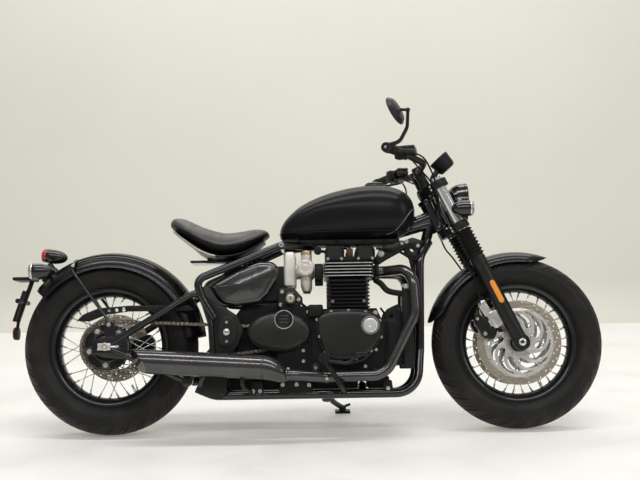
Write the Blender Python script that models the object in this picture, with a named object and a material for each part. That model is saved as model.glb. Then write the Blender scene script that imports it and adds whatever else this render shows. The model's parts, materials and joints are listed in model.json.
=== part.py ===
"""Bobber motorcycle with a parallel-twin engine, standing on its side stand.

Lengths are metres. The bike frame has +X forward, +Y to the rider's left and +Z up, with X = 0 at the
rear axle and Z = 0 on the ground line. Everything hangs from one empty that leans the bike over to its
stand, and the moving groups hang from empties on their own axes.
"""

import math

import bmesh
import bpy
from mathutils import Matrix, Vector

# Whole machine
LEAN = math.radians(11.0)
WHEELBASE = 1.510
RAKE = math.radians(25.8)
TRAIL = 0.092
MIDDLE_X = 0.7288  # middle of the leaning bike's box, from the rear axle
MIDDLE_Y = 0.2117
SEAT_GAP = 0.0003  # between pieces that sit on each other
SPIN_GAP = 0.0005  # between a shaft and the bore that turns on it
ROUND = 16  # sides of a turned piece

# Wheels: tyre size, then rim and brake sizes
FRONT_TYRE_RADIUS = 0.317
FRONT_TYRE_HALF_WIDTH = 0.065
FRONT_CROWN_RADIUS = 0.074
REAR_TYRE_RADIUS = 0.323
REAR_TYRE_HALF_WIDTH = 0.075
REAR_CROWN_RADIUS = 0.090
TYRE_SIDES = 32
TYRE_WALL = 0.011
RIM_SEAT_RADIUS = 0.203
RIM_FLANGE_RADIUS = 0.215
RIM_WELL_RADIUS = 0.190
FRONT_RIM_HALF_WIDTH = 0.040
REAR_RIM_HALF_WIDTH = 0.052
SPOKES = 32
SPOKE_RADIUS = 0.0018
AXLE_RADIUS = 0.010
FRONT_DISC_RADIUS = 0.155
FRONT_DISC_INNER = 0.052
FRONT_DISC_Y = 0.0615
FRONT_DISC_THICKNESS = 0.005
REAR_DISC_RADIUS = 0.1275
REAR_DISC_INNER = 0.045
REAR_DISC_Y = 0.0885
REAR_DISC_THICKNESS = 0.005

# Mudguards, with the stay that loops over the rear one and the lamps that stand on it
REAR_FENDER_RADIUS = 0.354
REAR_FENDER_HALF_WIDTH = 0.092
REAR_FENDER_DEPTH = 0.062
REAR_FENDER_ARC = (-52, 84)  # degrees forward from straight up
FRONT_FENDER_RADIUS = 0.340
FRONT_FENDER_HALF_WIDTH = 0.0735
FRONT_FENDER_DEPTH = 0.042
FRONT_FENDER_ARC = (-76, 21)
FENDER_SHEET = 0.003
FENDER_LUG_RADIUS = 0.0125
STAY_ANGLE = -21.36
STAY_SINK = 0.0025  # of the stay's middle line in the mudguard's top
STAY_RADIUS = 0.006
STAY_HALF_WIDTH = 0.102
STAY_DROP = 0.048
STAY_FOOT = (0.014, 0.412)
LAMP_BAR_ANGLE = -40.8
LAMP_BAR_LIFT = 0.011
LAMP_BAR_HALF = 0.115
LAMP_BAR_RADIUS = 0.008
PLATE_STEM = ((0, 0, 0.001), (0.0615, 0, 0.016), (0.0715, 0, 0.046), (0.1135, 0, 0.161))
TAIL_LAMP_RADIUS = 0.027
TAIL_LAMP_LENGTH = 0.098
REAR_SIGNAL_Y = 0.120
SIGNAL_RADIUS = 0.029
SIGNAL_LENGTH = 0.088

# Chain drive
CHAIN_Y = -0.100
CHAIN_WIDTH = 0.016
CHAIN_PITCH = 0.015875
CHAIN_HEIGHT = 0.015
REAR_TEETH = 37
FRONT_TEETH = 17
FRONT_SPROCKET_X = 0.566
FRONT_SPROCKET_Z = 0.347

# Fork and steering
FORK_HALF_SPACING = 0.103
STEM_RADIUS = 0.0190
HEAD_TUBE_RADIUS = 0.0300
FORK_TUBE_RADIUS = 0.0205
FORK_SLIDER_RADIUS = 0.0275
FORK_GAITER_RADIUS = 0.0345
GAITER_LENGTH = 0.110
GAITER_FOLDS = 4
LOWER_YOKE_S = 0.480  # heights along the fork above the front axle
UPPER_YOKE_S = 0.652
YOKE_THICKNESS = 0.030
BRIDGE_HALF = 0.014
BRIDGE_FRONT = 0.018  # how far the clamps' bridge reaches before the legs, and behind the stem

# Frame and swingarm
RAIL_RADIUS = 0.016
RAIL_Y = 0.110
RAIL_Z = 0.142
PIVOT_X = 0.440
PIVOT_Z = 0.370
PLATE_Y = 0.142  # inner face of the pivot plates
PLATE_THICKNESS = 0.008
ARM_Y = 0.122
ARM_RADIUS = 0.013
PIVOT_BOLT_RADIUS = 0.0125
PIVOT_TUBE_RADIUS = 0.017
ARM_CROSS_RADIUS = 0.012
ARM_TOP_ANGLE = 59.17  # over the rear wheel, forward from straight up
ARM_TOP_CLEARANCE = 0.035  # between the rear mudguard and the swingarm's top cross tube
ARM_FOOT = (0.295, 0.196)
SHOCK_TOP = Vector((0.640, 0, 0.688))
SEAT_CROSS_HALF = 0.090
SEAT_CROSS_RADIUS = 0.012
SEAT_RAIL_RADIUS = 0.0145
REAR_CROSS_ENDS = (0.385, 0.505)
REAR_CROSS_ANGLE = 64.9
REAR_CROSS_CLEARANCE = 0.0711
BACKBONE_RADIUS = 0.024
NECK_RADIUS = 0.020
DOWNTUBE_BEHIND = 0.108  # how far the cradle's front tubes stand behind the steering head's foot
BED_BEHIND = 0.213  # the front cross tube under the engine, behind the cradle's front tubes
REAR_BED_X = 0.690

# Engine
CASE_HALF_WIDTH = 0.120
CASE_TOP_Z = 0.450
CASE_BOTTOM_Z = 0.186
BARREL_TOP_Z = 0.565
HEAD_TOP_Z = 0.618
BARREL_X = (0.804, 0.962)
BARREL_HALF_WIDTH = 0.132
CLUTCH_DEPTH = 0.052  # of each side cover, out from the case
PLUG_DEPTH = 0.060
ALTERNATOR_DEPTH = 0.048
SPROCKET_COVER_DEPTH = 0.030
FILLER_DEPTH = 0.038
CYLINDER_SPACING = 0.120
PORT_Z = 0.589
PORT_RADIUS = 0.024
HEADER_RADIUS = 0.019
SILENCER_RADIUS = 0.0435
SILENCER_WALL = 0.003
SILENCER_FRONT_X = 0.577
SILENCER_Z = 0.2415
SILENCER_END = (0.1285, 0.2700)
SILENCER_CUT = math.radians(-28)
COLLECTOR_Z = 0.2125
SILENCER_Y = 0.200
PEG_HANGER_Y = 0.205
INTAKE_Z = 0.596
INTAKE_BACK_X = 0.6600
INTAKE_Y = 0.070
PANEL_BASE_Y = 0.088
PANEL_FACE_Y = 0.136
PEG_X = 0.790
PEG_Z = 0.270
PEG_ARM_Y = 0.222

# Side stand, out to its foot on the ground and folded back along the frame
STAND_PIVOT = Vector((0.800, 0.158, 0.138))
STAND_FOOT_X = 0.862
STAND_FOOT_Y = 0.313
STAND_FOOT_THICKNESS = 0.010
STAND_FOLDED_WAY = Vector((-0.985, 0.060, 0.020)).normalized()
STAND_HEAD_HALF = 0.012
STAND_HEAD_RADIUS = 0.018
STAND_PIN_RADIUS = 0.007

# Bars, lamps and clock, by their places on the fork: forward of its legs and up from the upper yoke
BAR_RADIUS = 0.0125
BAR_BACK = 0.040
BAR_RISE = 0.078
GRIP_START_PLACE = (-0.0936, 0.262, 0.1470)
GRIP_END_PLACE = (-0.1462, 0.376, 0.1669)
GRIP_LENGTH = 0.1185
GRIP_RADIUS = 0.0175
MIRROR_RADIUS = 0.053
CLOCK_RADIUS = 0.041
CLOCK_PLACE = (0.0605, 0, 0.0981)
HEADLAMP_RADIUS = 0.074
HEADLAMP_DEPTH = 0.088
HEADLAMP_PLACE = (0.0081, 0, -0.0654)
FRONT_SIGNAL_PLACE = (-0.0093, 0.160, -0.1059)


# Shared places worked out from the sizes above
def rest_height(radius, crown):
    """Height of a wheel's centre above the ground line, for a round tyre that leans on its shoulder."""
    return radius - crown + crown / math.cos(LEAN)


FRONT_AXLE = Vector((WHEELBASE, 0, rest_height(FRONT_TYRE_RADIUS, FRONT_CROWN_RADIUS)))
REAR_AXLE = Vector((0, 0, rest_height(REAR_TYRE_RADIUS, REAR_CROWN_RADIUS)))
STEER_AXIS = Vector((-math.sin(RAKE), 0, math.cos(RAKE)))
STEER_FORWARD = Vector((math.cos(RAKE), 0, math.sin(RAKE)))
STEER_GROUND = Vector((WHEELBASE + TRAIL, 0, 0))
FORK_OFFSET = (FRONT_AXLE - STEER_GROUND).dot(STEER_FORWARD)
PIVOT = Vector((PIVOT_X, 0, PIVOT_Z))
TURN_TO_BIKE_Y = Matrix.Rotation(math.radians(-90), 4, "X")


def on_fork(forward, side, up):
    """A place given from the front axle: forward of the fork legs, to the left, and up along them."""
    return FRONT_AXLE + STEER_FORWARD * forward + Vector((0, side, 0)) + STEER_AXIS * up


def on_bars(forward, side, up):
    """A place given from the upper yoke, in the fork's own directions."""
    return on_fork(forward, side, UPPER_YOKE_S + up)


def over_rear(degrees, radius, y=0.0):
    """A place over the rear wheel, by its angle forward from straight up."""
    angle = math.radians(degrees)
    return REAR_AXLE + Vector((radius * math.sin(angle), y, radius * math.cos(angle)))


FORK_FRAME = Matrix.Translation(FRONT_AXLE) @ Matrix.Rotation(-RAKE, 4, "Y")
ALONG_FORK = Matrix.Rotation(-RAKE, 4, "Y")
ALONG_X = Matrix.Rotation(math.radians(90), 4, "Y")
BACKWARD = Matrix.Rotation(math.radians(-90), 4, "Y")
STEM_FOOT = on_fork(-FORK_OFFSET, 0, LOWER_YOKE_S)
DOWNTUBE_X = STEM_FOOT.x - DOWNTUBE_BEHIND
ARM_TOP = over_rear(ARM_TOP_ANGLE, REAR_FENDER_RADIUS + ARM_TOP_CLEARANCE)
ARM_CROSS = (ARM_TOP - Vector((0, ARM_Y, 0)), ARM_TOP + Vector((0, ARM_Y, 0)))
SEAT_CROSS = (SHOCK_TOP - Vector((0, SEAT_CROSS_HALF, 0)), SHOCK_TOP + Vector((0, SEAT_CROSS_HALF, 0)))


def to_bike(x, y, z):
    """A place on the level ground, in the leaning bike's own frame."""
    return Matrix.Rotation(LEAN, 3, "X") @ Vector((x, y, z))


STAND_FOOT = to_bike(STAND_FOOT_X, STAND_FOOT_Y, 0)
GROUND_UP = to_bike(0, 0, 1)
STAND_ANKLE = STAND_FOOT + GROUND_UP * (STAND_FOOT_THICKNESS + 0.010)
STAND_WAY = (STAND_ANKLE - STAND_PIVOT).normalized()
STAND_AXIS = STAND_WAY.cross(STAND_FOLDED_WAY).normalized()
BAR_CLAMP = on_bars(-BAR_BACK, 0, BAR_RISE)
GRIP_START = on_bars(*GRIP_START_PLACE)
GRIP_END = on_bars(*GRIP_END_PLACE)
GRIP_WAY = (GRIP_END - GRIP_START).normalized()


# Materials
def finish(name, colour, roughness, metallic=0.0):
    made = bpy.data.materials.new(name)
    made.use_nodes = True
    shader = made.node_tree.nodes["Principled BSDF"]
    shader.inputs["Base Color"].default_value = (*colour, 1)
    shader.inputs["Roughness"].default_value = roughness
    shader.inputs["Metallic"].default_value = metallic
    return made


# Mesh tools
def clean(shape):
    bmesh.ops.remove_doubles(shape, verts=shape.verts, dist=1e-6)
    bmesh.ops.recalc_face_normals(shape, faces=shape.faces)
    return shape


def lathe(profile, sides=ROUND, turn=TURN_TO_BIKE_Y, centre=(0, 0, 0), closed=False):
    """Turns (radius, along) points about an axis. An open profile starts and ends on the axis."""
    shape = bmesh.new()
    points = [shape.verts.new((radius, 0, along)) for radius, along in profile]
    edges = [shape.edges.new(pair) for pair in zip(points, points[1:])]
    if closed:
        edges.append(shape.edges.new((points[-1], points[0])))
    bmesh.ops.spin(
        shape, geom=points + edges, cent=(0, 0, 0), axis=(0, 0, 1), angle=2 * math.pi,
        steps=sides, use_merge=True,
    )
    shape.transform(Matrix.Translation(centre) @ turn)
    return clean(shape)


def drum(radius, low, high, sides=ROUND, turn=TURN_TO_BIKE_Y, centre=(0, 0, 0)):
    return lathe([(0, low), (radius, low), (radius, high), (0, high)], sides, turn, centre)


def ring(inner, outer, low, high, sides=ROUND, turn=TURN_TO_BIKE_Y, centre=(0, 0, 0)):
    profile = [(inner, low), (outer, low), (outer, high), (inner, high)]
    return lathe(profile, sides, turn, centre, closed=True)


def rounded(corners, radius, steps=2):
    """A path through the corners, each one rounded to the radius by an arc."""
    corners = [Vector(c) for c in corners]
    path = [corners[0]]
    for before, corner, after in zip(corners, corners[1:], corners[2:]):
        to_before = (before - corner).normalized()
        to_after = (after - corner).normalized()
        half = to_before.angle(to_after) / 2
        reach = radius / math.tan(half)
        reach = min(reach, 0.49 * (before - corner).length, 0.49 * (after - corner).length)
        bend = reach * math.tan(half)
        middle = corner + (to_before + to_after).normalized() * (bend / math.sin(half))
        start = corner + to_before * reach - middle
        end = corner + to_after * reach - middle
        for step in range(steps + 1):
            path.append(middle + start.slerp(end, step / steps, start) * start.length)
    path.append(corners[-1])
    return path


def tube(path, radius, detail=1):
    """A round bar along the path, with flat ends. Detail 1 gives 6 sides and 3 gives 10."""
    line = bpy.data.curves.new("bar", "CURVE")
    line.dimensions = "3D"
    line.bevel_depth = radius
    line.bevel_resolution = detail
    line.use_fill_caps = True
    spline = line.splines.new("POLY")
    spline.points.add(len(path) - 1)
    for point, place in zip(spline.points, path):
        point.co = (*place, 1)
    holder = bpy.data.objects.new("bar", line)
    bpy.context.collection.objects.link(holder)
    graph = bpy.context.evaluated_depsgraph_get()
    mesh = bpy.data.meshes.new_from_object(holder.evaluated_get(graph))
    bpy.data.objects.remove(holder)
    shape = bmesh.new()
    shape.from_mesh(mesh)
    return clean(shape)


def loft(sections):
    """A closed solid through rings of equal numbers of points, with flat ends."""
    shape = bmesh.new()
    rings = []
    for section in sections:
        points = [shape.verts.new(place) for place in section]
        rings.append([shape.edges.new(pair) for pair in zip(points, points[1:] + points[:1])])
        ends = points if len(rings) == 1 else ends
    shape.faces.new(ends)
    shape.faces.new(points)
    for first, second in zip(rings, rings[1:]):
        bmesh.ops.bridge_loops(shape, edges=first + second)
    return clean(shape)


def prism(outline, low, high, bevel=0.0):
    """An outline of (x, z) points made solid from y = low to y = high, with its outer rim bevelled."""
    shape = bmesh.new()
    face = shape.faces.new([shape.verts.new((x, low, z)) for x, z in outline])
    grown = bmesh.ops.extrude_face_region(shape, geom=[face])
    points = [v for v in grown["geom"] if isinstance(v, bmesh.types.BMVert)]
    bmesh.ops.translate(shape, verts=points, vec=(0, high - low, 0))
    clean(shape)
    if bevel:
        outer = high if abs(high) > abs(low) else low
        rim = [e for e in shape.edges if all(abs(v.co.y - outer) < 1e-6 for v in e.verts)]
        bmesh.ops.bevel(
            shape, geom=rim, offset=bevel, affect="EDGES", segments=2, profile=0.5, material=-1
        )
    return clean(shape)


def block(low, high, bevel=0.0):
    """A box between two corners, with all its edges bevelled."""
    shape = bmesh.new()
    bmesh.ops.create_cube(shape, size=1)
    low, high = Vector(low), Vector(high)
    size = Matrix.Diagonal((*(high - low), 1))
    shape.transform(Matrix.Translation((low + high) / 2) @ size)
    if bevel:
        bmesh.ops.bevel(
            shape, geom=shape.edges, offset=bevel, affect="EDGES", segments=1, profile=0.5,
            material=-1,
        )
    return clean(shape)


def mirrored(shape):
    """The same shape on the other side of the bike."""
    copy = shape.copy()
    copy.transform(Matrix.Diagonal((1, -1, 1, 1)))
    return clean(copy)


def moved(shape, matrix):
    shape.transform(matrix)
    return shape


def loose_object(shape):
    mesh = bpy.data.meshes.new("shape")
    shape.to_mesh(mesh)
    made = bpy.data.objects.new("shape", mesh)
    bpy.context.collection.objects.link(made)
    return made


def combined(first, others, operation):
    """First, joined with the others or cut by them."""
    body = loose_object(first)
    tools = bpy.data.collections.new("tools")
    for other in others:
        tools.objects.link(loose_object(other))
    change = body.modifiers.new("combine", "BOOLEAN")
    change.operation = operation
    change.solver = "EXACT"
    change.operand_type = "COLLECTION"
    change.collection = tools
    graph = bpy.context.evaluated_depsgraph_get()
    mesh = bpy.data.meshes.new_from_object(body.evaluated_get(graph))
    for used in [body, *tools.objects]:
        bpy.data.objects.remove(used)
    bpy.data.collections.remove(tools)
    shape = bmesh.new()
    shape.from_mesh(mesh)
    bmesh.ops.dissolve_degenerate(shape, edges=shape.edges, dist=1e-6)
    return shape


def union(first, *others):
    return combined(first, others, "UNION")


def cut(first, *others):
    return combined(first, others, "DIFFERENCE")


# Holders: the empties that the pieces hang from
def holder(name, parent=None, place=(0, 0, 0)):
    made = bpy.data.objects.new(name, None)
    made.empty_display_size = 0.1
    bpy.context.collection.objects.link(made)
    made.parent = parent
    made["place"] = [*place]
    made.location = Vector(place) - Vector(parent["place"] if parent else (0, 0, 0))
    return made


def piece(name, shape, parent, material):
    """A node of the bike, given in the bike frame and hung from its holder."""
    mesh = bpy.data.meshes.new(name)
    shape.transform(Matrix.Translation(-Vector(parent["place"])))
    shape.to_mesh(mesh)
    mesh.materials.append(material)
    mesh.shade_smooth()
    mesh.set_sharp_from_angle(angle=math.radians(35))
    made = bpy.data.objects.new(name, mesh)
    bpy.context.collection.objects.link(made)
    made.parent = parent
    return made


# Wheels
def tyre(radius, crown, half_width, rim_half_width):
    """An open tyre: a round crown, side walls and two beads, hollow towards the rim."""
    hub = radius - crown
    crown_angles = [LEAN, math.radians(30), math.asin((half_width - 0.004) / crown)]
    side = [(hub + crown * math.cos(a), crown * math.sin(a)) for a in crown_angles]
    bead_y = rim_half_width - 0.0075
    side += [
        (radius - 0.058, half_width),
        (RIM_FLANGE_RADIUS - 0.001, bead_y),
        (RIM_SEAT_RADIUS + SEAT_GAP * 2, bead_y),
    ]
    inside = [
        (RIM_SEAT_RADIUS + SEAT_GAP * 2, bead_y - TYRE_WALL),
        (radius - 0.045, half_width - TYRE_WALL),
    ]
    half = side + inside
    other = [(r, -y) for r, y in reversed(half)]
    return lathe(half + other, TYRE_SIDES, closed=True)


def spoked_wheel(rim_half_width, flange_y, flange_radius, hub_ends, barrel_radius, turn):
    """Rim, wire spokes and hub in one piece. hub_ends are the y of the hub's two end faces."""
    w = rim_half_width
    seat = w - 0.006
    rim = lathe(
        [
            (RIM_FLANGE_RADIUS, w), (RIM_FLANGE_RADIUS, w - 0.004), (RIM_SEAT_RADIUS, seat - 0.001),
            (RIM_SEAT_RADIUS, -seat + 0.001), (RIM_FLANGE_RADIUS, -w + 0.004), (RIM_FLANGE_RADIUS, -w),
            (RIM_WELL_RADIUS, -w + 0.014), (RIM_WELL_RADIUS, w - 0.014),
        ],
        TYRE_SIDES, closed=True,
    )
    low, high = hub_ends
    bore = AXLE_RADIUS + SPIN_GAP
    hub = lathe(
        [
            (bore, low), (barrel_radius * 0.95, low),
            (flange_radius, -flange_y - 0.007), (flange_radius, -flange_y + 0.007),
            (barrel_radius, -flange_y + 0.012), (barrel_radius, flange_y - 0.012),
            (flange_radius, flange_y - 0.007), (flange_radius, flange_y + 0.007),
            (barrel_radius * 0.95, high), (bore, high),
        ],
        12, closed=True,
    )
    wires = []
    for number in range(SPOKES):
        side = 1 if number % 2 else -1
        lead = 1 if (number // 2) % 2 else -1
        rim_angle = (number + 0.5) * 2 * math.pi / SPOKES + turn
        hub_angle = rim_angle + lead * math.radians(52)
        head_y = side * (flange_y + lead * 0.0042)
        hub_r = flange_radius - 0.006
        rim_r = RIM_WELL_RADIUS + 0.006
        start = Vector((hub_r * math.cos(hub_angle), head_y, hub_r * math.sin(hub_angle)))
        end = Vector((rim_r * math.cos(rim_angle), side * 0.006, rim_r * math.sin(rim_angle)))
        turned = (end - start).to_track_quat("Z", "Y").to_matrix().to_4x4()
        wires.append(drum(SPOKE_RADIUS, 0, (end - start).length, 3, turned, start))
    return union(rim, hub, *wires)


def brake_disc(radius, inner, y, thickness, windows, sides=24):
    """A flat disc with slanted windows between its hub ring and its friction band."""
    low, high = y - thickness / 2, y + thickness / 2
    disc = ring(inner, radius, low, high, sides)
    cutters = []
    for number in range(windows):
        turn = number * 2 * math.pi / windows
        points = [(0.48, -0.34), (0.74, 0.10), (0.70, 0.42), (0.44, 0.02)]
        outline = [
            (radius * r * math.cos(a + turn), radius * r * math.sin(a + turn)) for r, a in points
        ]
        cutters.append(prism(outline, low - 0.01, high + 0.01))
    return cut(disc, *cutters)


def pitch_radius(teeth):
    return CHAIN_PITCH / (2 * math.sin(math.pi / teeth))


def rear_sprocket():
    """A toothed ring whose tips run just inside the chain."""
    tip = pitch_radius(REAR_TEETH) - CHAIN_HEIGHT / 2 - SEAT_GAP * 2
    outline = []
    for tooth in range(REAR_TEETH):
        for share, radius in ((0.0, tip), (0.5, tip - 0.004)):
            angle = (tooth + share) * 2 * math.pi / REAR_TEETH
            outline.append((radius * math.cos(angle), radius * math.sin(angle)))
    plate = prism(outline, CHAIN_Y - 0.004, CHAIN_Y + 0.004)
    holes = [drum(0.052, CHAIN_Y - 0.02, CHAIN_Y + 0.02)]
    for number in range(5):
        angle = math.radians(72 * number)
        place = (0.071 * math.cos(angle), 0, 0.071 * math.sin(angle))
        holes.append(drum(0.009, CHAIN_Y - 0.02, CHAIN_Y + 0.02, 6, centre=place))
    return cut(plate, *holes)


def wheels(front_hub, rear_hub, looks):
    front = FRONT_TYRE_HALF_WIDTH, FRONT_RIM_HALF_WIDTH
    rear = REAR_TYRE_HALF_WIDTH, REAR_RIM_HALF_WIDTH
    to_front = Matrix.Translation(FRONT_AXLE)
    to_rear = Matrix.Translation(REAR_AXLE)
    shape = tyre(FRONT_TYRE_RADIUS, FRONT_CROWN_RADIUS, *front)
    piece("front_tyre", moved(shape, to_front), front_hub, looks["tyre"])
    shape = tyre(REAR_TYRE_RADIUS, REAR_CROWN_RADIUS, *rear)
    piece("rear_tyre", moved(shape, to_rear), rear_hub, looks["tyre"])
    disc_face = FRONT_DISC_Y - FRONT_DISC_THICKNESS / 2 - SEAT_GAP
    shape = spoked_wheel(FRONT_RIM_HALF_WIDTH, 0.040, 0.050, (-disc_face, disc_face), 0.036, 0.0)
    piece("front_wheel_rim", moved(shape, to_front), front_hub, looks["black_metal"])
    ends = CHAIN_Y + 0.004 + SEAT_GAP, REAR_DISC_Y - REAR_DISC_THICKNESS / 2 - SEAT_GAP
    shape = spoked_wheel(REAR_RIM_HALF_WIDTH, 0.046, 0.066, ends, 0.050, 0.05)
    carrier = ring(0.030, 0.085, CHAIN_Y + 0.004 + SEAT_GAP, CHAIN_Y + 0.016)
    shape = union(shape, carrier)
    piece("rear_wheel_rim", moved(shape, to_rear), rear_hub, looks["black_metal"])
    for side, name in ((-1, "right"), (1, "left")):
        shape = brake_disc(
            FRONT_DISC_RADIUS, FRONT_DISC_INNER - 0.024, side * FRONT_DISC_Y, FRONT_DISC_THICKNESS, 5
        )
        piece(f"front_disc_{name}", moved(shape, to_front), front_hub, looks["disc_steel"])
    shape = brake_disc(REAR_DISC_RADIUS, REAR_DISC_INNER - 0.016, REAR_DISC_Y, REAR_DISC_THICKNESS, 5)
    piece("rear_disc", moved(shape, to_rear), rear_hub, looks["disc_steel"])
    piece("rear_sprocket", moved(rear_sprocket(), to_rear), rear_hub, looks["dark_steel"])


# Chain
def chain_path():
    """Link centres round both sprockets, as (x, z, direction) at equal steps."""
    big, small = pitch_radius(REAR_TEETH), pitch_radius(FRONT_TEETH)
    rear = Vector((REAR_AXLE.x, REAR_AXLE.z))
    front = Vector((FRONT_SPROCKET_X, FRONT_SPROCKET_Z))
    line = front - rear
    tilt = math.atan2(line.y, line.x)
    wrap = math.asin((big - small) / line.length)
    run = math.sqrt(line.length**2 - (big - small) ** 2)
    top = tilt + math.pi / 2 - wrap
    bottom = tilt - math.pi / 2 + wrap
    rear_arc = big * (math.pi + 2 * wrap)
    front_arc = small * (math.pi - 2 * wrap)
    total = rear_arc + front_arc + 2 * run
    links = 2 * round(total / CHAIN_PITCH / 2)
    places = []
    for link in range(2 * links):
        s = link * total / (2 * links)
        if s < run:
            start = rear + big * Vector((math.cos(top), math.sin(top)))
            way = Vector((math.cos(top - math.pi / 2), math.sin(top - math.pi / 2)))
            places.append((start + way * s, top))
            continue
        s -= run
        if s < front_arc:
            angle = top - s / small
            places.append((front + small * Vector((math.cos(angle), math.sin(angle))), angle))
            continue
        s -= front_arc
        if s < run:
            start = front + small * Vector((math.cos(bottom), math.sin(bottom)))
            way = Vector((math.cos(bottom - math.pi / 2), math.sin(bottom - math.pi / 2)))
            places.append((start + way * s, bottom))
            continue
        s -= run
        angle = bottom - s / big
        places.append((rear + big * Vector((math.cos(angle), math.sin(angle))), angle))
    return places


def chain():
    """The chain as one loop whose edges are waisted between the rollers, as its plates are."""
    outer, inner = [], []
    for number, (place, out) in enumerate(chain_path()):
        half = CHAIN_HEIGHT / 2 * (1.0 if number % 2 else 0.62)
        way = Vector((math.cos(out), math.sin(out)))
        outer.append(place + way * half)
        inner.append(place - way * half)
    shape = bmesh.new()
    rows = []
    for y in (CHAIN_Y - CHAIN_WIDTH / 2, CHAIN_Y + CHAIN_WIDTH / 2):
        for outline in (outer, inner):
            rows.append([shape.verts.new((p.x, y, p.y)) for p in outline])
    count = len(outer)
    for first, second in ((0, 1), (1, 3), (3, 2), (2, 0)):
        for i in range(count):
            j = (i + 1) % count
            shape.faces.new((rows[first][i], rows[first][j], rows[second][j], rows[second][i]))
    return clean(shape)


# Frame
def cradle_path(side):
    return rounded(
        [
            (DOWNTUBE_X + 0.047, side * 0.030, 0.700), (DOWNTUBE_X + 0.009, side * 0.062, 0.640),
            (DOWNTUBE_X, side * 0.075, 0.300), (DOWNTUBE_X - 0.015, side * RAIL_Y, RAIL_Z),
            (0.392, side * RAIL_Y, RAIL_Z), (0.330, side * 0.128, 0.170),
        ],
        0.085,
    )


def frame_side(side):
    """The tubes and the pivot plate of one side."""
    plate_y = side * (PLATE_Y + PLATE_THICKNESS / 2)
    rail_y = plate_y + side * 0.006
    cradle = tube(cradle_path(side), RAIL_RADIUS, 2)
    seat_rail = tube(
        rounded(
            [
                (SHOCK_TOP.x + 0.120, side * 0.012, SHOCK_TOP.z + 0.0025),
                (SHOCK_TOP.x, side * (SEAT_CROSS_HALF + 0.008), SHOCK_TOP.z),
                (0.330, rail_y, 0.560), (0.352, rail_y, 0.500), (0.400, rail_y, 0.420),
            ],
            0.030,
        ),
        SEAT_RAIL_RADIUS,
    )
    plate = prism(
        [
            (0.330, 0.520), (0.372, 0.545), (0.420, 0.470), (0.478, 0.430), (0.500, 0.375),
            (0.478, 0.320), (0.440, 0.270), (0.440, 0.150), (0.405, 0.128), (0.330, 0.152),
            (0.345, 0.200), (0.385, 0.290), (0.378, 0.400),
        ],
        side * PLATE_Y, side * (PLATE_Y + PLATE_THICKNESS),
    )
    spacer = tube([(0.415, side * (RAIL_Y - 0.010), RAIL_Z), (0.415, plate_y, RAIL_Z)], 0.012)
    return [cradle, seat_rail, plate, spacer]


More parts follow.
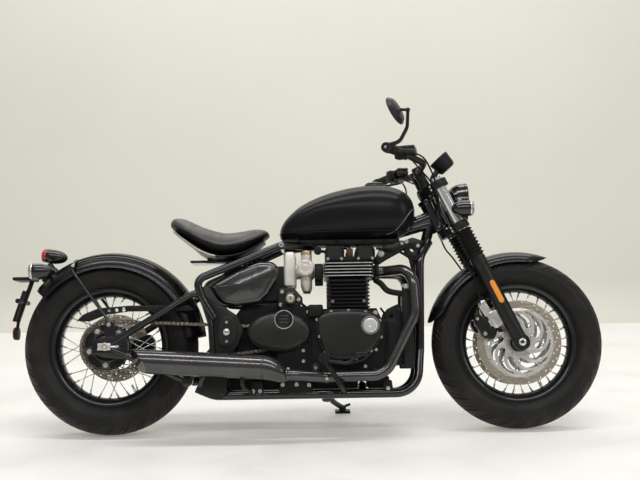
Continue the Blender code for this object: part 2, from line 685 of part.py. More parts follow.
def main_frame():
    """Head tube, backbone, two cradle loops, seat rails, pivot plates and cross tubes."""
    head_low = STEM_FOOT + STEER_AXIS * (YOKE_THICKNESS / 2 + 0.006)
    head_high = STEM_FOOT + STEER_AXIS * (UPPER_YOKE_S - LOWER_YOKE_S - YOKE_THICKNESS / 2 - 0.006)
    length = (head_high - head_low).length
    bore_radius = STEM_RADIUS + SPIN_GAP
    head = ring(bore_radius, HEAD_TUBE_RADIUS, 0, length, ROUND, ALONG_FORK, head_low)
    stem_space = drum(bore_radius, -0.05, length + 0.05, ROUND, ALONG_FORK, head_low)
    spine = [(head_low + head_high) / 2, (DOWNTUBE_X - 0.083, 0, 0.742), (0.690, 0, 0.722)]
    parts = [
        tube(rounded(spine, 0.06), BACKBONE_RADIUS, 2),
        tube([head_low + STEER_AXIS * 0.040, (DOWNTUBE_X - 0.143, 0, 0.716)], NECK_RADIUS, 2),
        tube([head_low + STEER_AXIS * 0.050, (DOWNTUBE_X + 0.035, 0, 0.690)], NECK_RADIUS, 2),
        tube([(DOWNTUBE_X + 0.003, -0.066, 0.615), (DOWNTUBE_X + 0.003, 0.066, 0.615)], 0.012),
        tube([(0.415, -RAIL_Y, RAIL_Z), (0.415, RAIL_Y, RAIL_Z)], 0.012),
        tube(SEAT_CROSS, SEAT_CROSS_RADIUS),
    ]
    bed_z = CASE_BOTTOM_Z - SEAT_GAP - RAIL_RADIUS * math.sqrt(0.75)
    for x in (DOWNTUBE_X - BED_BEHIND, REAR_BED_X):
        low = RAIL_Z + 0.004
        ends = (x, -RAIL_Y, low), (x, -0.070, bed_z), (x, 0.070, bed_z), (x, RAIL_Y, low)
        parts.append(tube(ends, RAIL_RADIUS))
    cross = []
    for side in (-1, 1):
        end = Vector((REAR_CROSS_ENDS[0], side * (PLATE_Y + 0.004), REAR_CROSS_ENDS[1]))
        bend = side * (REAR_FENDER_HALF_WIDTH + 0.020)
        middle = over_rear(REAR_CROSS_ANGLE, REAR_FENDER_RADIUS + REAR_CROSS_CLEARANCE, bend)
        cross += [end, middle][::-side]
    parts.append(tube(cross, 0.010))
    for side in (-1, 1):
        parts += frame_side(side)
        low = (0.533, side * (RAIL_Y - 0.006), RAIL_Z + 0.004)
        under = SILENCER_Z - SILENCER_RADIUS + 0.0044
        top = (0.500, side * SILENCER_Y, under)
        knee = (0.500, side * SILENCER_Y, under - 0.0264)
        parts.append(tube(rounded([low, knee, top], 0.02), 0.008))
        low = (0.868, side * (RAIL_Y - 0.006), RAIL_Z + 0.002)
        knee = (0.850, side * PEG_HANGER_Y, 0.172)
        top = (PEG_X + 0.004, side * PEG_HANGER_Y, PEG_Z - 0.008)
        parts.append(tube(rounded([low, knee, top], 0.02), 0.0095))
    aim = STAND_AXIS.to_track_quat("Z", "Y").to_matrix().to_4x4()
    base = STAND_PIVOT - STAND_AXIS * (STAND_HEAD_HALF + 0.0115)
    for shift in (-0.010, 0.010):
        end = Vector((base.x + shift, RAIL_Y, RAIL_Z - 0.004))
        parts.append(tube([base + Vector((shift * 0.6, 0, 0)), end], 0.0075))
    face, cap = -STAND_HEAD_HALF - SPIN_GAP, STAND_HEAD_HALF + SPIN_GAP
    parts += [
        drum(STAND_HEAD_RADIUS, face - 0.0155, face, 12, aim, STAND_PIVOT),
        drum(STAND_PIN_RADIUS, face - 0.0075, cap + 0.0035, ROUND, aim, STAND_PIVOT),
        drum(0.012, cap, cap + 0.0065, 6, aim, STAND_PIVOT),
    ]
    bolt_hole = drum(PIVOT_BOLT_RADIUS + SEAT_GAP, -0.20, 0.20, ROUND, centre=PIVOT)
    return cut(union(head, *parts), stem_space, bolt_hole)


def dropout(side):
    """The plate at the end of one arm that holds the axle."""
    z = REAR_AXLE.z
    outline = [
        (-0.048, z - 0.022), (-0.048, z + 0.020), (-0.010, z + 0.036), (0.060, z + 0.050), (0.075, z),
        (0.060, z - 0.044), (-0.010, z - 0.036),
    ]
    return prism(outline, side * (ARM_Y - 0.010), side * (ARM_Y + 0.010))


def swingarm():
    """A cage on each side that carries the axle, joined by the pivot tube and a top cross tube. The
    rear caliper stands on the left arm."""
    parts = []
    low = Vector((ARM_FOOT[0], 0, ARM_FOOT[1]))
    for side in (-1, 1):
        shift = Vector((0, side * ARM_Y, 0))
        axle = REAR_AXLE + shift
        cage = [axle, ARM_TOP + shift, PIVOT + shift, low + shift, axle]
        parts += [tube(rounded(cage, 0.035), ARM_RADIUS), dropout(side)]
    reach = Vector((0, ARM_Y + 0.012, 0))
    parts.append(tube([PIVOT - reach, PIVOT + reach], PIVOT_TUBE_RADIUS, 3))
    parts.append(tube(ARM_CROSS, ARM_CROSS_RADIUS))
    slot = ring(
        0.030, REAR_DISC_RADIUS + 0.006, REAR_DISC_Y - 0.008, REAR_DISC_Y + 0.008, 26, centre=REAR_AXLE
    )
    outline = []
    for degrees, radius in ((-16, 0.085), (-16, 0.140), (0, 0.150), (22, 0.142), (22, 0.085)):
        place = over_rear(90 - degrees, radius * REAR_DISC_RADIUS / 0.1275)
        outline.append((place.x, place.z))
    parts.append(cut(prism(outline, REAR_DISC_Y - 0.018, ARM_Y), slot))
    half = PLATE_Y + PLATE_THICKNESS + 0.006
    arm = union(*parts, drum(PIVOT_BOLT_RADIUS, -half, half, centre=PIVOT))
    return cut(arm, drum(AXLE_RADIUS + SEAT_GAP, -0.2, 0.2, centre=REAR_AXLE))


def frame_pieces(root, looks):
    piece("frame", main_frame(), root, looks["gloss_black"])
    piece("swingarm", swingarm(), root, looks["gloss_black"])
    half = ARM_Y + ARM_RADIUS + SEAT_GAP
    nut = 0.016
    axle = lathe(
        [(0, -half - 0.016), (nut, -half - 0.016), (nut, -half), (AXLE_RADIUS, -half),
         (AXLE_RADIUS, half), (nut, half), (nut, half + 0.016), (0, half + 0.016)],
        centre=REAR_AXLE,
    )
    piece("rear_axle", axle, root, looks["bright_steel"])
    way = (SHOCK_TOP - ARM_TOP).normalized()
    length = (SHOCK_TOP - ARM_TOP).length
    rod, low, high, pitch = 0.013, 0.110, 0.026, 0.026
    profile = [(0, 0), (rod, 0), (rod, low)]
    for turn in range(5):
        profile += [(0.019, low + 0.006 + turn * pitch), (high, low + 0.018 + turn * pitch)]
    profile += [(rod, low + 0.140), (rod, length), (0, length)]
    turned = way.to_track_quat("Z", "Y").to_matrix().to_4x4()
    ends = [
        tube(ARM_CROSS, ARM_CROSS_RADIUS + SEAT_GAP), tube(SEAT_CROSS, SEAT_CROSS_RADIUS + SEAT_GAP)
    ]
    shock = cut(lathe(profile, 8, turned, ARM_TOP), *ends)
    piece("rear_shock", shock, root, looks["dark_steel"])


# Mudguards
def mudguard(outer, half_width, depth, arc, centre, tips, steps):
    """A curved strip over a wheel. Arc is its end angles, measured forward from straight up. Tips
    tell over how many degrees its width closes to a point at the rear and at the front."""
    curve = 7
    section = []
    for step in range(curve):
        angle = math.radians(-90 + 180 * step / (curve - 1))
        section.append((outer - depth + depth * math.cos(angle), half_width * math.sin(angle)))
    narrower = 1 - FENDER_SHEET / half_width
    inside = [
        (r - FENDER_SHEET if abs(y) < half_width * 0.95 else r, y * narrower) for r, y in section
    ]
    start, end = math.radians(arc[0]), math.radians(arc[1])
    rings = []
    for step in range(steps + 1):
        angle = start + (end - start) * step / steps
        share = 1.0
        for tip, past in zip(tips, (math.degrees(angle - start), math.degrees(end - angle))):
            if tip:
                share = min(share, 0.30 + 0.70 * math.sin(min(1.0, past / tip) * math.pi / 2))
        row = []
        for radius, y in section + inside[::-1]:
            r = outer - (outer - radius) * (0.35 + 0.65 * share)
            row.append(Vector((r * math.sin(angle), y * share, r * math.cos(angle))) + centre)
        rings.append(row)
    return loft(rings)


def mudguards(root, fork, looks):
    size = FRONT_FENDER_RADIUS, FRONT_FENDER_HALF_WIDTH, FRONT_FENDER_DEPTH
    shape = mudguard(*size, FRONT_FENDER_ARC, FRONT_AXLE, (12, 16), 13)
    place = on_fork(0.003, 0, FRONT_FENDER_RADIUS - 0.0253)
    for side in (-1, 1):
        inner = FORK_HALF_SPACING - FORK_SLIDER_RADIUS - SEAT_GAP
        ends = sorted((side * (FRONT_FENDER_HALF_WIDTH - 0.0152), side * inner))
        shape = union(shape, drum(FENDER_LUG_RADIUS, *ends, 8, centre=place))
    piece("front_fender", shape, fork, looks["matte_black"])
    size = REAR_FENDER_RADIUS, REAR_FENDER_HALF_WIDTH, REAR_FENDER_DEPTH
    shape = mudguard(*size, REAR_FENDER_ARC, REAR_AXLE, (0, 0), 15)
    crest = over_rear(STAY_ANGLE, REAR_FENDER_RADIUS - STAY_SINK)
    loop = []
    for step in range(9):
        angle = math.radians(-90 + 22.5 * step)
        down = STAY_DROP * (1 - math.cos(angle))
        loop.append(crest + Vector((0, STAY_HALF_WIDTH * math.sin(angle), -down)))
    feet = [Vector((STAY_FOOT[0], side * ARM_Y, STAY_FOOT[1])) for side in (-1, 1)]
    shape = union(shape, tube([feet[0], *loop, feet[1]], STAY_RADIUS))
    piece("rear_fender", shape, root, looks["gloss_black"])


# Tail
def bullet(radius, length, nose_share=0.62, sides=12, turn=TURN_TO_BIKE_Y, centre=(0, 0, 0)):
    """A bullet-shaped lamp: pointed nose, round drum and a shallow domed lens."""
    nose = length * nose_share
    profile = [(0, 0)]
    for share in (0.2, 0.55, 1.0):
        angle = share * math.pi / 2
        profile.append((radius * math.sin(angle) ** 0.9, nose * (1 - math.cos(angle))))
    profile += [(radius, length * 0.90), (0, length)]
    return lathe(profile, sides, turn, centre)


def tail(root, looks):
    """Tail lamp, rear indicators and the plate bracket, all on a bar over the mudguard."""
    surface = REAR_FENDER_RADIUS + SEAT_GAP
    bar = over_rear(LAMP_BAR_ANGLE, REAR_FENDER_RADIUS + LAMP_BAR_LIFT)

    def by_bar(back, side, down):
        return bar + Vector((-back, side, -down))

    rise = Matrix.Rotation(math.radians(8), 4, "Y")
    parts = [
        tube([by_bar(0, -LAMP_BAR_HALF, 0), by_bar(0, LAMP_BAR_HALF, 0)], LAMP_BAR_RADIUS),
        bullet(
            TAIL_LAMP_RADIUS, TAIL_LAMP_LENGTH, 0.55, 10, rise @ BACKWARD, by_bar(-0.0685, 0, -0.061)
        ),
        tube([over_rear(-36.9, surface), over_rear(-36.9, surface + 0.044)], 0.010),
        tube([over_rear(-35, surface + 0.0097), over_rear(-46, surface + 0.0097)], 0.007),
        tube([over_rear(-44.4, surface), over_rear(-44.4, surface + 0.0137)], 0.012),
        tube([by_bar(*at) for at in PLATE_STEM], 0.008),
        block(by_bar(0.1235, -0.055, 0.023), by_bar(0.0515, 0.055, 0.011)),
        tube([by_bar(0.0975, -0.075, 0.101), by_bar(0.0975, 0.075, 0.101)], 0.009),
        drum(0.024, -0.010, 0.010, 12, BACKWARD, by_bar(0.1195, 0, 0.219)),
        tube([by_bar(0.1115, 0, 0.161), by_bar(0.1175, 0, 0.206)], 0.006),
    ]
    for side in (-1, 1):
        place = by_bar(-0.0405, side * REAR_SIGNAL_Y, -0.003)
        parts.append(bullet(SIGNAL_RADIUS, SIGNAL_LENGTH, 0.6, 10, BACKWARD, place))
    drop = block((-0.006, -0.040, -0.120), (0.004, 0.040, 0))
    hang = Matrix.Translation(by_bar(0.0835, 0, 0.061)) @ Matrix.Rotation(math.radians(18), 4, "Y")
    piece("tail_lamps", union(*parts, moved(drop, hang)), root, looks["black_plastic"])


# Seat
SEAT_STATIONS = (
    # x, top, bottom, half width
    (0.226, 0.792, 0.764, 0.060),
    (0.240, 0.803, 0.751, 0.098),
    (0.262, 0.802, 0.734, 0.122),
    (0.300, 0.787, 0.708, 0.140),
    (0.350, 0.764, 0.676, 0.150),
    (0.400, 0.749, 0.656, 0.150),
    (0.440, 0.743, 0.653, 0.143),
    (0.490, 0.748, 0.664, 0.122),
    (0.540, 0.756, 0.690, 0.095),
    (0.575, 0.757, 0.716, 0.072),
    (0.592, 0.748, 0.730, 0.045),
)


def oval(x, top, bottom, half_width, power=2.6, count=20, flat=1.0):
    """A ring of points at one x, between a top and a bottom height."""
    middle, half = (top + bottom) / 2, (top - bottom) / 2
    points = []
    for number in range(count):
        angle = 2 * math.pi * number / count
        c, s = math.cos(angle), math.sin(angle)
        y = half_width * math.copysign(abs(c) ** (2 / power), c)
        z = middle + half * math.copysign(abs(s) ** (2 / power), s) * (flat if s < 0 else 1.0)
        points.append(Vector((x, y, z)))
    return points


def seat(root, looks):
    pad = loft([oval(*row, power=2.8) for row in SEAT_STATIONS])
    piece("seat_pad", pad, root, looks["seat_leather"])
    pan_rows = []
    for x, _, bottom, half_width in SEAT_STATIONS[1:-2]:
        pan_rows.append(oval(x, bottom - SEAT_GAP * 2, bottom - 0.008, half_width * 0.92, 3.2, 12))
    pan = loft(pan_rows)
    post_low = 0.642
    legs = [tube([(0.372, y, post_low), (0.372, y, 0.664)], 0.010) for y in (-0.05, 0.05)]
    piece("seat_pan", union(pan, *legs), root, looks["seat_metal"])
    tongue = block((0.300, -0.052, 0.630), (0.455, 0.052, post_low - SEAT_GAP))
    arms = []
    for side in (-1, 1):
        ends = (0.430, side * 0.043, 0.634), (0.560, side * 0.058, 0.655)
        arms.append(tube([*ends, SHOCK_TOP + Vector((0, side * 0.050, 0))], 0.008))
    cross = tube(SEAT_CROSS, SEAT_CROSS_RADIUS + SEAT_GAP)
    piece("seat_bracket", cut(union(tongue, *arms), cross), root, looks["black_metal"])


# Tank
TANK_STATIONS = (
    # x, top, bottom, half width
    (0.634, 0.752, 0.722, 0.030),
    (0.642, 0.772, 0.714, 0.058),
    (0.662, 0.800, 0.710, 0.082),
    (0.705, 0.838, 0.708, 0.104),
    (0.760, 0.868, 0.708, 0.118),
    (0.830, 0.893, 0.708, 0.128),
    (0.900, 0.909, 0.708, 0.135),
    (0.970, 0.917, 0.708, 0.138),
    (1.030, 0.915, 0.710, 0.136),
    (1.075, 0.904, 0.716, 0.128),
    (1.108, 0.886, 0.732, 0.112),
    (1.128, 0.862, 0.756, 0.088),
    (1.138, 0.836, 0.786, 0.052),
)


def tank(root, looks):
    body = loft([oval(*row, power=2.4, count=20) for row in TANK_STATIONS])
    half = BACKBONE_RADIUS + 0.0035
    tunnel = block((0.60, -half, 0.66), (1.20, half, 0.7665))
    notch = block((1.02, -0.048, 0.66), (1.20, 0.048, 0.80))
    neck_ring = drum(0.036, 0.900, 0.926, 20, Matrix.Identity(4), (0.992, 0, 0))
    piece("fuel_tank", cut(union(body, neck_ring), tunnel, notch), root, looks["matte_black"])


# Engine
def crankcase():
    """One block at the engine's real place, narrower at the back where the chain runs."""
    main_part = prism(
        [(0.615, 0.200), (0.640, CASE_BOTTOM_Z), (0.960, CASE_BOTTOM_Z), (1.010, 0.235), (1.015, 0.380),
         (0.985, CASE_TOP_Z), (0.740, CASE_TOP_Z), (0.690, 0.470), (0.640, 0.470), (0.628, 0.400)],
        -CASE_HALF_WIDTH, CASE_HALF_WIDTH,
    )
    gearbox = prism(
        [(0.475, 0.290), (0.520, 0.225), (0.640, 0.200), (0.700, 0.300), (0.640, 0.465), (0.530, 0.450),
         (0.480, 0.400)],
        CHAIN_Y + 0.014, PLATE_Y - 0.032,
    )
    boss_radius = pitch_radius(FRONT_TEETH) - CHAIN_HEIGHT / 2 - SEAT_GAP * 2
    place = FRONT_SPROCKET_X, 0, FRONT_SPROCKET_Z
    boss = drum(boss_radius, CHAIN_Y - 0.008, CHAIN_Y + 0.020, ROUND, centre=place)
    return union(main_part, gearbox, boss)


def finned(x_range, half_width, low, high, fins, fin_thickness, core_inset):
    """A core with flat fins round it."""
    x0, x1 = x_range
    half = half_width - core_inset
    core = block((x0 + core_inset, -half, low), (x1 - core_inset, half, high))
    plates = []
    for number in range(fins):
        z = low + 0.004 + (high - low - 0.008 - fin_thickness) * number / (fins - 1)
        plates.append(block((x0, -half_width, z), (x1, half_width, z + fin_thickness)))
    return union(core, *plates)


CLUTCH_OUTLINE = (
    (0.766, 0.411), (0.805, 0.438), (0.886, 0.443), (0.957, 0.434), (0.999, 0.401),
    (1.001, 0.345), (0.942, 0.275), (0.882, 0.261), (0.808, 0.271), (0.774, 0.348),
)


def engine(root, looks):
    piece("crankcase", crankcase(), root, looks["engine_black"])
    shape = finned(BARREL_X, BARREL_HALF_WIDTH, CASE_TOP_Z + SEAT_GAP, BARREL_TOP_Z, 8, 0.003, 0.014)
    piece("barrels", shape, root, looks["engine_black"])
    head_x = (BARREL_X[0] - 0.010, BARREL_X[1] + 0.014)
    shape = finned(head_x, BARREL_HALF_WIDTH + 0.004, BARREL_TOP_Z + SEAT_GAP, HEAD_TOP_Z, 5, 0.003, 0.012)
    ports = [
        drum(PORT_RADIUS, 0, 0.030, 12, ALONG_X, (head_x[1] - 0.014, way * CYLINDER_SPACING / 2, PORT_Z))
        for way in (-1, 1)
    ]
    piece("cylinder_head", union(shape, *ports), root, looks["engine_black"])
    x0, x1 = BARREL_X[0] - 0.004, BARREL_X[1] + 0.023
    humps = [
        block((x0, -0.095, HEAD_TOP_Z + SEAT_GAP), (x1, 0.095, HEAD_TOP_Z + 0.030), 0.004),
        block((x0, -0.110, HEAD_TOP_Z + 0.004), (x0 + 0.072, 0.110, HEAD_TOP_Z + 0.065), 0.010),
        block((x1 - 0.073, -0.110, HEAD_TOP_Z + 0.004), (x1, 0.110, HEAD_TOP_Z + 0.065), 0.010),
    ]
    piece("rocker_cover", union(*humps), root, looks["engine_satin"])
    wall = CASE_HALF_WIDTH + SEAT_GAP
    shape = prism(CLUTCH_OUTLINE, -wall, -CASE_HALF_WIDTH - CLUTCH_DEPTH, 0.010)
    face = -CASE_HALF_WIDTH - PLUG_DEPTH
    plug = drum(0.034, face, face + 0.015, 20, centre=(0.959, 0, 0.386))
    piece("clutch_cover", union(shape, plug), root, looks["engine_satin"])
    shape = prism(CLUTCH_OUTLINE, CASE_HALF_WIDTH + ALTERNATOR_DEPTH, wall, 0.012)
    piece("alternator_cover", shape, root, looks["engine_satin"])
    outline = []
    for step in range(12):
        angle = 2 * math.pi * step / 12
        outline.append((0.629 + 0.116 * math.cos(angle), 0.368 + 0.070 * math.sin(angle)))
    inner = CHAIN_Y - CHAIN_WIDTH / 2 - 0.003
    shape = prism(outline, inner, -CASE_HALF_WIDTH - SPROCKET_COVER_DEPTH, 0.016)
    inner_wall = block((0.612, -wall, 0.28), (0.80, -0.06, 0.46))
    face = -CASE_HALF_WIDTH - FILLER_DEPTH
    filler = drum(0.034, face, face + 0.018, 20, centre=(0.648, 0, 0.412))
    piece("sprocket_cover", cut(union(shape, filler), inner_wall), root, looks["engine_satin"])


def intake(root, looks):
    """Two throttle bodies with bell ends, joined by a bar, between the airbox and the head."""
    upright = Matrix.Identity(4)
    bell_x = INTAKE_BACK_X + 0.070
    length = BARREL_X[0] - 0.010 - SEAT_GAP - INTAKE_BACK_X
    profile = [
        (0, 0), (0.030, 0), (0.030, 0.030), (0.022, 0.034), (0.022, 0.052),
        (0.026, 0.092), (0.019, 0.098), (0.019, length), (0, length),
    ]
    bowl = [(0, 0.518), (0.012, 0.520), (0.019, 0.545), (0.019, 0.585), (0, 0.585)]
    parts = [tube([(bell_x + 0.003, -INTAKE_Y, 0.612), (bell_x + 0.003, INTAKE_Y, 0.612)], 0.008)]
    for side in (-1, 1):
        y = side * INTAKE_Y
        parts.append(lathe(profile, 8, ALONG_X, (INTAKE_BACK_X, y, INTAKE_Z)))
        parts.append(drum(0.017, 0.560, 0.650, 8, upright, (bell_x + 0.003, y, 0)))
        ends = y + side * 0.010, y + side * 0.058
        parts.append(drum(0.030, *ends, 8, centre=(bell_x - 0.002, 0, INTAKE_Z + 0.006)))
        parts.append(lathe(bowl, 8, upright, (bell_x, y, 0)))
    piece("throttle_bodies", union(*parts), root, looks["carb_metal"])


PANEL_OUTLINE = (
    (0.392, 0.545), (0.512, 0.610), (0.568, 0.626), (0.610, 0.624), (0.636, 0.596),
    (0.621, 0.560), (0.589, 0.507), (0.556, 0.476), (0.430, 0.474), (0.396, 0.530),
)


def side_panels(root, looks):
    front = INTAKE_BACK_X - SEAT_GAP
    box = block((0.425, -PANEL_BASE_Y, 0.480), (front, PANEL_BASE_Y, 0.612), 0.010)
    past = SHOCK_TOP + (SHOCK_TOP - ARM_TOP) * 0.2
    slot = tube([ARM_TOP, past], 0.030, 3)
    key = drum(0.024, -0.140, -0.080, 12, centre=(0.672, 0, 0.500))
    lug = block((0.645, -0.112, 0.4703), (0.700, -0.080, 0.500))
    piece("airbox", cut(union(box, key, lug), slot), root, looks["black_plastic"])
    for side, name in ((-1, "right"), (1, "left")):
        shape = prism(PANEL_OUTLINE, side * (PANEL_BASE_Y + SEAT_GAP), side * PANEL_FACE_Y, 0.014)
        piece(f"side_panel_{name}", shape, root, looks["matte_black"])


def exhaust(root, looks):
    """A header from each port, swept down and back under the engine into a slash-cut silencer."""
    port_x = BARREL_X[1] + 0.014 + 0.016 + SEAT_GAP
    for side, name in ((-1, "right"), (1, "left")):
        y = side * SILENCER_Y
        port_y = side * CYLINDER_SPACING / 2
        bend_x = DOWNTUBE_X - 0.027
        path = rounded(
            [
                (port_x, port_y, PORT_Z), (port_x + 0.0297, port_y, PORT_Z),
                (bend_x, side * 0.150, PORT_Z + 0.002), (bend_x + 0.008, side * 0.163, 0.430),
                (1.010, side * 0.169, 0.207), (0.790, side * 0.172, 0.204), (0.690, y, COLLECTOR_Z),
                (0.630, y, COLLECTOR_Z),
            ],
            0.080, 3,
        )
        header = tube(path, HEADER_RADIUS, 2)
        front = Vector((SILENCER_FRONT_X, y, SILENCER_Z))
        back = Vector((SILENCER_END[0], y, SILENCER_END[1]))
        turn = (back - front).to_track_quat("Z", "Y").to_matrix().to_4x4()
        length = (back - front).length + 0.06
        bore = SILENCER_RADIUS - SILENCER_WALL
        profile = [
            (0, 0), (SILENCER_RADIUS, 0), (SILENCER_RADIUS, length), (bore, length), (bore, 0.18), (0, 0.18)
        ]
        body = lathe(profile, ROUND, turn, front)
        slant = block((-0.20, y - 0.2, -0.2), (0.0, y + 0.2, 0.2))
        end = Matrix.Translation((SILENCER_END[0], 0, SILENCER_END[1]))
        slant.transform(end @ Matrix.Rotation(SILENCER_CUT, 4, "Y"))
        rings = []
        for share in (0.0, 0.35, 0.65, 0.85, 1.0):
            eased = share**1.6
            radius = SILENCER_RADIUS - (SILENCER_RADIUS - HEADER_RADIUS - 0.002) * eased
            z = SILENCER_Z + (COLLECTOR_Z - SILENCER_Z) * eased
            centre = Vector((SILENCER_FRONT_X - 0.012 + 0.0905 * share, y, z))
            angles = (2 * math.pi * n / ROUND for n in range(ROUND))
            rings.append(
                [centre + Vector((0, radius * math.cos(a), radius * math.sin(a))) for a in angles]
            )
        shape = union(cut(body, slant), loft(rings), header)
        piece(f"exhaust_{name}", shape, root, looks["exhaust_satin"])


def radiator(root, looks):
    face = DOWNTUBE_X - 0.001 - RAIL_RADIUS - 0.008
    parts = [block((face - 0.032, -0.105, 0.236), (face, 0.105, 0.520))]
    rails = []
    for side in (-1, 1):
        y = side * 0.110
        parts.append(block((face - 0.040, y - 0.012, 0.228), (face + 0.002, y + 0.012, 0.528), 0.004))
        y = side * 0.070
        parts.append(block((face - 0.004, y - 0.010, 0.440), (DOWNTUBE_X + 0.003, y + 0.010, 0.470)))
        rails.append(tube(cradle_path(side), RAIL_RADIUS + SEAT_GAP, 2))
    piece("radiator", cut(union(*parts), *rails), root, looks["black_plastic"])


def footrests(root, looks):
    """A footrest with its pedal on each hanger, modelled for the left and mirrored for the right."""
    inner = PEG_HANGER_Y + 0.0098
    profile = [
        (0, inner), (0.012, inner), (0.016, inner + 0.012), (0.018, inner + 0.094),
        (0.020, inner + 0.098), (0.020, inner + 0.104), (0, inner + 0.104),
    ]
    peg = lathe(profile, 12, centre=(PEG_X, 0, PEG_Z))
    bends = [
        (PEG_X + 0.005, PEG_ARM_Y, PEG_Z - 0.008), (PEG_X + 0.085, PEG_ARM_Y, PEG_Z - 0.020),
        (PEG_X + 0.123, PEG_ARM_Y, PEG_Z + 0.014),
    ]
    arm = tube(rounded(bends, 0.03), 0.0065)
    low = (PEG_X + 0.109, PEG_ARM_Y - 0.008, PEG_Z + 0.006)
    pad = block(low, (PEG_X + 0.157, PEG_ARM_Y + 0.040, PEG_Z + 0.020), 0.003)
    left = union(peg, arm, pad)
    piece("brake_pedal", mirrored(left), root, looks["black_metal"])
    piece("gear_pedal", left, root, looks["black_metal"])


CALIPER_OUTLINE = (
    (-0.075, 0.051), (-0.094, 0.010), (-0.128, 0.014), (-0.160, 0.060), (-0.166, 0.106),
    (-0.131, 0.131), (-0.095, 0.110),
)


GUARD_TOP = ((-0.112, 0.420), (-0.085, 0.445), (-0.031, 0.466), (0.080, 0.474), (0.300, 0.472))
GUARD_LOWER = ((0.322, 0.455), (0.300, 0.452), (0.080, 0.452), (0.000, 0.442), (-0.062, 0.418))


def brakes_and_guard(root, fork, looks):
    for side, name in ((-1, "right"), (1, "left")):
        y = side * FRONT_DISC_Y
        slot = ring(0.040, FRONT_DISC_RADIUS + 0.006, y - 0.0080, y + 0.0080, 26, centre=FRONT_AXLE)
        outline = [(FRONT_AXLE.x + x, FRONT_AXLE.z + z) for x, z in CALIPER_OUTLINE]
        body = prism(outline, side * (FRONT_DISC_Y - 0.018), side * (FRONT_DISC_Y + 0.030), 0.004)
        lug = block((-0.060, 0.080, 0.085), (-FORK_SLIDER_RADIUS * 0.6, 0.106, 0.150))
        lug.transform(FORK_FRAME)
        if side < 0:
            lug = mirrored(lug)
        piece(f"fork_leg_{name}", cut(union(body, lug, fork_leg(side)), slot), fork, looks["satin_black"])
    low_y = -ARM_Y + ARM_RADIUS + SEAT_GAP
    guard = prism([*GUARD_TOP, *GUARD_LOWER], low_y, low_y + 0.003)
    flange = prism([*GUARD_TOP, *[(x + 0.001, z - 0.003) for x, z in GUARD_TOP[::-1]]], low_y, low_y + 0.014)
    piece("chain_guard", union(guard, flange), root, looks["black_plastic"])


# Steering group
def fork_leg(side):
    """Slider, gaiter and tube as one turned form along the leg, with the axle eye at its foot."""
    top = UPPER_YOKE_S + YOKE_THICKNESS / 2 + 0.012
    gaiter_high = LOWER_YOKE_S - 0.018
    gaiter_low = gaiter_high - GAITER_LENGTH
    collar = FORK_SLIDER_RADIUS + 0.0025
    profile = [
        (0, -0.030), (FORK_SLIDER_RADIUS * 0.8, -0.030), (FORK_SLIDER_RADIUS, -0.018),
        (FORK_SLIDER_RADIUS, gaiter_low - 0.017), (collar, gaiter_low - 0.012), (collar, gaiter_low),
    ]
    pitch = GAITER_LENGTH / GAITER_FOLDS
    for fold in range(GAITER_FOLDS):
        s = gaiter_low + fold * pitch
        profile += [(FORK_GAITER_RADIUS - 0.008, s + pitch * 0.15), (FORK_GAITER_RADIUS, s + pitch * 0.6)]
    profile += [(FORK_TUBE_RADIUS, gaiter_high), (FORK_TUBE_RADIUS, top), (0, top)]
    y = side * FORK_HALF_SPACING
    leg = lathe(profile, 12, ALONG_FORK, on_fork(0, y, 0))
    eye = drum(0.030, y - 0.0245, y + 0.0245, 12, centre=FRONT_AXLE)
    bore = drum(AXLE_RADIUS + SEAT_GAP, -0.2, 0.2, centre=FRONT_AXLE)
    return cut(union(leg, eye), bore)


def yokes():
    """Both fork clamps and the stem between them."""
    parts = []
    for level in (LOWER_YOKE_S, UPPER_YOKE_S):
        low, high = level - YOKE_THICKNESS / 2, level + YOKE_THICKNESS / 2
        for side in (-1, 1):
            leg = on_fork(0, side * FORK_HALF_SPACING, 0)
            parts.append(drum(0.034, low, high, 10, ALONG_FORK, leg))
        back = -FORK_OFFSET - BRIDGE_FRONT
        outline = [
            (BRIDGE_FRONT, -FORK_HALF_SPACING), (BRIDGE_FRONT, FORK_HALF_SPACING),
            (-BRIDGE_FRONT, FORK_HALF_SPACING), (back, HEAD_TUBE_RADIUS), (back, -HEAD_TUBE_RADIUS),
            (-BRIDGE_FRONT, -FORK_HALF_SPACING),
        ]
        faces = [
            [Vector((forward, across, level + way * BRIDGE_HALF)) for forward, across in outline]
            for way in (-1, 1)
        ]
        parts.append(moved(loft(faces), FORK_FRAME))
    foot = on_fork(-FORK_OFFSET, 0, 0)
    stem = drum(STEM_RADIUS, LOWER_YOKE_S - 0.010, UPPER_YOKE_S + 0.022, ROUND, ALONG_FORK, foot)
    bores = []
    for side in (-1, 1):
        leg = on_fork(0, side * FORK_HALF_SPACING, 0)
        low, high = LOWER_YOKE_S - 0.08, UPPER_YOKE_S + 0.10
        bores.append(drum(FORK_TUBE_RADIUS + SEAT_GAP, low, high, 12, ALONG_FORK, leg))
    return cut(union(*parts, stem), *bores)


def bar_path():
    half = [
        BAR_CLAMP, BAR_CLAMP + Vector((0, 0.085, 0)), BAR_CLAMP + Vector((0.012, 0.165, 0.016)),
        GRIP_START, GRIP_END,
    ]
    other = [Vector((p.x, -p.y, p.z)) for p in half[:0:-1]]
    return rounded(other + half, 0.05)


def handlebar():
    """The bent bar in two risers that stand on the upper yoke."""
    parts = []
    for side in (-1, 1):
        foot = on_bars(-BAR_BACK, side * 0.052, BRIDGE_HALF + SEAT_GAP)
        top = BAR_CLAMP + Vector((0, side * 0.052, 0)) + STEER_AXIS * 0.022
        parts.append(tube([foot, top], 0.020))
    return union(tube(bar_path(), BAR_RADIUS), *parts)


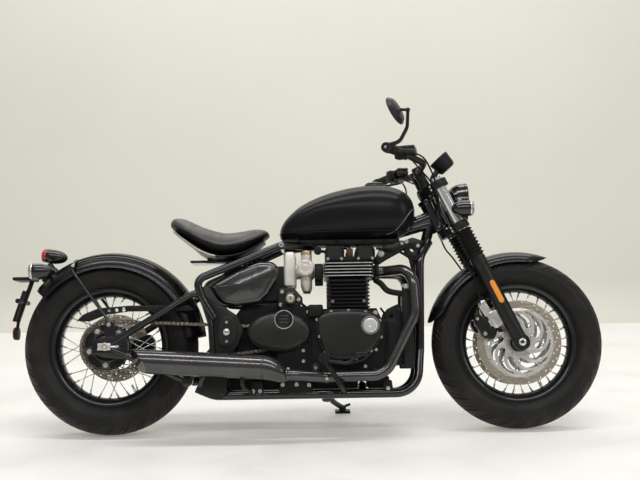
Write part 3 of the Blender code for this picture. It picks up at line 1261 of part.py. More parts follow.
def hand_controls(side):
    """Grip, switch housing, master cylinder and lever of one hand."""
    start = GRIP_START + GRIP_WAY * 0.008
    turn = GRIP_WAY.to_track_quat("Z", "Y").to_matrix().to_4x4()
    bead = GRIP_RADIUS + 0.002
    profile = [
        (0, 0), (GRIP_RADIUS, 0), (GRIP_RADIUS * 0.96, GRIP_LENGTH - 0.0105), (bead, GRIP_LENGTH - 0.0075),
        (bead, GRIP_LENGTH), (0, GRIP_LENGTH),
    ]
    grip = lathe(profile, 8, turn, start)
    housing = block((-0.022, -0.024, -0.036), (0.026, 0.024, -0.001))
    housing = moved(housing, Matrix.Translation(start) @ turn)
    pump_at = GRIP_START + Vector((0.034, -0.034, 0.010))
    pump = block((-0.022, -0.034, -0.014), (0.022, 0.034, 0.018))
    pump = moved(pump, Matrix.Translation(pump_at) @ Matrix.Rotation(math.radians(12), 4, "Z"))
    bends = [
        pump_at + Vector((0.008, 0.010, 0)), start + Vector((0.052, 0.020, -0.004)),
        start + Vector((0.040, 0.070, -0.010)), GRIP_END + Vector((0.040, 0.004, -0.010)),
    ]
    lever = tube(bends, 0.0055)
    ends = pump_at + Vector((-0.01, 0.010, 0)), start + GRIP_WAY * 0.016 + Vector((0.018, 0, 0))
    shape = union(grip, housing, pump, lever, tube(ends, 0.012))
    return shape if side > 0 else mirrored(shape)


def mirror(side):
    """Bar-end mirror. The right one stands up and the left one is turned down level with the bar."""
    turn = Matrix.Rotation(0.0 if side < 0 else math.radians(72), 4, "Y")
    aim = Vector((0, 1, 0)).rotation_difference(GRIP_WAY).to_matrix().to_4x4()
    clamp = drum(GRIP_RADIUS, SEAT_GAP, 0.020, 12)
    bends = [(0.0, 0.011, 0.006), (0.052, 0.013, 0.014), (0.086, 0.024, 0.060), (0.092, 0.030, 0.116)]
    arm = tube(rounded(bends, 0.03), 0.0065)
    ball = tube([(0.092, 0.030, 0.118), (0.066, 0.034, 0.121)], 0.008)
    tip = Matrix.Rotation(math.radians(66 if side < 0 else -6), 4, "Y")
    profile = [
        (0, -0.006), (MIRROR_RADIUS - 0.003, -0.006), (MIRROR_RADIUS, -0.002),
        (MIRROR_RADIUS * 0.8, 0.009), (0, 0.014),
    ]
    glass = lathe(profile, 16, Matrix.Translation((0.050, 0.038, 0.119)) @ tip)
    shape = union(clamp, arm, ball, glass)
    shape.transform(Matrix.Translation(GRIP_END) @ aim @ turn)
    return shape if side > 0 else mirrored(shape)


# Headlamp outline as shares of its radius and depth
HEADLAMP_SHARES = (
    (0, 0), (0.405, 0.023), (0.743, 0.205), (0.919, 0.455),
    (0.973, 0.705), (1, 0.886), (0.811, 0.955), (0, 1),
)


def lamps_and_clock(fork, looks):
    profile = [(HEADLAMP_RADIUS * r, HEADLAMP_DEPTH * s) for r, s in HEADLAMP_SHARES]
    shell = lathe(profile, ROUND, ALONG_X, on_bars(*HEADLAMP_PLACE))
    lower = LOWER_YOKE_S + BRIDGE_HALF
    mount = tube([on_fork(-0.003, 0, lower + 0.0143), on_fork(-0.003, 0, lower + 0.062)], 0.013)
    piece("headlight", union(shell, mount), fork, looks["gloss_black"])
    arms = []
    for side in (-1, 1):
        forward, y, up = FRONT_SIGNAL_PLACE
        way = [
            on_fork(-0.004 + side * 0.001, -side * 0.010, lower + 0.0074),
            on_bars(forward + 0.0252, side * (y - 0.100), up - 0.0444),
            on_bars(forward + 0.0462, side * (y - 0.056), up - 0.0379),
            on_bars(forward + 0.0370, side * (y - 0.014), up - 0.0179),
        ]
        arms.append(tube(rounded(way, 0.02), 0.0062))
        place = on_bars(forward, side * y, up)
        arms.append(bullet(SIGNAL_RADIUS, SIGNAL_LENGTH - 0.004, 0.58, 10, ALONG_X, place))
    foot = block((-0.020, -0.024, lower + SEAT_GAP), (0.011, 0.024, lower + 0.014))
    piece("front_indicators", union(moved(foot, FORK_FRAME), *arms), fork, looks["gloss_black"])
    tilt = Matrix.Rotation(math.radians(-42), 4, "Y")
    profile = [
        (0, -0.055), (CLOCK_RADIUS - 0.011, -0.054), (CLOCK_RADIUS - 0.005, -0.046),
        (CLOCK_RADIUS, -0.004), (CLOCK_RADIUS, 0), (CLOCK_RADIUS - 0.004, 0.002), (0, 0.002),
    ]
    place = on_bars(*CLOCK_PLACE)
    foot = on_bars(0.004, 0, BRIDGE_HALF + SEAT_GAP)
    bends = [place + Vector((0.012, 0, -0.022)), on_bars(0.004, 0, 0.040), foot]
    pod = union(lathe(profile, ROUND, tilt, place), tube(bends, 0.011))
    piece("instrument", pod, fork, looks["black_plastic"])


def steering(fork, looks):
    piece("fork_yokes", yokes(), fork, looks["black_metal"])
    for side, name in ((-1, "right"), (1, "left")):
        piece(f"mirror_{name}", mirror(side), fork, looks["black_metal"])
    bars = union(handlebar(), hand_controls(-1), hand_controls(1))
    piece("handlebar", bars, fork, looks["black_metal"])
    half = FORK_HALF_SPACING + FORK_SLIDER_RADIUS
    head, face = AXLE_RADIUS + 0.004, half + SEAT_GAP
    axle = lathe(
        [(0, -half - 0.006), (head, -half - 0.006), (head, -face), (AXLE_RADIUS, -face),
         (AXLE_RADIUS, face), (head, face), (head, half + 0.006), (0, half + 0.006)],
        centre=FRONT_AXLE,
    )
    piece("front_axle", axle, fork, looks["bright_steel"])


# Side stand
def side_stand(pivot, looks):
    middle = STAND_PIVOT.lerp(STAND_ANKLE, 0.5) + Vector((-0.006, 0, -0.003))
    leg = tube(rounded([STAND_PIVOT, middle, STAND_ANKLE], 0.20), 0.0105, 2)
    aim = STAND_AXIS.to_track_quat("Z", "Y").to_matrix().to_4x4()
    head = drum(STAND_HEAD_RADIUS, -STAND_HEAD_HALF, STAND_HEAD_HALF, 12, aim, STAND_PIVOT)
    bore = drum(STAND_PIN_RADIUS + SPIN_GAP, -0.05, 0.05, ROUND, aim, STAND_PIVOT)
    foot = block((-0.030, -0.022, 0), (0.030, 0.022, STAND_FOOT_THICKNESS))
    foot.transform(Matrix.Translation(STAND_FOOT) @ Matrix.Rotation(LEAN, 4, "X"))
    boot = tube([STAND_FOOT + GROUND_UP * 0.006, STAND_ANKLE + GROUND_UP * 0.006], 0.013, 2)
    piece("side_stand", cut(union(leg, head, foot, boot), bore), pivot, looks["satin_black"])


def main():
    for old in list(bpy.data.objects):
        bpy.data.objects.remove(old)
    looks = {
        "tyre": finish("tyre", (0.030, 0.029, 0.028), 0.80),
        "black_metal": finish("black_metal", (0.020, 0.020, 0.021), 0.42, 0.2),
        "disc_steel": finish("disc_steel", (0.52, 0.49, 0.45), 0.35, 1.0),
        "dark_steel": finish("dark_steel", (0.10, 0.095, 0.085), 0.45, 0.9),
        "bright_steel": finish("bright_steel", (0.62, 0.61, 0.59), 0.30, 1.0),
        "gloss_black": finish("gloss_black", (0.012, 0.012, 0.013), 0.12),
        "satin_black": finish("satin_black", (0.020, 0.020, 0.020), 0.38),
        "matte_black": finish("matte_black", (0.016, 0.016, 0.018), 0.42),
        "black_plastic": finish("black_plastic", (0.022, 0.022, 0.023), 0.50),
        "seat_leather": finish("seat_leather", (0.032, 0.031, 0.030), 0.55),
        "seat_metal": finish("seat_metal", (0.45, 0.44, 0.41), 0.40, 1.0),
        "engine_black": finish("engine_black", (0.015, 0.015, 0.015), 0.48),
        "engine_satin": finish("engine_satin", (0.030, 0.028, 0.027), 0.45, 0.1),
        "carb_metal": finish("carb_metal", (0.55, 0.50, 0.45), 0.38, 0.9),
        "exhaust_satin": finish("exhaust_satin", (0.045, 0.041, 0.040), 0.36, 0.5),
    }
    bike = holder("leaning_bike")
    bike.rotation_euler.x = -LEAN
    bike.location = (-MIDDLE_X, -MIDDLE_Y, 0)
    fork = holder("steering_head", bike, STEM_FOOT)
    front_hub = holder("front_wheel_axis", fork, FRONT_AXLE)
    rear_hub = holder("rear_wheel_axis", bike, REAR_AXLE)
    stand = holder("stand_pivot", bike, STAND_PIVOT)
    wheels(front_hub, rear_hub, looks)
    piece("chain", chain(), bike, looks["dark_steel"])
    frame_pieces(bike, looks)
    mudguards(bike, fork, looks)
    tail(bike, looks)
    seat(bike, looks)
    tank(bike, looks)
    engine(bike, looks)
    intake(bike, looks)
    side_panels(bike, looks)
    exhaust(bike, looks)
    radiator(bike, looks)
    footrests(bike, looks)
    brakes_and_guard(bike, fork, looks)
    steering(fork, looks)
    lamps_and_clock(fork, looks)
    side_stand(stand, looks)


main()
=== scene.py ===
"""Looks of the bobber motorcycle: the finishes and the fine shapes that stand for its CAD pieces.

Lengths are metres. Shapes are made in the bike frame: +X forward, +Y to the rider's left, +Z up,
X = 0 at the rear axle and Z = 0 on the ground line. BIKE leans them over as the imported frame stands.
"""

import json
import math

import bmesh
import bpy
from mathutils import Matrix, Vector
from mathutils.bvhtree import BVHTree


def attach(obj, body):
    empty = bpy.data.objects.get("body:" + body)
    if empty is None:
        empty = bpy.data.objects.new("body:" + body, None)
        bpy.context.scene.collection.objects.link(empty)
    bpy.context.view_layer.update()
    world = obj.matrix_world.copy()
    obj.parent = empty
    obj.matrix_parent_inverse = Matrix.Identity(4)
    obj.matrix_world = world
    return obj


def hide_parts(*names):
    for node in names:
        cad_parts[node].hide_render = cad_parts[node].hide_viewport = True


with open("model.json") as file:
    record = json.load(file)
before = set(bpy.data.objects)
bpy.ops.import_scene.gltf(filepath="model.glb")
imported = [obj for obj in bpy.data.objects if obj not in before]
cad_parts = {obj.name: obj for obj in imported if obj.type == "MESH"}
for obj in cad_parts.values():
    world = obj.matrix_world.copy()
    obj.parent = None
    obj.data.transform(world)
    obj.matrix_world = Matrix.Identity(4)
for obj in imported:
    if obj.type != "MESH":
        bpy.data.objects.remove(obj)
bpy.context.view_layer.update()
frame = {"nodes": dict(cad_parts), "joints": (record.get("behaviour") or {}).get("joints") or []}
JOINTS = {joint["name"]: joint for joint in frame["joints"]}

# The bike frame, worked out from the rear wheel's joint
SPIN_AXIS = Vector(JOINTS["rear_wheel_spin"]["axis"])
LEAN = math.atan2(-SPIN_AXIS.z, SPIN_AXIS.y)
REAR_PLACE = Vector(JOINTS["rear_wheel_spin"]["pos_m"])
REAR_AXLE = Vector((0, 0, REAR_PLACE.z / math.cos(LEAN)))
MIDDLE = Vector((REAR_PLACE.x, REAR_PLACE.y - REAR_AXLE.z * math.sin(LEAN), 0))
BIKE = Matrix.Translation(MIDDLE) @ Matrix.Rotation(-LEAN, 4, "X")
FRONT_AXLE = BIKE.inverted() @ Vector(JOINTS["front_wheel_spin"]["pos_m"])
RAKE = math.radians(25.8)
STEER_AXIS = Vector((-math.sin(RAKE), 0, math.cos(RAKE)))
STEER_FORWARD = Vector((math.cos(RAKE), 0, math.sin(RAKE)))
FORK_FRAME = Matrix.Translation(FRONT_AXLE) @ Matrix.Rotation(-RAKE, 4, "Y")
FORK_OFFSET = 0.0553
FORK_Y = 0.103
LOWER_YOKE, UPPER_YOKE = 0.480, 0.652

ALONG_Y = Matrix.Rotation(math.radians(-90), 4, "X")
ALONG_X = Matrix.Rotation(math.radians(90), 4, "Y")
UPRIGHT = Matrix.Identity(4)


def at(x, y, z):
    return Matrix.Translation((x, y, z))


def on_fork(forward, side, up):
    """A place given from the front axle: forward of the legs, to the left, and up along them."""
    return FRONT_AXLE + STEER_FORWARD * forward + Vector((0, side, 0)) + STEER_AXIS * up


def aimed(way, place=(0, 0, 0)):
    """Turns local Z to the way and moves it to the place."""
    return Matrix.Translation(place) @ Vector(way).to_track_quat("Z", "Y").to_matrix().to_4x4()


# Finishes
class Look:
    """A Principled material and the nodes that give it its detail."""

    all = {}

    def __init__(self, name, colour, roughness, metallic=0.0, **sockets):
        self.material = bpy.data.materials.new(name)
        self.material.use_nodes = True
        self.tree = self.material.node_tree
        self.shader = self.tree.nodes["Principled BSDF"]
        self.shader.inputs["Base Color"].default_value = (*colour, 1)
        self.shader.inputs["Roughness"].default_value = roughness
        self.shader.inputs["Metallic"].default_value = metallic
        for socket, value in sockets.items():
            self.shader.inputs[socket.replace("_", " ")].default_value = value
        self.place = self.node("ShaderNodeTexCoord").outputs["Object"]
        self.height = None
        Look.all[name] = self

    def node(self, kind, settings=(), **inputs):
        made = self.tree.nodes.new(kind)
        for key, value in dict(settings).items():
            setattr(made, key, value)
        for name, value in inputs.items():
            socket = made.inputs[int(name[1:]) if name[1:].isdigit() else name.replace("_", " ")]
            if isinstance(value, bpy.types.NodeSocket):
                self.tree.links.new(value, socket)
            else:
                socket.default_value = value
        return made

    def math(self, operation, first, second=0.0):
        return self.node("ShaderNodeMath", {"operation": operation}, i0=first, i1=second).outputs[0]

    def noise(self, scale, detail=3.0, stretch=(1, 1, 1), at_w=None):
        if at_w is not None:
            made = self.node("ShaderNodeTexNoise", {"noise_dimensions": "1D"}, W=at_w, Scale=scale,
                Detail=detail)
            return made.outputs[0]
        place = self.place
        if stretch != (1, 1, 1):
            place = self.node("ShaderNodeMapping", Vector=place, Scale=stretch).outputs[0]
        return self.node("ShaderNodeTexNoise", Vector=place, Scale=scale, Detail=detail).outputs[0]

    def cells(self, scale, feature="F1"):
        made = self.node("ShaderNodeTexVoronoi", {"feature": feature}, Vector=self.place, Scale=scale)
        return made.outputs["Distance"]

    def spread(self, value, low, high, from_low=0.3, from_high=0.7):
        return self.node(
            "ShaderNodeMapRange", Value=value, From_Min=from_low, From_Max=from_high, To_Min=low, To_Max=high
        ).outputs[0]

    def tint(self, value, *colours):
        """Colours spread evenly over the value, from 0.3 to 0.7, on the base colour."""
        ramp = self.node("ShaderNodeValToRGB", Fac=value)
        stops = ramp.color_ramp.elements
        for number, colour in enumerate(colours):
            share = 0.3 + 0.4 * number / (len(colours) - 1)
            stop = stops[number] if number < 2 else stops.new(share)
            stop.position = share
            stop.color = (*colour, 1)
        self.tree.links.new(ramp.outputs[0], self.shader.inputs["Base Color"])
        return self

    def blend(self, value, colour):
        """Blends the base colour towards another one where the value is 1."""
        target = self.shader.inputs["Base Color"]
        base = target.links[0].from_socket
        mix = self.node("ShaderNodeMix", {"data_type": "RGBA"}, i0=value, i6=base, i7=(*colour, 1))
        self.tree.links.new(mix.outputs[2], target)
        return self

    def rough(self, value, low, high, from_low=0.3, from_high=0.7):
        spread = self.spread(value, low, high, from_low, from_high)
        self.tree.links.new(spread, self.shader.inputs["Roughness"])
        return self

    def bump(self, value, depth, strength=1.0):
        inputs = {"Strength": strength, "Distance": depth, "Height": value}
        if self.height is not None:
            inputs["Normal"] = self.height
        self.height = self.node("ShaderNodeBump", **inputs).outputs[0]
        self.tree.links.new(self.height, self.shader.inputs["Normal"])
        return self

    def glow(self, colour, strength):
        """Light that only the camera, reflections and glass see."""
        path = self.node("ShaderNodeLightPath").outputs
        seen = self.math("MAXIMUM", path["Is Glossy Ray"], path["Is Transmission Ray"])
        seen = self.math("MAXIMUM", path["Is Camera Ray"], seen)
        self.shader.inputs["Emission Color"].default_value = (*colour, 1)
        self.tree.links.new(self.math("MULTIPLY", seen, strength), self.shader.inputs["Emission Strength"])

    def one_sided(self):
        """A wall that is only there from inside the room."""
        end = self.tree.nodes["Material Output"].inputs["Surface"]
        clear = self.node("ShaderNodeBsdfTransparent").outputs[0]
        back = self.node("ShaderNodeNewGeometry").outputs["Backfacing"]
        self.tree.links.new(self.node("ShaderNodeMixShader", i0=back, i1=self.shader.outputs[0],
            i2=clear).outputs[0], end)

    def from_axis(self, centre, axis):
        """Distance from a line through the centre along the axis, in the world."""
        away = self.node(
            "ShaderNodeVectorMath", {"operation": "SUBTRACT"}, i0=self.place, i1=tuple(centre)
        ).outputs[0]
        along = self.node("ShaderNodeVectorMath", {"operation": "PROJECT"}, i0=away,
            i1=tuple(axis)).outputs[0]
        flat = self.node("ShaderNodeVectorMath", {"operation": "SUBTRACT"}, i0=away, i1=along).outputs[0]
        return self.node("ShaderNodeVectorMath", {"operation": "LENGTH"}, i0=flat).outputs["Value"]


def shade(colour, factor):
    return tuple(min(1.0, part * factor) for part in colour)


def painted(name, colour, roughness, coat=0.0, grain=0.00001, worn=1.0, **sockets):
    """Paint with an orange-peel skin, a little dust in patches that worn makes paler, and roughness that changes
    in patches.
    """
    look = Look(name, colour, roughness, Coat_Weight=coat, Coat_Roughness=0.06, **sockets)
    patches = look.noise(9, 5)
    look.tint(patches, shade(colour, 0.8), colour, shade(colour, 1.0 + 0.35 * worn))
    look.rough(look.noise(26, 3), roughness * 0.93, roughness * 1.10)
    look.bump(look.noise(650, 2), grain)
    return look


def metal(name, colour, roughness, stretch=(1, 1, 1), fine=500, grain=0.000005, spots=0.25, pure=1.0):
    """Bare metal with fine machining lines or a satin skin. A cast or brushed one is less than pure."""
    look = Look(name, colour, roughness, pure)
    look.tint(look.noise(30, 6), shade(colour, 1 - spots), colour, shade(colour, 1 + spots * 0.4))
    lines = look.noise(fine, 4, stretch)
    look.rough(lines, roughness * 0.90, roughness * 1.14)
    look.bump(lines, grain)
    return look


def rubber(name, colour, roughness=0.62):
    look = Look(name, colour, roughness, Specular_IOR_Level=0.24)
    look.tint(look.noise(14, 6), shade(colour, 0.75), colour, shade(colour, 1.5))
    look.rough(look.noise(40, 5), roughness - 0.08, roughness + 0.12)
    look.bump(look.noise(900, 3), 0.00006)
    return look


def tyre_rubber(name, centre):
    """Rubber with moulded rings on its side walls and a paler, browner band over the tread that is painted sheen.
    """
    colour = (0.014, 0.013, 0.0125)
    look = Look(name, colour, 0.50, Specular_IOR_Level=0.24)
    distance = look.from_axis(centre, SPIN_AXIS)
    look.tint(look.noise(11, 7), shade(colour, 0.72), colour, (0.024, 0.0215, 0.020))
    # Painted sheen: the tread band is blended towards a paler brown-grey.
    look.blend(look.spread(distance, 0.0, 0.32, 0.285, 0.318), (0.050, 0.042, 0.039))
    look.rough(look.noise(34, 6), 0.40, 0.60)
    look.bump(look.noise(1400, 2, at_w=distance), 0.00010)
    look.bump(look.noise(700, 3), 0.00007)
    return look


def disc_steel(name, centre, band_start):
    """Ground steel whose swept band is darker and warmer than its carrier, with ring marks."""
    look = Look(name, (0.70, 0.68, 0.65), 0.34, 0.55)
    distance = look.from_axis(centre, SPIN_AXIS)
    lines = look.noise(2600, 3, at_w=distance)
    look.tint(look.noise(40, 5), (0.60, 0.57, 0.54), (0.74, 0.71, 0.68))
    look.blend(look.spread(distance, 0.0, 0.88, band_start - 0.001, band_start + 0.001),
        (0.36, 0.305, 0.235))
    look.rough(lines, 0.24, 0.46)
    look.bump(lines, 0.00003)
    return look


def chain_steel():
    look = Look("chain_steel", (0.16, 0.135, 0.10), 0.42, 0.85)
    look.tint(look.noise(120, 6), (0.045, 0.038, 0.030), (0.15, 0.125, 0.093), (0.36, 0.31, 0.24))
    look.rough(look.noise(300, 4), 0.30, 0.62)
    look.bump(look.noise(1200, 3), 0.00006)


def leather(name, colour, shine):
    look = Look(name, colour, 0.46, Specular_IOR_Level=shine)
    look.tint(look.noise(13, 6), shade(colour, 0.7), colour, shade(colour, 1.5))
    look.rough(look.noise(60, 5), 0.36, 0.56)
    look.bump(look.cells(520, "SMOOTH_F1"), 0.00035, 0.7)
    look.bump(look.noise(70, 5), 0.0010, 0.35)


def lens(name, colour, ribs, tinted):
    """A moulded lens with ribs inside its clear face."""
    look = Look(name, colour, 0.08, Coat_Weight=0.6, IOR=1.49, Transmission_Weight=tinted)
    look.bump(look.cells(ribs, "F1"), 0.0008, 0.6)
    look.rough(look.noise(90, 3), 0.04, 0.14)
    return look


def finishes():
    tyre_rubber("front_tyre_rubber", JOINTS["front_wheel_spin"]["pos_m"])
    tyre_rubber("rear_tyre_rubber", JOINTS["rear_wheel_spin"]["pos_m"])
    disc_steel("front_disc_steel", JOINTS["front_wheel_spin"]["pos_m"], 0.1275)
    disc_steel("rear_disc_steel", JOINTS["rear_wheel_spin"]["pos_m"], 0.090)
    chain_steel()
    # The seat's top leather is a lighter grey than the black skirt leather below the seam: painted sheen on the
    # top of a black seat.
    leather("seat_leather", (0.066, 0.062, 0.060), 0.6)
    leather("seat_skirt", (0.008, 0.0078, 0.0076), 0.2)
    painted("gloss_black", (0.006, 0.006, 0.0065), 0.17, 0.35, 0.000003)
    painted("rim_black", (0.007, 0.007, 0.008), 0.24, 0.3, 0.000003)
    painted("satin_black", (0.008, 0.0078, 0.0078), 0.38, 0.0, 0.00002, Specular_IOR_Level=0.34)
    painted("tank_black", (0.0078, 0.0078, 0.0082), 0.31, 0.0, 0.000004, 0.6, Specular_IOR_Level=0.17)
    painted("cover_black", (0.008, 0.0078, 0.0078), 0.25, 0.25, 0.000002, 0.6, Specular_IOR_Level=0.95)
    painted("fender_black", (0.006, 0.006, 0.0066), 0.26, 0.0, 0.000003, 0.6, Specular_IOR_Level=0.36)
    painted("edge_grey", (0.17, 0.165, 0.16), 0.30, 0.2, 0.000005)
    painted("case_black", (0.011, 0.0102, 0.0098), 0.44, 0.0, 0.00006, Specular_IOR_Level=0.32)
    painted("engine_satin", (0.016, 0.0150, 0.0145), 0.31, 0.0, 0.000015, Specular_IOR_Level=0.42)
    painted("cast_black", (0.006, 0.0058, 0.0056), 0.55, 0.0, 0.00015, Specular_IOR_Level=0.22)
    painted("exhaust_black", (0.070, 0.067, 0.067), 0.23, 0.6, 0.000001, 0.6, Metallic=0.75)
    painted("plastic_black", (0.010, 0.010, 0.010), 0.50, 0.0, 0.00006, Specular_IOR_Level=0.25)
    rubber("rubber_black", (0.009, 0.0088, 0.0086))
    metal("steel_bright", (0.76, 0.75, 0.73), 0.24, pure=0.70)
    metal("spoke_steel", (0.66, 0.65, 0.63), 0.24, pure=0.8)
    metal("fork_chrome", (0.78, 0.78, 0.77), 0.14, fine=900, grain=0.000002, spots=0.1, pure=0.8)
    metal("seat_alloy", (0.50, 0.48, 0.44), 0.40, (0.12, 1, 1), 1500, 0.00001, 0.12)
    metal("fin_bright", (0.70, 0.69, 0.67), 0.28, (0.08, 1, 1), 1800, 0.00001, pure=0.65)
    metal("carb_alloy", (0.74, 0.68, 0.62), 0.42, fine=700, grain=0.00003, spots=0.15, pure=0.45)
    metal("clamp_alloy", (0.80, 0.77, 0.72), 0.36, fine=700, grain=0.00002, spots=0.12, pure=0.4)
    metal("alloy_turned", (0.80, 0.79, 0.77), 0.30, fine=1500, grain=0.0000004, spots=0.05, pure=0.6)
    metal("brass", (0.62, 0.42, 0.19), 0.34, pure=0.8)
    metal("dark_steel", (0.085, 0.080, 0.074), 0.42)
    metal("radiator_core", (0.030, 0.030, 0.030), 0.5, (1, 1, 30), 300, 0.0004)
    painted("red_brown", (0.085, 0.022, 0.011), 0.55, 0.0, 0.0001)
    lens("lens_clear", (0.86, 0.87, 0.86), 260, 0.75)
    lens("lens_red", (0.62, 0.022, 0.018), 330, 0.25)
    lens("lens_amber", (0.92, 0.33, 0.025), 700, 0.0)
    lens("clock_glass", (0.03, 0.032, 0.035), 20, 0.0)
    metal("mirror_glass", (0.80, 0.82, 0.83), 0.03, (1, 1, 1), 60, 0.000002, 0.02)


# Shapes
def outlined(shape, points, closed=True):
    """A line of new edges through the points."""
    made = [shape.verts.new(point) for point in points]
    pairs = list(zip(made, made[1:])) + ([(made[-1], made[0])] if closed else [])
    return [shape.edges.new(pair) for pair in pairs]


def capped(shape, edges, tip=None):
    """Fills a closed line of edges, with its faces meeting at the tip if one is given."""
    face = bmesh.ops.contextual_create(shape, geom=edges)["faces"][0]
    if tip is not None:
        bmesh.ops.poke(shape, faces=[face])["verts"][0].co = tip


def loft(sections, caps=True, loop=False, tip=None):
    """Bridges closed sections in turn."""
    shape = bmesh.new()
    lines = [outlined(shape, section) for section in sections]
    for before, after in zip(lines, lines[1:] + (lines[:1] if loop else [])):
        bmesh.ops.bridge_loops(shape, edges=before + after)
    if caps and not loop:
        capped(shape, lines[0])
        capped(shape, lines[-1], tip)
    return shape


def raised(points, rise):
    """A flat outline extruded into a solid."""
    shape = bmesh.new()
    face = shape.faces.new([shape.verts.new(point) for point in points])
    grown = bmesh.ops.extrude_face_region(shape, geom=[face])["geom"]
    bmesh.ops.translate(shape, vec=rise, verts=[part for part in grown if isinstance(part,
        bmesh.types.BMVert)])
    return shape


def lathe(profile, sides=48, place=UPRIGHT, closed=False):
    """Spins (radius, along) points about local Z. An open profile may start and end on the axis."""
    shape = bmesh.new()
    outlined(shape, [(radius, 0, along) for radius, along in profile], closed)
    bmesh.ops.spin(
        shape, geom=shape.verts[:] + shape.edges[:], cent=(0, 0, 0), axis=(0, 0, 1), angle=2 * math.pi,
        steps=sides, use_merge=True,
    )
    bmesh.ops.remove_doubles(shape, verts=shape.verts, dist=1e-6)
    shape.transform(place)
    return shape


def soft(profile, radius=0.002, steps=3):
    """The profile with its inner corners rounded."""
    path = rounded([(r, 0, s) for r, s in profile], radius, steps)
    return [(max(0.0, p.x), p.z) for p in path]


def drum(radius, low, high, edge=0.001, sides=32, place=UPRIGHT):
    return lathe(soft([(0, low), (radius, low), (radius, high), (0, high)], edge, 2), sides, place)


def ring(inner, outer, low, high, edge=0.0008, sides=64, place=UPRIGHT):
    e = edge
    profile = [
        (inner + e, low), (outer - e, low), (outer, low + e), (outer, high - e),
        (outer - e, high), (inner + e, high), (inner, high - e), (inner, low + e),
    ]
    return lathe(profile, sides, place, closed=True)


def rounded(corners, radius, steps=8):
    """A path through the corners, each one rounded to the radius by an arc."""
    corners = [Vector(c) for c in corners]
    path = [corners[0]]
    for before, corner, after in zip(corners, corners[1:], corners[2:]):
        to_before, to_after = (before - corner).normalized(), (after - corner).normalized()
        half = to_before.angle(to_after, math.pi) / 2
        if half > math.radians(89.5) or half < math.radians(0.5):
            path.append(corner)
            continue
        reach = min(radius / math.tan(half), 0.49 * (before - corner).length,
            0.49 * (after - corner).length)
        bend = reach * math.tan(half)
        middle = corner + (to_before + to_after).normalized() * (bend / math.sin(half))
        start, end = corner + to_before * reach - middle, corner + to_after * reach - middle
        for step in range(steps + 1):
            path.append(middle + start.slerp(end, step / steps, start) * start.length)
    path.append(corners[-1])
    return path


def flowing(points, steps=8):
    """A smooth path through the points."""
    points = [Vector(p) for p in points]
    padded = [points[0] * 2 - points[1], *points, points[-1] * 2 - points[-2]]
    path = []
    for a, b, c, d in zip(padded, padded[1:], padded[2:], padded[3:]):
        for step in range(steps):
            t = step / steps
            path.append(
                0.5 * (2 * b + (c - a) * t + (2 * a - 5 * b + 4 * c - d) * t**2 + (3 * b - a - 3 * c + d) * t**3)
            )
    return [*path, points[-1]]


def sweep(path, radius, sides=16, closed=False):
    """A round bar along the path, grown from a circle ring by ring. The radius may change on the way."""
    path = [Vector(point) for point in path]
    radii = list(radius) if isinstance(radius, (list, tuple)) else [radius] * len(path)
    shape, normal, last = bmesh.new(), None, UPRIGHT
    bmesh.ops.create_circle(shape, segments=sides, radius=1)
    start = edges = shape.edges[:]
    for number, place in enumerate(path):
        before = path[number - 1] if number or closed else place
        after = path[(number + 1) % len(path)] if number + 1 < len(path) or closed else place
        way = (after - before).normalized()
        normal = normal or (Vector((0, 1, 0)) if abs(way.y) < 0.9 else Vector((1, 0, 0)))
        normal = (normal - way * normal.dot(way)).normalized()
        turn = Matrix((normal, way.cross(normal), way)).transposed().to_4x4()
        here = Matrix.Translation(place) @ turn @ Matrix.Scale(radii[number], 4)
        points = shape.verts[:]
        if number:
            grown = bmesh.ops.extrude_edge_only(shape, edges=edges)["geom"]
            edges = [part for part in grown if isinstance(part, bmesh.types.BMEdge)]
            points = [part for part in grown if isinstance(part, bmesh.types.BMVert)]
        bmesh.ops.transform(shape, matrix=here @ last.inverted(), verts=points)
        last = here
    if closed:
        bmesh.ops.bridge_loops(shape, edges=start + edges)
    else:
        capped(shape, start)
        capped(shape, edges)
    return shape


def hose(points, radius, sides=10, steps=8):
    return sweep(flowing(points, steps), radius, sides)


def bar(corners, radius, bend=0.05, sides=20, steps=10):
    return sweep(rounded(corners, bend, steps), radius, sides)


def box(low, high, edge=0.002, steps=2, place=UPRIGHT):
    """A block between two corners with rounded edges."""
    shape = bmesh.new()
    bmesh.ops.create_cube(shape, size=1)
    low, high = Vector(low), Vector(high)
    shape.transform(Matrix.Translation((low + high) / 2) @ Matrix.Diagonal((*(high - low), 1)))
    bmesh.ops.bevel(shape, geom=shape.edges, offset=edge, affect="EDGES", segments=steps, profile=0.5)
    shape.transform(place)
    return shape


def plate(outlines, low, high, edge=0.0005):
    """Outlines of (x, z) points, a rim and then its holes, made solid from y = low to y = high."""
    line = bpy.data.curves.new("plate", "CURVE")
    line.dimensions = "2D"
    line.fill_mode = "BOTH"
    line.extrude = abs(high - low) / 2 - edge
    line.bevel_depth = edge
    line.bevel_resolution = 1
    line.offset = -edge
    for outline in outlines:
        spline = line.splines.new("POLY")
        spline.points.add(len(outline) - 1)
        for point, place in zip(spline.points, outline):
            point.co = (place[0], place[-1], 0, 1)
        spline.use_cyclic_u = True
    holder = bpy.data.objects.new("plate", line)
    bpy.context.collection.objects.link(holder)
    mesh = bpy.data.meshes.new_from_object(holder.evaluated_get(bpy.context.evaluated_depsgraph_get()))
    bpy.data.objects.remove(holder)
    shape = bmesh.new()
    shape.from_mesh(mesh)
    bmesh.ops.remove_doubles(shape, verts=shape.verts, dist=1e-6)
    shape.transform(at(0, (low + high) / 2, 0) @ Matrix.Rotation(math.radians(90), 4, "X"))
    return shape


def circle(x, z, radius, sides=16, turn=0.0):
    angles = [turn + 2 * math.pi * i / sides for i in range(sides)]
    return [(x + radius * math.cos(a), z + radius * math.sin(a)) for a in angles]


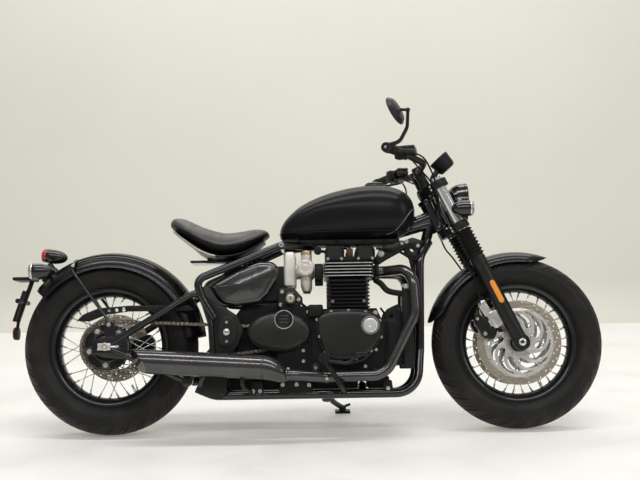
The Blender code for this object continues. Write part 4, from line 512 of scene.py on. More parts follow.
def smooth_outline(points, steps=6):
    """A closed smooth outline through (x, z) points."""
    points = [Vector((x, 0, z)) for x, z in points]
    path = []
    for i in range(len(points)):
        a, b, c, d = (points[(i + k - 1) % len(points)] for k in range(4))
        for step in range(steps):
            t = step / steps
            p = 0.5 * (2 * b + (c - a) * t + (2 * a - 5 * b + 4 * c - d) * t**2 + (3 * b - a - 3 * c + d) * t**3)
            path.append((p.x, p.z))
    return path


def inset(outline, distance):
    """The (x, z) outline moved inwards by the distance."""
    middle = Vector((sum(p[0] for p in outline), sum(p[1] for p in outline))) / len(outline)
    moved = []
    for number, point in enumerate(outline):
        here = Vector(point)
        way = Vector(outline[(number + 1) % len(outline)]) - Vector(outline[number - 1])
        normal = Vector((-way.y, way.x)).normalized()
        if normal.dot(middle - here) < 0:
            normal = -normal
        moved.append(tuple(here + normal * distance))
    return moved


def cover(outline, base, top, edge, crown=0.0, steps=5, rings=4):
    """A cast cover that stands from y = base to y = top, with a rounded rim and a crowned face."""
    way = 1 if top > base else -1
    rows = [(outline, base), (outline, top - way * edge)]
    for step in range(1, steps + 1):
        a = math.pi / 2 * step / steps
        rows.append((inset(outline, edge * (1 - math.cos(a))), top - way * edge * (1 - math.sin(a))))
    rim = rows[-1][0]
    middle = Vector((sum(p[0] for p in rim), sum(p[1] for p in rim))) / len(rim)
    for step in range(1, rings + 1):
        share = step / (rings + 0.5)
        row = [tuple(Vector(p).lerp(middle, share)) for p in rim]
        rows.append((row, top + way * crown * (1 - (1 - share) ** 2)))
    sections = [[(x, y, z) for x, z in row] for row, y in rows]
    return loft(sections, tip=(middle.x, top + way * crown, middle.y))


def mirrored(shape):
    copy = shape.copy()
    copy.transform(Matrix.Diagonal((1, -1, 1, 1)))
    bmesh.ops.reverse_faces(copy, faces=copy.faces)
    return copy


def moved(shape, matrix):
    shape.transform(matrix)
    return shape


def joined(shape, other):
    """Adds the other shape to the first one."""
    mesh = bpy.data.meshes.new("other")
    other.to_mesh(mesh)
    other.free()
    shape.from_mesh(mesh)
    bpy.data.meshes.remove(mesh)
    return shape


def screw(radius, height, place, sides=24):
    """A socket-head screw: a chamfered head with a hexagonal recess."""
    turns = [2 * math.pi * i / sides for i in range(sides)]
    hexagon = [0.48 / math.cos((a + math.pi / 6) % (math.pi / 3) - math.pi / 6) for a in turns]
    levels = (([1] * sides, 0), ([1] * sides, 0.82), ([0.86] * sides, 1), (hexagon, 1), (hexagon, 0.45))
    sections = []
    for reach, share in levels:
        sections.append(
            [(radius * r * math.cos(a), radius * r * math.sin(a), height * share) for r,
                a in zip(reach, turns)]
        )
    return moved(loft(sections, tip=(0, 0, height * 0.4)), place)


def hex_bolt(radius, height, place):
    """A hexagon head on a round flange."""
    flange = lathe([(0, 0), (radius * 1.25, 0), (radius * 1.2, height * 0.25), (0, height * 0.25)], 24)
    head = bmesh.new()
    bmesh.ops.create_cone(
        head, cap_ends=True, segments=6, radius1=radius, radius2=radius, depth=height * 0.8, matrix=at(0, 0,
            height * 0.6)
    )
    rim = [edge for edge in head.edges if min(point.co.z for point in edge.verts) > height * 0.9]
    bmesh.ops.bevel(head, geom=rim, offset=height * 0.13, affect="EDGES", segments=1, profile=0.5,
        material=-1)
    return moved(joined(flange, head), place)


def turned_out(shape):
    """Turns the faces of each body in the shape outwards, by the sign of its volume."""
    bmesh.ops.recalc_face_normals(shape, faces=shape.faces)
    for first in shape.faces:
        first.tag = False
    for first in shape.faces:
        if first.tag:
            continue
        first.tag = True
        island = [first]
        for face in island:
            for line in face.edges:
                for near in line.link_faces:
                    if not near.tag:
                        near.tag = True
                        island.append(near)
        middle = sum((face.calc_center_median() for face in island), Vector()) / len(island)
        volume = 0.0
        for face in island:
            corners = [point.co - middle for point in face.verts]
            volume += sum(corners[0].dot(a.cross(b)) for a, b in zip(corners[1:], corners[2:]))
        if volume < 0:
            bmesh.ops.reverse_faces(shape, faces=island)


def show(name, parts, body, replaces=(), smooth=38, subdivide=0, edge=0.0):
    """One finished piece from (shape, finish) pairs, standing on its body."""
    mesh = bpy.data.meshes.new(name)
    whole = bmesh.new()
    looks = []
    for shape, look in parts:
        if look not in looks:
            looks.append(look)
            mesh.materials.append(Look.all[look].material)
        turned_out(shape)
        for face in shape.faces:
            face.material_index = looks.index(look)
            face.smooth = True
        joined(whole, shape)
    whole.transform(BIKE)
    whole.to_mesh(mesh)
    whole.free()
    mesh.set_sharp_from_angle(angle=math.radians(smooth))
    made = bpy.data.objects.new(name, mesh)
    bpy.context.collection.objects.link(made)
    if edge:
        change = made.modifiers.new("edge", "BEVEL")
        change.width = edge
        change.segments = 2
        change.limit_method = "ANGLE"
        change.angle_limit = math.radians(35)
    if subdivide:
        change = made.modifiers.new("subdivide", "SUBSURF")
        change.levels = change.render_levels = subdivide
    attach(made, body)
    if replaces:
        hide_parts(*replaces)
    return made


# Wheels
TYRES = {
    # name: radius, crown radius, half width, rim half width
    "front": (0.317, 0.074, 0.065, 0.040),
    "rear": (0.323, 0.090, 0.075, 0.052),
}
RIM_SEAT, RIM_FLANGE, RIM_WELL = 0.203, 0.215, 0.190
PITCHES = 30  # tread blocks round a tyre
GROOVE_DEPTH = 0.0045
# Columns of a tread pitch: share of the pitch, then depth of the left and the right groove there
TREAD_COLUMNS = (
    (0.00, 0, 0), (0.03, 1, 0), (0.13, 1, 0), (0.16, 0, 0), (0.24, 0, 0), (0.27, 0, 0.7), (0.31, 0, 0.7),
    (0.34, 0, 0), (0.50, 0, 0), (0.53, 0, 1), (0.63, 0, 1), (0.66, 0, 0), (0.74, 0, 0), (0.77, 0.7, 0),
    (0.81, 0.7, 0), (0.84, 0, 0),
)


def tyre(wheel):
    """A round-shouldered tyre whose slanting tread grooves are cut in its mesh."""
    radius, crown, half_width, rim_half = TYRES[wheel]
    hub = radius - crown
    top = math.asin((half_width - 0.004) / crown)
    tread = []
    for step in range(15):
        a = top * step / 14
        tread.append((hub + crown * math.cos(a), crown * math.sin(a)))
    bead_y = rim_half - 0.0075
    wall = flowing(
        [(tread[-1][0], 0, tread[-1][1]), (radius - 0.045, 0, half_width - 0.0012),
            (radius - 0.058, 0, half_width - 0.0006),
         (radius - 0.078, 0, half_width - 0.005), (RIM_FLANGE + 0.008, 0, rim_half + 0.006)], 4
    )
    wall = [(p.x, p.z) for p in wall[1:]] + [
        (RIM_FLANGE + 0.006, rim_half + 0.0035), (RIM_FLANGE + 0.0015, rim_half - 0.004),
        (RIM_FLANGE - 0.002, bead_y), (RIM_SEAT + 0.001, bead_y),
    ]
    ribs = {len(tread) + 3: 0.0012, len(tread) + 4: 0.0012, len(tread) + 9: 0.0008}
    half = tread + [(r, y + ribs.get(len(tread) + n, 0)) for n, (r, y) in enumerate(wall)]
    inner = [(RIM_SEAT + 0.001, bead_y - 0.011), (radius - 0.050, half_width - 0.013), (radius - 0.014, 0)]
    side = [(r, y, n) for n, (r, y) in enumerate(half)] + [(r, y, 99) for r, y in inner]
    profile = [(r, y, n) for r, y, n in reversed(side[1:])] + [(r, -y, -n) for r, y, n in side[:-1]]
    shape = bmesh.new()
    row = shape.verts.layers.int.new("row")
    outlined(shape, [(r, 0, y) for r, y, n in profile])
    for point, (r, y, n) in zip(shape.verts, profile):
        point[row] = n
    columns = len(TREAD_COLUMNS)
    pitch = 2 * math.pi / PITCHES
    bmesh.ops.spin(
        shape, geom=shape.verts[:] + shape.edges[:], cent=(0, 0, 0), axis=(0, 0,
            1), angle=pitch, steps=columns
    )
    for point in shape.verts:
        radius, n = point.co.xy.length, abs(point[row])
        column = round(math.atan2(point.co.y, point.co.x) / pitch * columns)
        share, left, right = (*TREAD_COLUMNS, (1.0, 0, 0))[column]
        depth = (left if point[row] > 0 else right) * GROOVE_DEPTH
        depth *= 0 if n > 15 or n < 3 else min(1.0, (n - 2) / 2, (16 - n) / 1.5)
        turn = pitch * share + math.radians(9) * (min(n, 15) / 14) ** 1.5
        point.co.xy = (radius - depth) * math.cos(turn), (radius - depth) * math.sin(turn)
    bmesh.ops.spin(
        shape, geom=shape.verts[:] + shape.edges[:] + shape.faces[:], cent=(0, 0, 0), axis=(0, 0, 1),
        angle=2 * math.pi - pitch, steps=PITCHES - 1, use_duplicate=True,
    )
    bmesh.ops.remove_doubles(shape, verts=shape.verts, dist=1e-5)
    return moved(shape, Matrix.Rotation(math.radians(90), 4, "X"))


def rim(wheel, flange_y, flange_radius, barrel, ends, spokes=32, turn=0.0):
    """A black wire wheel: rolled rim, dimples, nipples, crossed spokes with elbows, and a turned hub."""
    w = TYRES[wheel][3]
    lip = w - 0.002
    profile = [
        (RIM_FLANGE - 0.001, lip - 0.003), (RIM_FLANGE + 0.002, lip - 0.001), (RIM_FLANGE + 0.0015,
            lip + 0.0015),
        (RIM_FLANGE - 0.002, lip + 0.002), (RIM_SEAT + 0.001, lip - 0.0015), (RIM_SEAT - 0.005, w - 0.008),
        (RIM_WELL + 0.004, w - 0.016), (RIM_WELL, w - 0.023), (RIM_WELL - 0.0005,
            0.006), (RIM_WELL - 0.0025, 0),
    ]
    inside = [(RIM_WELL + 0.003, w - 0.022), (RIM_SEAT - 0.003, w - 0.010), (RIM_SEAT, w - 0.007)]
    outer = profile + [(r, -y) for r, y in reversed(profile[:-1])]
    back = [(r, -y) for r, y in reversed(inside)] + inside
    parts = [(lathe(outer + back, 120, ALONG_Y, closed=True), "rim_black")]
    low, high = ends
    bore = 0.0105
    hub = soft(
        [(bore, low), (barrel * 0.86, low), (flange_radius, -flange_y - 0.008),
            (flange_radius, -flange_y + 0.002),
         (barrel, -flange_y + 0.014), (barrel * 0.9, 0), (barrel, flange_y - 0.014), (flange_radius,
             flange_y - 0.002),
         (flange_radius, flange_y + 0.008), (barrel * 0.86, high), (bore, high)], 0.004, 3
    )
    parts.append((lathe(hub, 64, ALONG_Y, closed=True), "satin_black"))
    for number in range(spokes):
        side = 1 if number % 2 else -1
        lead = 1 if (number // 2) % 2 else -1
        rim_angle = (number + 0.5) * 2 * math.pi / spokes + turn
        hub_angle = rim_angle + lead * math.radians(52)
        hub_r = flange_radius - 0.006
        start = Vector((hub_r * math.cos(hub_angle), side * (flange_y + lead * 0.0066),
            hub_r * math.sin(hub_angle)))
        end = Vector((RIM_WELL * math.cos(rim_angle), side * 0.006, RIM_WELL * math.sin(rim_angle)))
        way = (end - start).normalized()
        elbow = start - Vector((0, lead * side * 0.012, 0))
        wire = rounded([elbow, start, end], 0.004, 4)
        parts.append((sweep(wire, 0.00175, 8), "spoke_steel"))
        nipple = lathe([(0, -0.020), (0.0021, -0.020), (0.0034, -0.016), (0.0034, 0.001), (0, 0.003)], 10)
        parts.append((moved(nipple, aimed(way, end)), "spoke_steel"))
        dimple = lathe([(0, 0.004), (0.0075, 0.004), (0.0062, -0.0012), (0.0040, -0.0022), (0, -0.0022)],
            14)
        parts.append((moved(dimple, aimed(way, end - way * 0.001)), "rim_black"))
    valve = [(0, -0.034), (0.0038, -0.033), (0.0040, -0.022), (0.0048, -0.021), (0.0060, 0), (0, 0.001)]
    angle = math.radians(-62)
    out = Vector((math.cos(angle), 0, math.sin(angle)))
    parts.append((lathe(valve, 12, aimed(out, out * (RIM_WELL + 0.001))), "steel_bright"))
    return parts


def swirl_slot(turn):
    """One comma-shaped window of a front disc's carrier."""
    middle = (
        # distance from the axle, turn in degrees, half width
        (0.062, -17, 0.0060), (0.073, -9, 0.0118), (0.086, 1, 0.0112), (0.099, 14, 0.0082), (0.109, 28,
            0.0050), (0.115, 42, 0.0022),
    )
    left, right = [], []
    line = []
    for radius, degrees, half in middle:
        a = math.radians(degrees) + turn
        line.append((Vector((radius * math.cos(a), radius * math.sin(a))), half))
    for number, (place, half) in enumerate(line):
        before = line[max(0, number - 1)][0]
        after = line[min(len(line) - 1, number + 1)][0]
        way = (after - before).normalized()
        normal = Vector((-way.y, way.x))
        left.append(tuple(place + normal * half))
        right.append(tuple(place - normal * half))
    return smooth_outline(left + right[::-1], 4)


def front_disc(side):
    y = side * 0.0615
    swirls = [swirl_slot(2 * math.pi * n / 10) for n in range(10)]
    holes = []
    for number in range(60):
        a = 2 * math.pi * number / 60
        radius = (0.133, 0.141, 0.149)[number % 3]
        holes.append(circle(radius * math.cos(a), radius * math.sin(a), 0.0027, 8))
    bores = []
    for number in range(5):
        a = math.radians(72 * number + 20)
        bores.append(circle(0.052 * math.cos(a), 0.052 * math.sin(a), 0.004, 10))
    carrier = plate([circle(0, 0, 0.1268, 120), circle(0, 0, 0.034, 40), *swirls, *bores], y - 0.002,
        y + 0.002, 0.0006)
    band = plate([circle(0, 0, 0.155, 140), circle(0, 0, 0.1275, 120), *holes], y - 0.0025, y + 0.0025,
        0.0004)
    parts = [(carrier, "front_disc_steel"), (band, "front_disc_steel")]
    for number in range(10):
        a = math.radians(36 * number + 30)
        spot = Vector((0.1271 * math.cos(a), y, 0.1271 * math.sin(a)))
        button = lathe([(0.002, -0.0034), (0.0052, -0.0034), (0.006, -0.0026), (0.006, 0.0026),
            (0.0052, 0.0034), (0.002, 0.0034)], 20, at(*spot) @ ALONG_Y, closed=True)
        parts.append((button, "steel_bright"))
    for number in range(5):
        a = math.radians(72 * number + 20)
        out = side * 0.0025
        spot = (0.052 * math.cos(a), y + out, 0.052 * math.sin(a))
        parts.append((screw(0.0075, 0.005, aimed((0, side, 0), spot)), "steel_bright"))
    return parts


def placed(parts, place):
    return [(moved(shape, Matrix.Translation(place)), look) for shape, look in parts]


def wheels():
    for wheel, axle, body in (("front", FRONT_AXLE, "front_wheel"), ("rear", REAR_AXLE, "rear_wheel")):
        parts = placed([(tyre(wheel), f"{wheel}_tyre_rubber")], axle)
        show(f"{wheel}_tyre_tread", parts, body, [f"{wheel}_tyre"], smooth=28)
    front = rim("front", 0.040, 0.050, 0.036, (-0.0585, 0.0585))
    show("front_wire_wheel", placed(front, FRONT_AXLE), "front_wheel", ["front_wheel_rim"])
    rear = rim("rear", 0.046, 0.066, 0.050, (-0.0955, 0.0855), turn=0.05)
    rear.append((ring(0.030, 0.085, -0.0957, -0.084, 0.002, 64, ALONG_Y), "satin_black"))
    show("rear_wire_wheel", placed(rear, REAR_AXLE), "rear_wheel", ["rear_wheel_rim"])
    for side, name in ((-1, "right"), (1, "left")):
        parts = placed(front_disc(side), FRONT_AXLE)
        show(f"front_brake_disc_{name}", parts, "front_wheel", [f"front_disc_{name}"])
    rear_drive()


def rear_drive():
    """Rear brake disc and the sprocket with its bolts."""
    y = 0.0885
    windows, holes = [], []
    for number in range(6):
        a = math.radians(60 * number)
        arc = [(0.062, -19), (0.080, -21), (0.083, 0), (0.080, 21), (0.062, 19), (0.060, 0)]
        outline = [(r * math.cos(a + math.radians(d)), r * math.sin(a + math.radians(d))) for r, d in arc]
        windows.append(smooth_outline(outline, 4))
    for number in range(48):
        a = 2 * math.pi * number / 48
        radius = (0.098, 0.1075, 0.118)[number % 3]
        holes.append(circle(radius * math.cos(a), radius * math.sin(a), 0.0026, 8))
    disc = plate([circle(0, 0, 0.1275, 120), circle(0, 0, 0.030, 40), *windows, *holes], y - 0.0025,
        y + 0.0025, 0.0005)
    parts = [(disc, "rear_disc_steel")]
    for number in range(5):
        a = math.radians(72 * number)
        spot = (0.045 * math.cos(a), y + 0.0025, 0.045 * math.sin(a))
        parts.append((screw(0.0065, 0.005, aimed((0, 1, 0), spot)), "steel_bright"))
    show("rear_brake_disc", placed(parts, REAR_AXLE), "rear_wheel", ["rear_disc"])
    tip = pitch_radius(37) - CHAIN_ROLLER
    outline = []
    for tooth in range(37):
        for share, drop in ((0.0, 0.0), (0.16, 0.0), (0.34, 0.0035), (0.58, 0.0052), (0.82, 0.0035)):
            a = (tooth + share) * 2 * math.pi / 37
            outline.append(((tip - drop) * math.cos(a), (tip - drop) * math.sin(a)))
    windows = []
    for number in range(5):
        a = math.radians(72 * number + 14)
        arc = [(0.060, -20), (0.078, -22), (0.081, 0), (0.078, 22), (0.060, 20), (0.058, 0)]
        points = [(r * math.cos(a + math.radians(d)), r * math.sin(a + math.radians(d))) for r, d in arc]
        windows.append(smooth_outline(points, 4))
    sprocket = plate([outline, circle(0, 0, 0.0505, 48), *windows], CHAIN_Y - 0.0035, CHAIN_Y + 0.0035,
        0.0005)
    parts = [(sprocket, "dark_steel")]
    for number in range(5):
        a = math.radians(72 * number + 50)
        spot = (0.066 * math.cos(a), CHAIN_Y - 0.0035, 0.066 * math.sin(a))
        parts.append((hex_bolt(0.0078, 0.0085, aimed((0, -1, 0), spot)), "steel_bright"))
    show("rear_toothed_sprocket", placed(parts, REAR_AXLE), "rear_wheel", ["rear_sprocket"])


# Chain
CHAIN_Y = -0.100
CHAIN_PITCH = 0.015875
CHAIN_ROLLER = 0.0081
FRONT_SPROCKET = Vector((0.566, 0.347))
TEETH = {"rear": 37, "front": 17}


def pitch_radius(teeth):
    return CHAIN_PITCH / (2 * math.sin(math.pi / teeth))


def chain_places():
    """Pin centres round both sprockets, one link apart."""
    big, small = pitch_radius(TEETH["rear"]), pitch_radius(TEETH["front"])
    rear = Vector((REAR_AXLE.x, REAR_AXLE.z))
    line = FRONT_SPROCKET - rear
    tilt = math.atan2(line.y, line.x)
    wrap = math.asin((big - small) / line.length)
    run = math.sqrt(line.length**2 - (big - small) ** 2)
    top, bottom = tilt + math.pi / 2 - wrap, tilt - math.pi / 2 + wrap
    rear_arc, front_arc = big * (math.pi + 2 * wrap), small * (math.pi - 2 * wrap)
    total = rear_arc + front_arc + 2 * run
    links = 2 * round(total / CHAIN_PITCH / 2)

    def out(angle):
        return Vector((math.cos(angle), math.sin(angle)))

    places = []
    for link in range(links):
        s = link * total / links
        if s < run:
            places.append(rear + big * out(top) + out(top - math.pi / 2) * s)
        elif s < run + front_arc:
            places.append(FRONT_SPROCKET + small * out(top - (s - run) / small))
        elif s < 2 * run + front_arc:
            places.append(FRONT_SPROCKET + small * out(bottom) + out(bottom - math.pi / 2) * (s - run - front_arc))
        else:
            places.append(rear + big * out(bottom - (s - 2 * run - front_arc) / big))
    return places


def link_plate(first, second, y, thickness):
    """One waisted link plate between two pins."""
    way = (second - first).normalized()
    normal = Vector((-way.y, way.x))
    outline = []
    for centre, start in ((second, -75), (first, 105)):
        for step in range(6):
            a = math.radians(start + 30 * step)
            outline.append(centre + (way * math.cos(a) + normal * math.sin(a)) * 0.0068)
    middle = (first + second) / 2
    outline.insert(6, middle + normal * 0.0050)
    outline.append(middle - normal * 0.0050)
    return raised([(p.x, y - thickness / 2, p.y) for p in outline], (0, thickness, 0))


def chain():
    places = chain_places()
    parts = []
    for number, first in enumerate(places):
        second = places[(number + 1) % len(places)]
        spread = 0.0056 if number % 2 else 0.0074
        for side in (-1, 1):
            parts.append((link_plate(first, second, CHAIN_Y + side * spread, 0.0016), "chain_steel"))
        pin = lathe([(0, -0.0098), (0.0024, -0.0095), (0.0024, 0.0095), (0, 0.0098)], 10,
            at(first.x, CHAIN_Y, first.y) @ ALONG_Y)
        parts.append((pin, "steel_bright"))
        roller = lathe([(0, -0.0046), (0.0045, -0.0046), (0.0045, 0.0046), (0, 0.0046)], 12,
            at(first.x, CHAIN_Y, first.y) @ ALONG_Y)
        parts.append((roller, "chain_steel"))
    show("drive_chain", parts, "chassis", ["chain"])


# Stage, light and camera
def studio():
    wall_y, far, cove = 2.55, 14.0, 0.25
    profile = [(-9.0, 0.0), (wall_y - cove, 0.0)]
    for step in range(1, 9):
        a = math.pi / 2 * step / 8
        profile.append((wall_y - cove + cove * math.sin(a), cove * (1 - math.cos(a))))
    profile.append((wall_y, 7.0))
    floor = Look("floor", (0.80, 0.79, 0.76), 0.5)
    floor.tint(floor.noise(3, 6), (0.70, 0.69, 0.66), (0.78, 0.775, 0.75), (0.82, 0.815, 0.80))
    floor.bump(floor.noise(160, 4), 0.0006)
    floor.glow((1.0, 0.96, 0.90), 0.20)
    wall = Look("wall", (0.66, 0.65, 0.57), 0.75)
    wall.tint(wall.noise(1.2, 4), (0.645, 0.635, 0.56), (0.675, 0.665, 0.585))
    wall.glow((1.0, 0.98, 0.86), 0.14)
    wall.one_sided()
    mesh = bpy.data.meshes.new("studio_floor")
    shape = bmesh.new()
    line = outlined(shape, [(-far, y, z) for y, z in profile], closed=False)
    line += outlined(shape, [(-far, wall_y - cove, 0.0), (-far, 12.0, 0.0)], closed=False)
    grown = bmesh.ops.extrude_edge_only(shape, edges=line)["geom"]
    bmesh.ops.translate(shape, vec=(2 * far, 0, 0),
        verts=[part for part in grown if isinstance(part, bmesh.types.BMVert)])
    shape.normal_update()
    for face in shape.faces:
        face.smooth = True
        face.material_index = 1 if face.calc_center_median().z > 0.001 else 0
        if face.normal.z < face.normal.y:
            face.normal_flip()
    shape.to_mesh(mesh)
    for look in (floor, wall):
        mesh.materials.append(look.material)
    made = bpy.data.objects.new("studio_floor", mesh)
    bpy.context.collection.objects.link(made)
    world = bpy.data.worlds.new("room")
    world.use_nodes = True
    world.node_tree.nodes["Background"].inputs["Color"].default_value = (0.95, 0.96, 0.92, 1)
    world.node_tree.nodes["Background"].inputs["Strength"].default_value = 0.28
    bpy.context.scene.world = world
    lamps = (
        # name, place, size across and deep, power, aim
        ("overhead", (0.0, -0.7, 4.2), (5.2, 0.45), 95, (0, 0, 0.4)),
        ("camera_side", (0.0, -3.7, 3.3), (4.6, 0.30), 52, (0, 0, 0.4)),
        ("front_side", (3.6, -2.2, 2.2), (0.5, 1.6), 16, (0.2, 0, 0.5)),
        ("behind", (0.0, 1.9, 3.6), (5.0, 0.8), 50, (0, 0.9, 0.3)),
    )
    for name, place, size, power, aim in lamps:
        light = bpy.data.lights.new(name, "AREA")
        light.shape = "RECTANGLE"
        light.size, light.size_y = size
        light.energy = power
        lamp = bpy.data.objects.new(name, light)
        lamp.location = place
        lamp.rotation_euler = (Vector(aim) - Vector(place)).to_track_quat("-Z", "Y").to_euler()
        bpy.context.collection.objects.link(lamp)
    bpy.context.scene.view_settings.view_transform = "Standard"


def camera():
    """The photograph's viewing angle, level with the tank on the machine's right side."""
    data = bpy.data.cameras.new("photo_camera")
    data.sensor_width = 36
    data.lens = 1114 * 36 / 640
    made = bpy.data.objects.new("photo_camera", data)
    turn = Matrix.Rotation(math.radians(-4.31), 4, "X") @ Matrix.Rotation(math.radians(90), 4, "X")
    turn = turn @ Matrix.Rotation(math.radians(-0.92), 4, "Z")
    made.matrix_world = Matrix.Translation((0.0542, -4.2717, 1.020)) @ turn
    bpy.context.collection.objects.link(made)
    bpy.context.scene.camera = made


# Frame, swingarm and stand
RAIL_Y, RAIL_Z, PLATE_Y = 0.110, 0.142, 0.142
PIVOT = Vector((0.440, 0, 0.370))
ARM_Y = 0.122
ARM_TOP = Vector((0.334, 0, 0.524))


def xz(outline, radius=0.012, steps=4):
    """A closed (x, z) outline with rounded corners."""
    points = [Vector((x, 0, z)) for x, z in outline]
    middle = (points[-1] + points[0]) / 2
    path = rounded([middle, *points, middle], radius, steps)[:-1]
    return [(p.x, p.z) for p in path]


def frame_side(side):
    cradle = rounded(
        [(1.190, side * 0.030, 0.700), (1.152, side * 0.062, 0.640), (1.143, side * 0.075, 0.300),
         (1.128, side * RAIL_Y, RAIL_Z), (0.392, side * RAIL_Y, RAIL_Z), (0.330, side * 0.128,
             0.170)], 0.085, 10
    )
    face = side * (PLATE_Y + 0.010)
    rail = [(0.760, side * 0.012, 0.6905), (0.640, side * 0.098, 0.688), (0.330, face, 0.560),
        (0.352, face, 0.500), (0.400, face, 0.420)]
    outline = [
        (0.330, 0.520), (0.372, 0.545), (0.420, 0.470), (0.478, 0.430), (0.500, 0.375), (0.478, 0.320),
        (0.440, 0.270), (0.440, 0.150), (0.405, 0.128), (0.330, 0.152), (0.345, 0.200), (0.385,
            0.290), (0.378, 0.400),
    ]
    inner, outer = sorted((side * PLATE_Y, side * (PLATE_Y + 0.008)))
    rear_edge = [(0.352, face, 0.500), (0.384, face, 0.400), (0.390, face, 0.290), (0.352, face, 0.204),
        (0.340, side * 0.135, 0.165)]
    parts = [
        (sweep(cradle, 0.016, 24), "gloss_black"), (bar(rail, 0.0145, 0.035, 20), "gloss_black"),
        (plate([xz(outline, 0.016)], inner, outer, 0.0015), "satin_black"),
        (bar(rear_edge, 0.0105, 0.05, 14), "gloss_black"),
        (bar([(0.415, side * 0.100, RAIL_Z), (0.415, side * 0.146, RAIL_Z)], 0.012), "gloss_black"),
    ]
    cap = [(0.415, 0.325), (0.452, 0.318), (0.474, 0.345), (0.478, 0.392), (0.458, 0.422), (0.425, 0.420),
        (0.408, 0.385)]
    parts.append((cover(smooth_outline(cap, 5), side * (PLATE_Y + 0.0085), side * (PLATE_Y + 0.0135),
        0.004), "case_black"))
    for x, z, r in ((0.441, 0.371, 0.010), (0.441, 0.405, 0.005), (0.441, 0.336, 0.005)):
        parts.append((screw(r, 0.004, aimed((0, side, 0), (x, side * (PLATE_Y + 0.0135), z))),
            "steel_bright"))
    for x, z in ((0.355, 0.528), (0.420, 0.150), (0.420, 0.250)):
        parts.append((screw(0.006, 0.005, aimed((0, side, 0), (x, side * (PLATE_Y + 0.008), z))),
            "dark_steel"))
    low, knee = (0.533, side * 0.104, 0.146), (0.500, side * 0.200, 0.176)
    parts.append((bar([low, knee, (0.500, side * 0.200, 0.2024)], 0.008, 0.02, 14), "satin_black"))
    low, knee = (0.868, side * 0.104, 0.144), (0.850, side * 0.205, 0.172)
    parts.append((bar([low, knee, (0.794, side * 0.205, 0.262)], 0.0095, 0.02, 14), "satin_black"))
    for x, z in ((0.533, 0.157), (0.558, 0.157), (0.640, 0.178), (0.690, 0.178), (0.735, 0.176),
        (1.020, 0.160)):
        parts.append((screw(0.0072, 0.006, aimed((0, side, 0), (x, side * (RAIL_Y + 0.014), z))),
            "steel_bright"))
    for x0, x1 in ((0.520, 0.572), (0.625, 0.750), (1.000, 1.040)):
        tab = xz([(x0, 0.146), (x0 + 0.006, 0.190), (x1 - 0.006, 0.190), (x1, 0.146)], 0.006)
        parts.append((plate([tab], *sorted((side * (RAIL_Y + 0.006), side * (RAIL_Y + 0.014))), 0.001),
            "satin_black"))
    web = xz([(1.086, 0.700), (1.128, 0.716), (1.176, 0.700), (1.160, 0.640), (1.150, 0.560),
        (1.136, 0.560), (1.120, 0.640)], 0.01)
    parts.append((plate([web, circle(1.128, 0.672, 0.010), circle(1.146, 0.610, 0.006)],
        *sorted((side * 0.040, side * 0.046)), 0.001), "satin_black"))
    for x, z in ((1.148, 0.684), (1.106, 0.700), (1.142, 0.583)):
        parts.append((screw(0.0078, 0.006, aimed((0, side, 0), (x, side * 0.046, z))), "steel_bright"))
    return parts


def main_frame():
    head_low = on_fork(-FORK_OFFSET, 0, LOWER_YOKE + 0.021)
    head_high = on_fork(-FORK_OFFSET, 0, UPPER_YOKE - 0.021)
    length = (head_high - head_low).length
    tube = soft(
        [(0.0196, 0), (0.0335, 0), (0.0335, 0.014), (0.0300, 0.018), (0.0300, length - 0.018),
            (0.0335, length - 0.014),
         (0.0335, length), (0.0196, length)], 0.0015, 2
    )
    middle = (head_low + head_high) / 2
    parts = [
        (lathe(tube, 48, aimed(STEER_AXIS, head_low), closed=True), "gloss_black"),
        (bar([middle - STEER_FORWARD * 0.02, (1.060, 0, 0.742), (0.690, 0, 0.722)], 0.024, 0.06, 24),
            "gloss_black"),
        (bar([head_low + STEER_AXIS * 0.040 - STEER_FORWARD * 0.02, (1.000, 0, 0.716)], 0.020),
            "gloss_black"),
        (bar([head_low + STEER_AXIS * 0.050 - STEER_FORWARD * 0.02, (1.178, 0, 0.690)], 0.020),
            "gloss_black"),
        (bar([(0.385, -0.146, 0.505), (0.385, 0.146, 0.505)], 0.010), "gloss_black"),
        (bar([(0.640, -0.096, 0.688), (0.640, 0.096, 0.688)], 0.012), "gloss_black"),
        (bar([(1.146, -0.066, 0.615), (1.146, 0.066, 0.615)], 0.012), "gloss_black"),
        (bar([(0.415, -RAIL_Y, RAIL_Z), (0.415, RAIL_Y, RAIL_Z)], 0.012), "gloss_black"),
    ]
    for x in (0.930, 0.690):
        bed = 0.1718
        ends = [(x, -RAIL_Y, RAIL_Z + 0.004), (x, -0.070, bed), (x, 0.070, bed),
            (x, RAIL_Y, RAIL_Z + 0.004)]
        parts.append((bar(ends, 0.0135, 0.03), "gloss_black"))
    for side in (-1, 1):
        parts += frame_side(side)
        parts.append((screw(0.0085, 0.006, aimed((0, side, 0), (0.640, side * 0.108, 0.688))),
            "steel_bright"))
    stand = Vector((0.800, 0.158, 0.138))
    axis = BIKE.inverted().to_3x3() @ Vector(JOINTS["stand_fold"]["axis"])
    place = aimed(axis, stand)
    base = stand - axis * 0.0235
    parts += [
        (drum(0.018, -0.028, -0.0125, 0.001, 32, place),
            "satin_black"), (drum(0.007, -0.020, 0.016, 0.001, 24, place), "steel_bright"),
        (hex_bolt(0.0095, 0.007, place @ at(0, 0, 0.0125)), "steel_bright"),
    ]
    for shift in (-0.010, 0.010):
        parts.append((bar([base + Vector((shift * 0.6, 0, 0)), (base.x + shift, RAIL_Y, RAIL_Z - 0.004)],
            0.0075), "satin_black"))
    show("tube_frame", parts, "chassis", ["frame"])


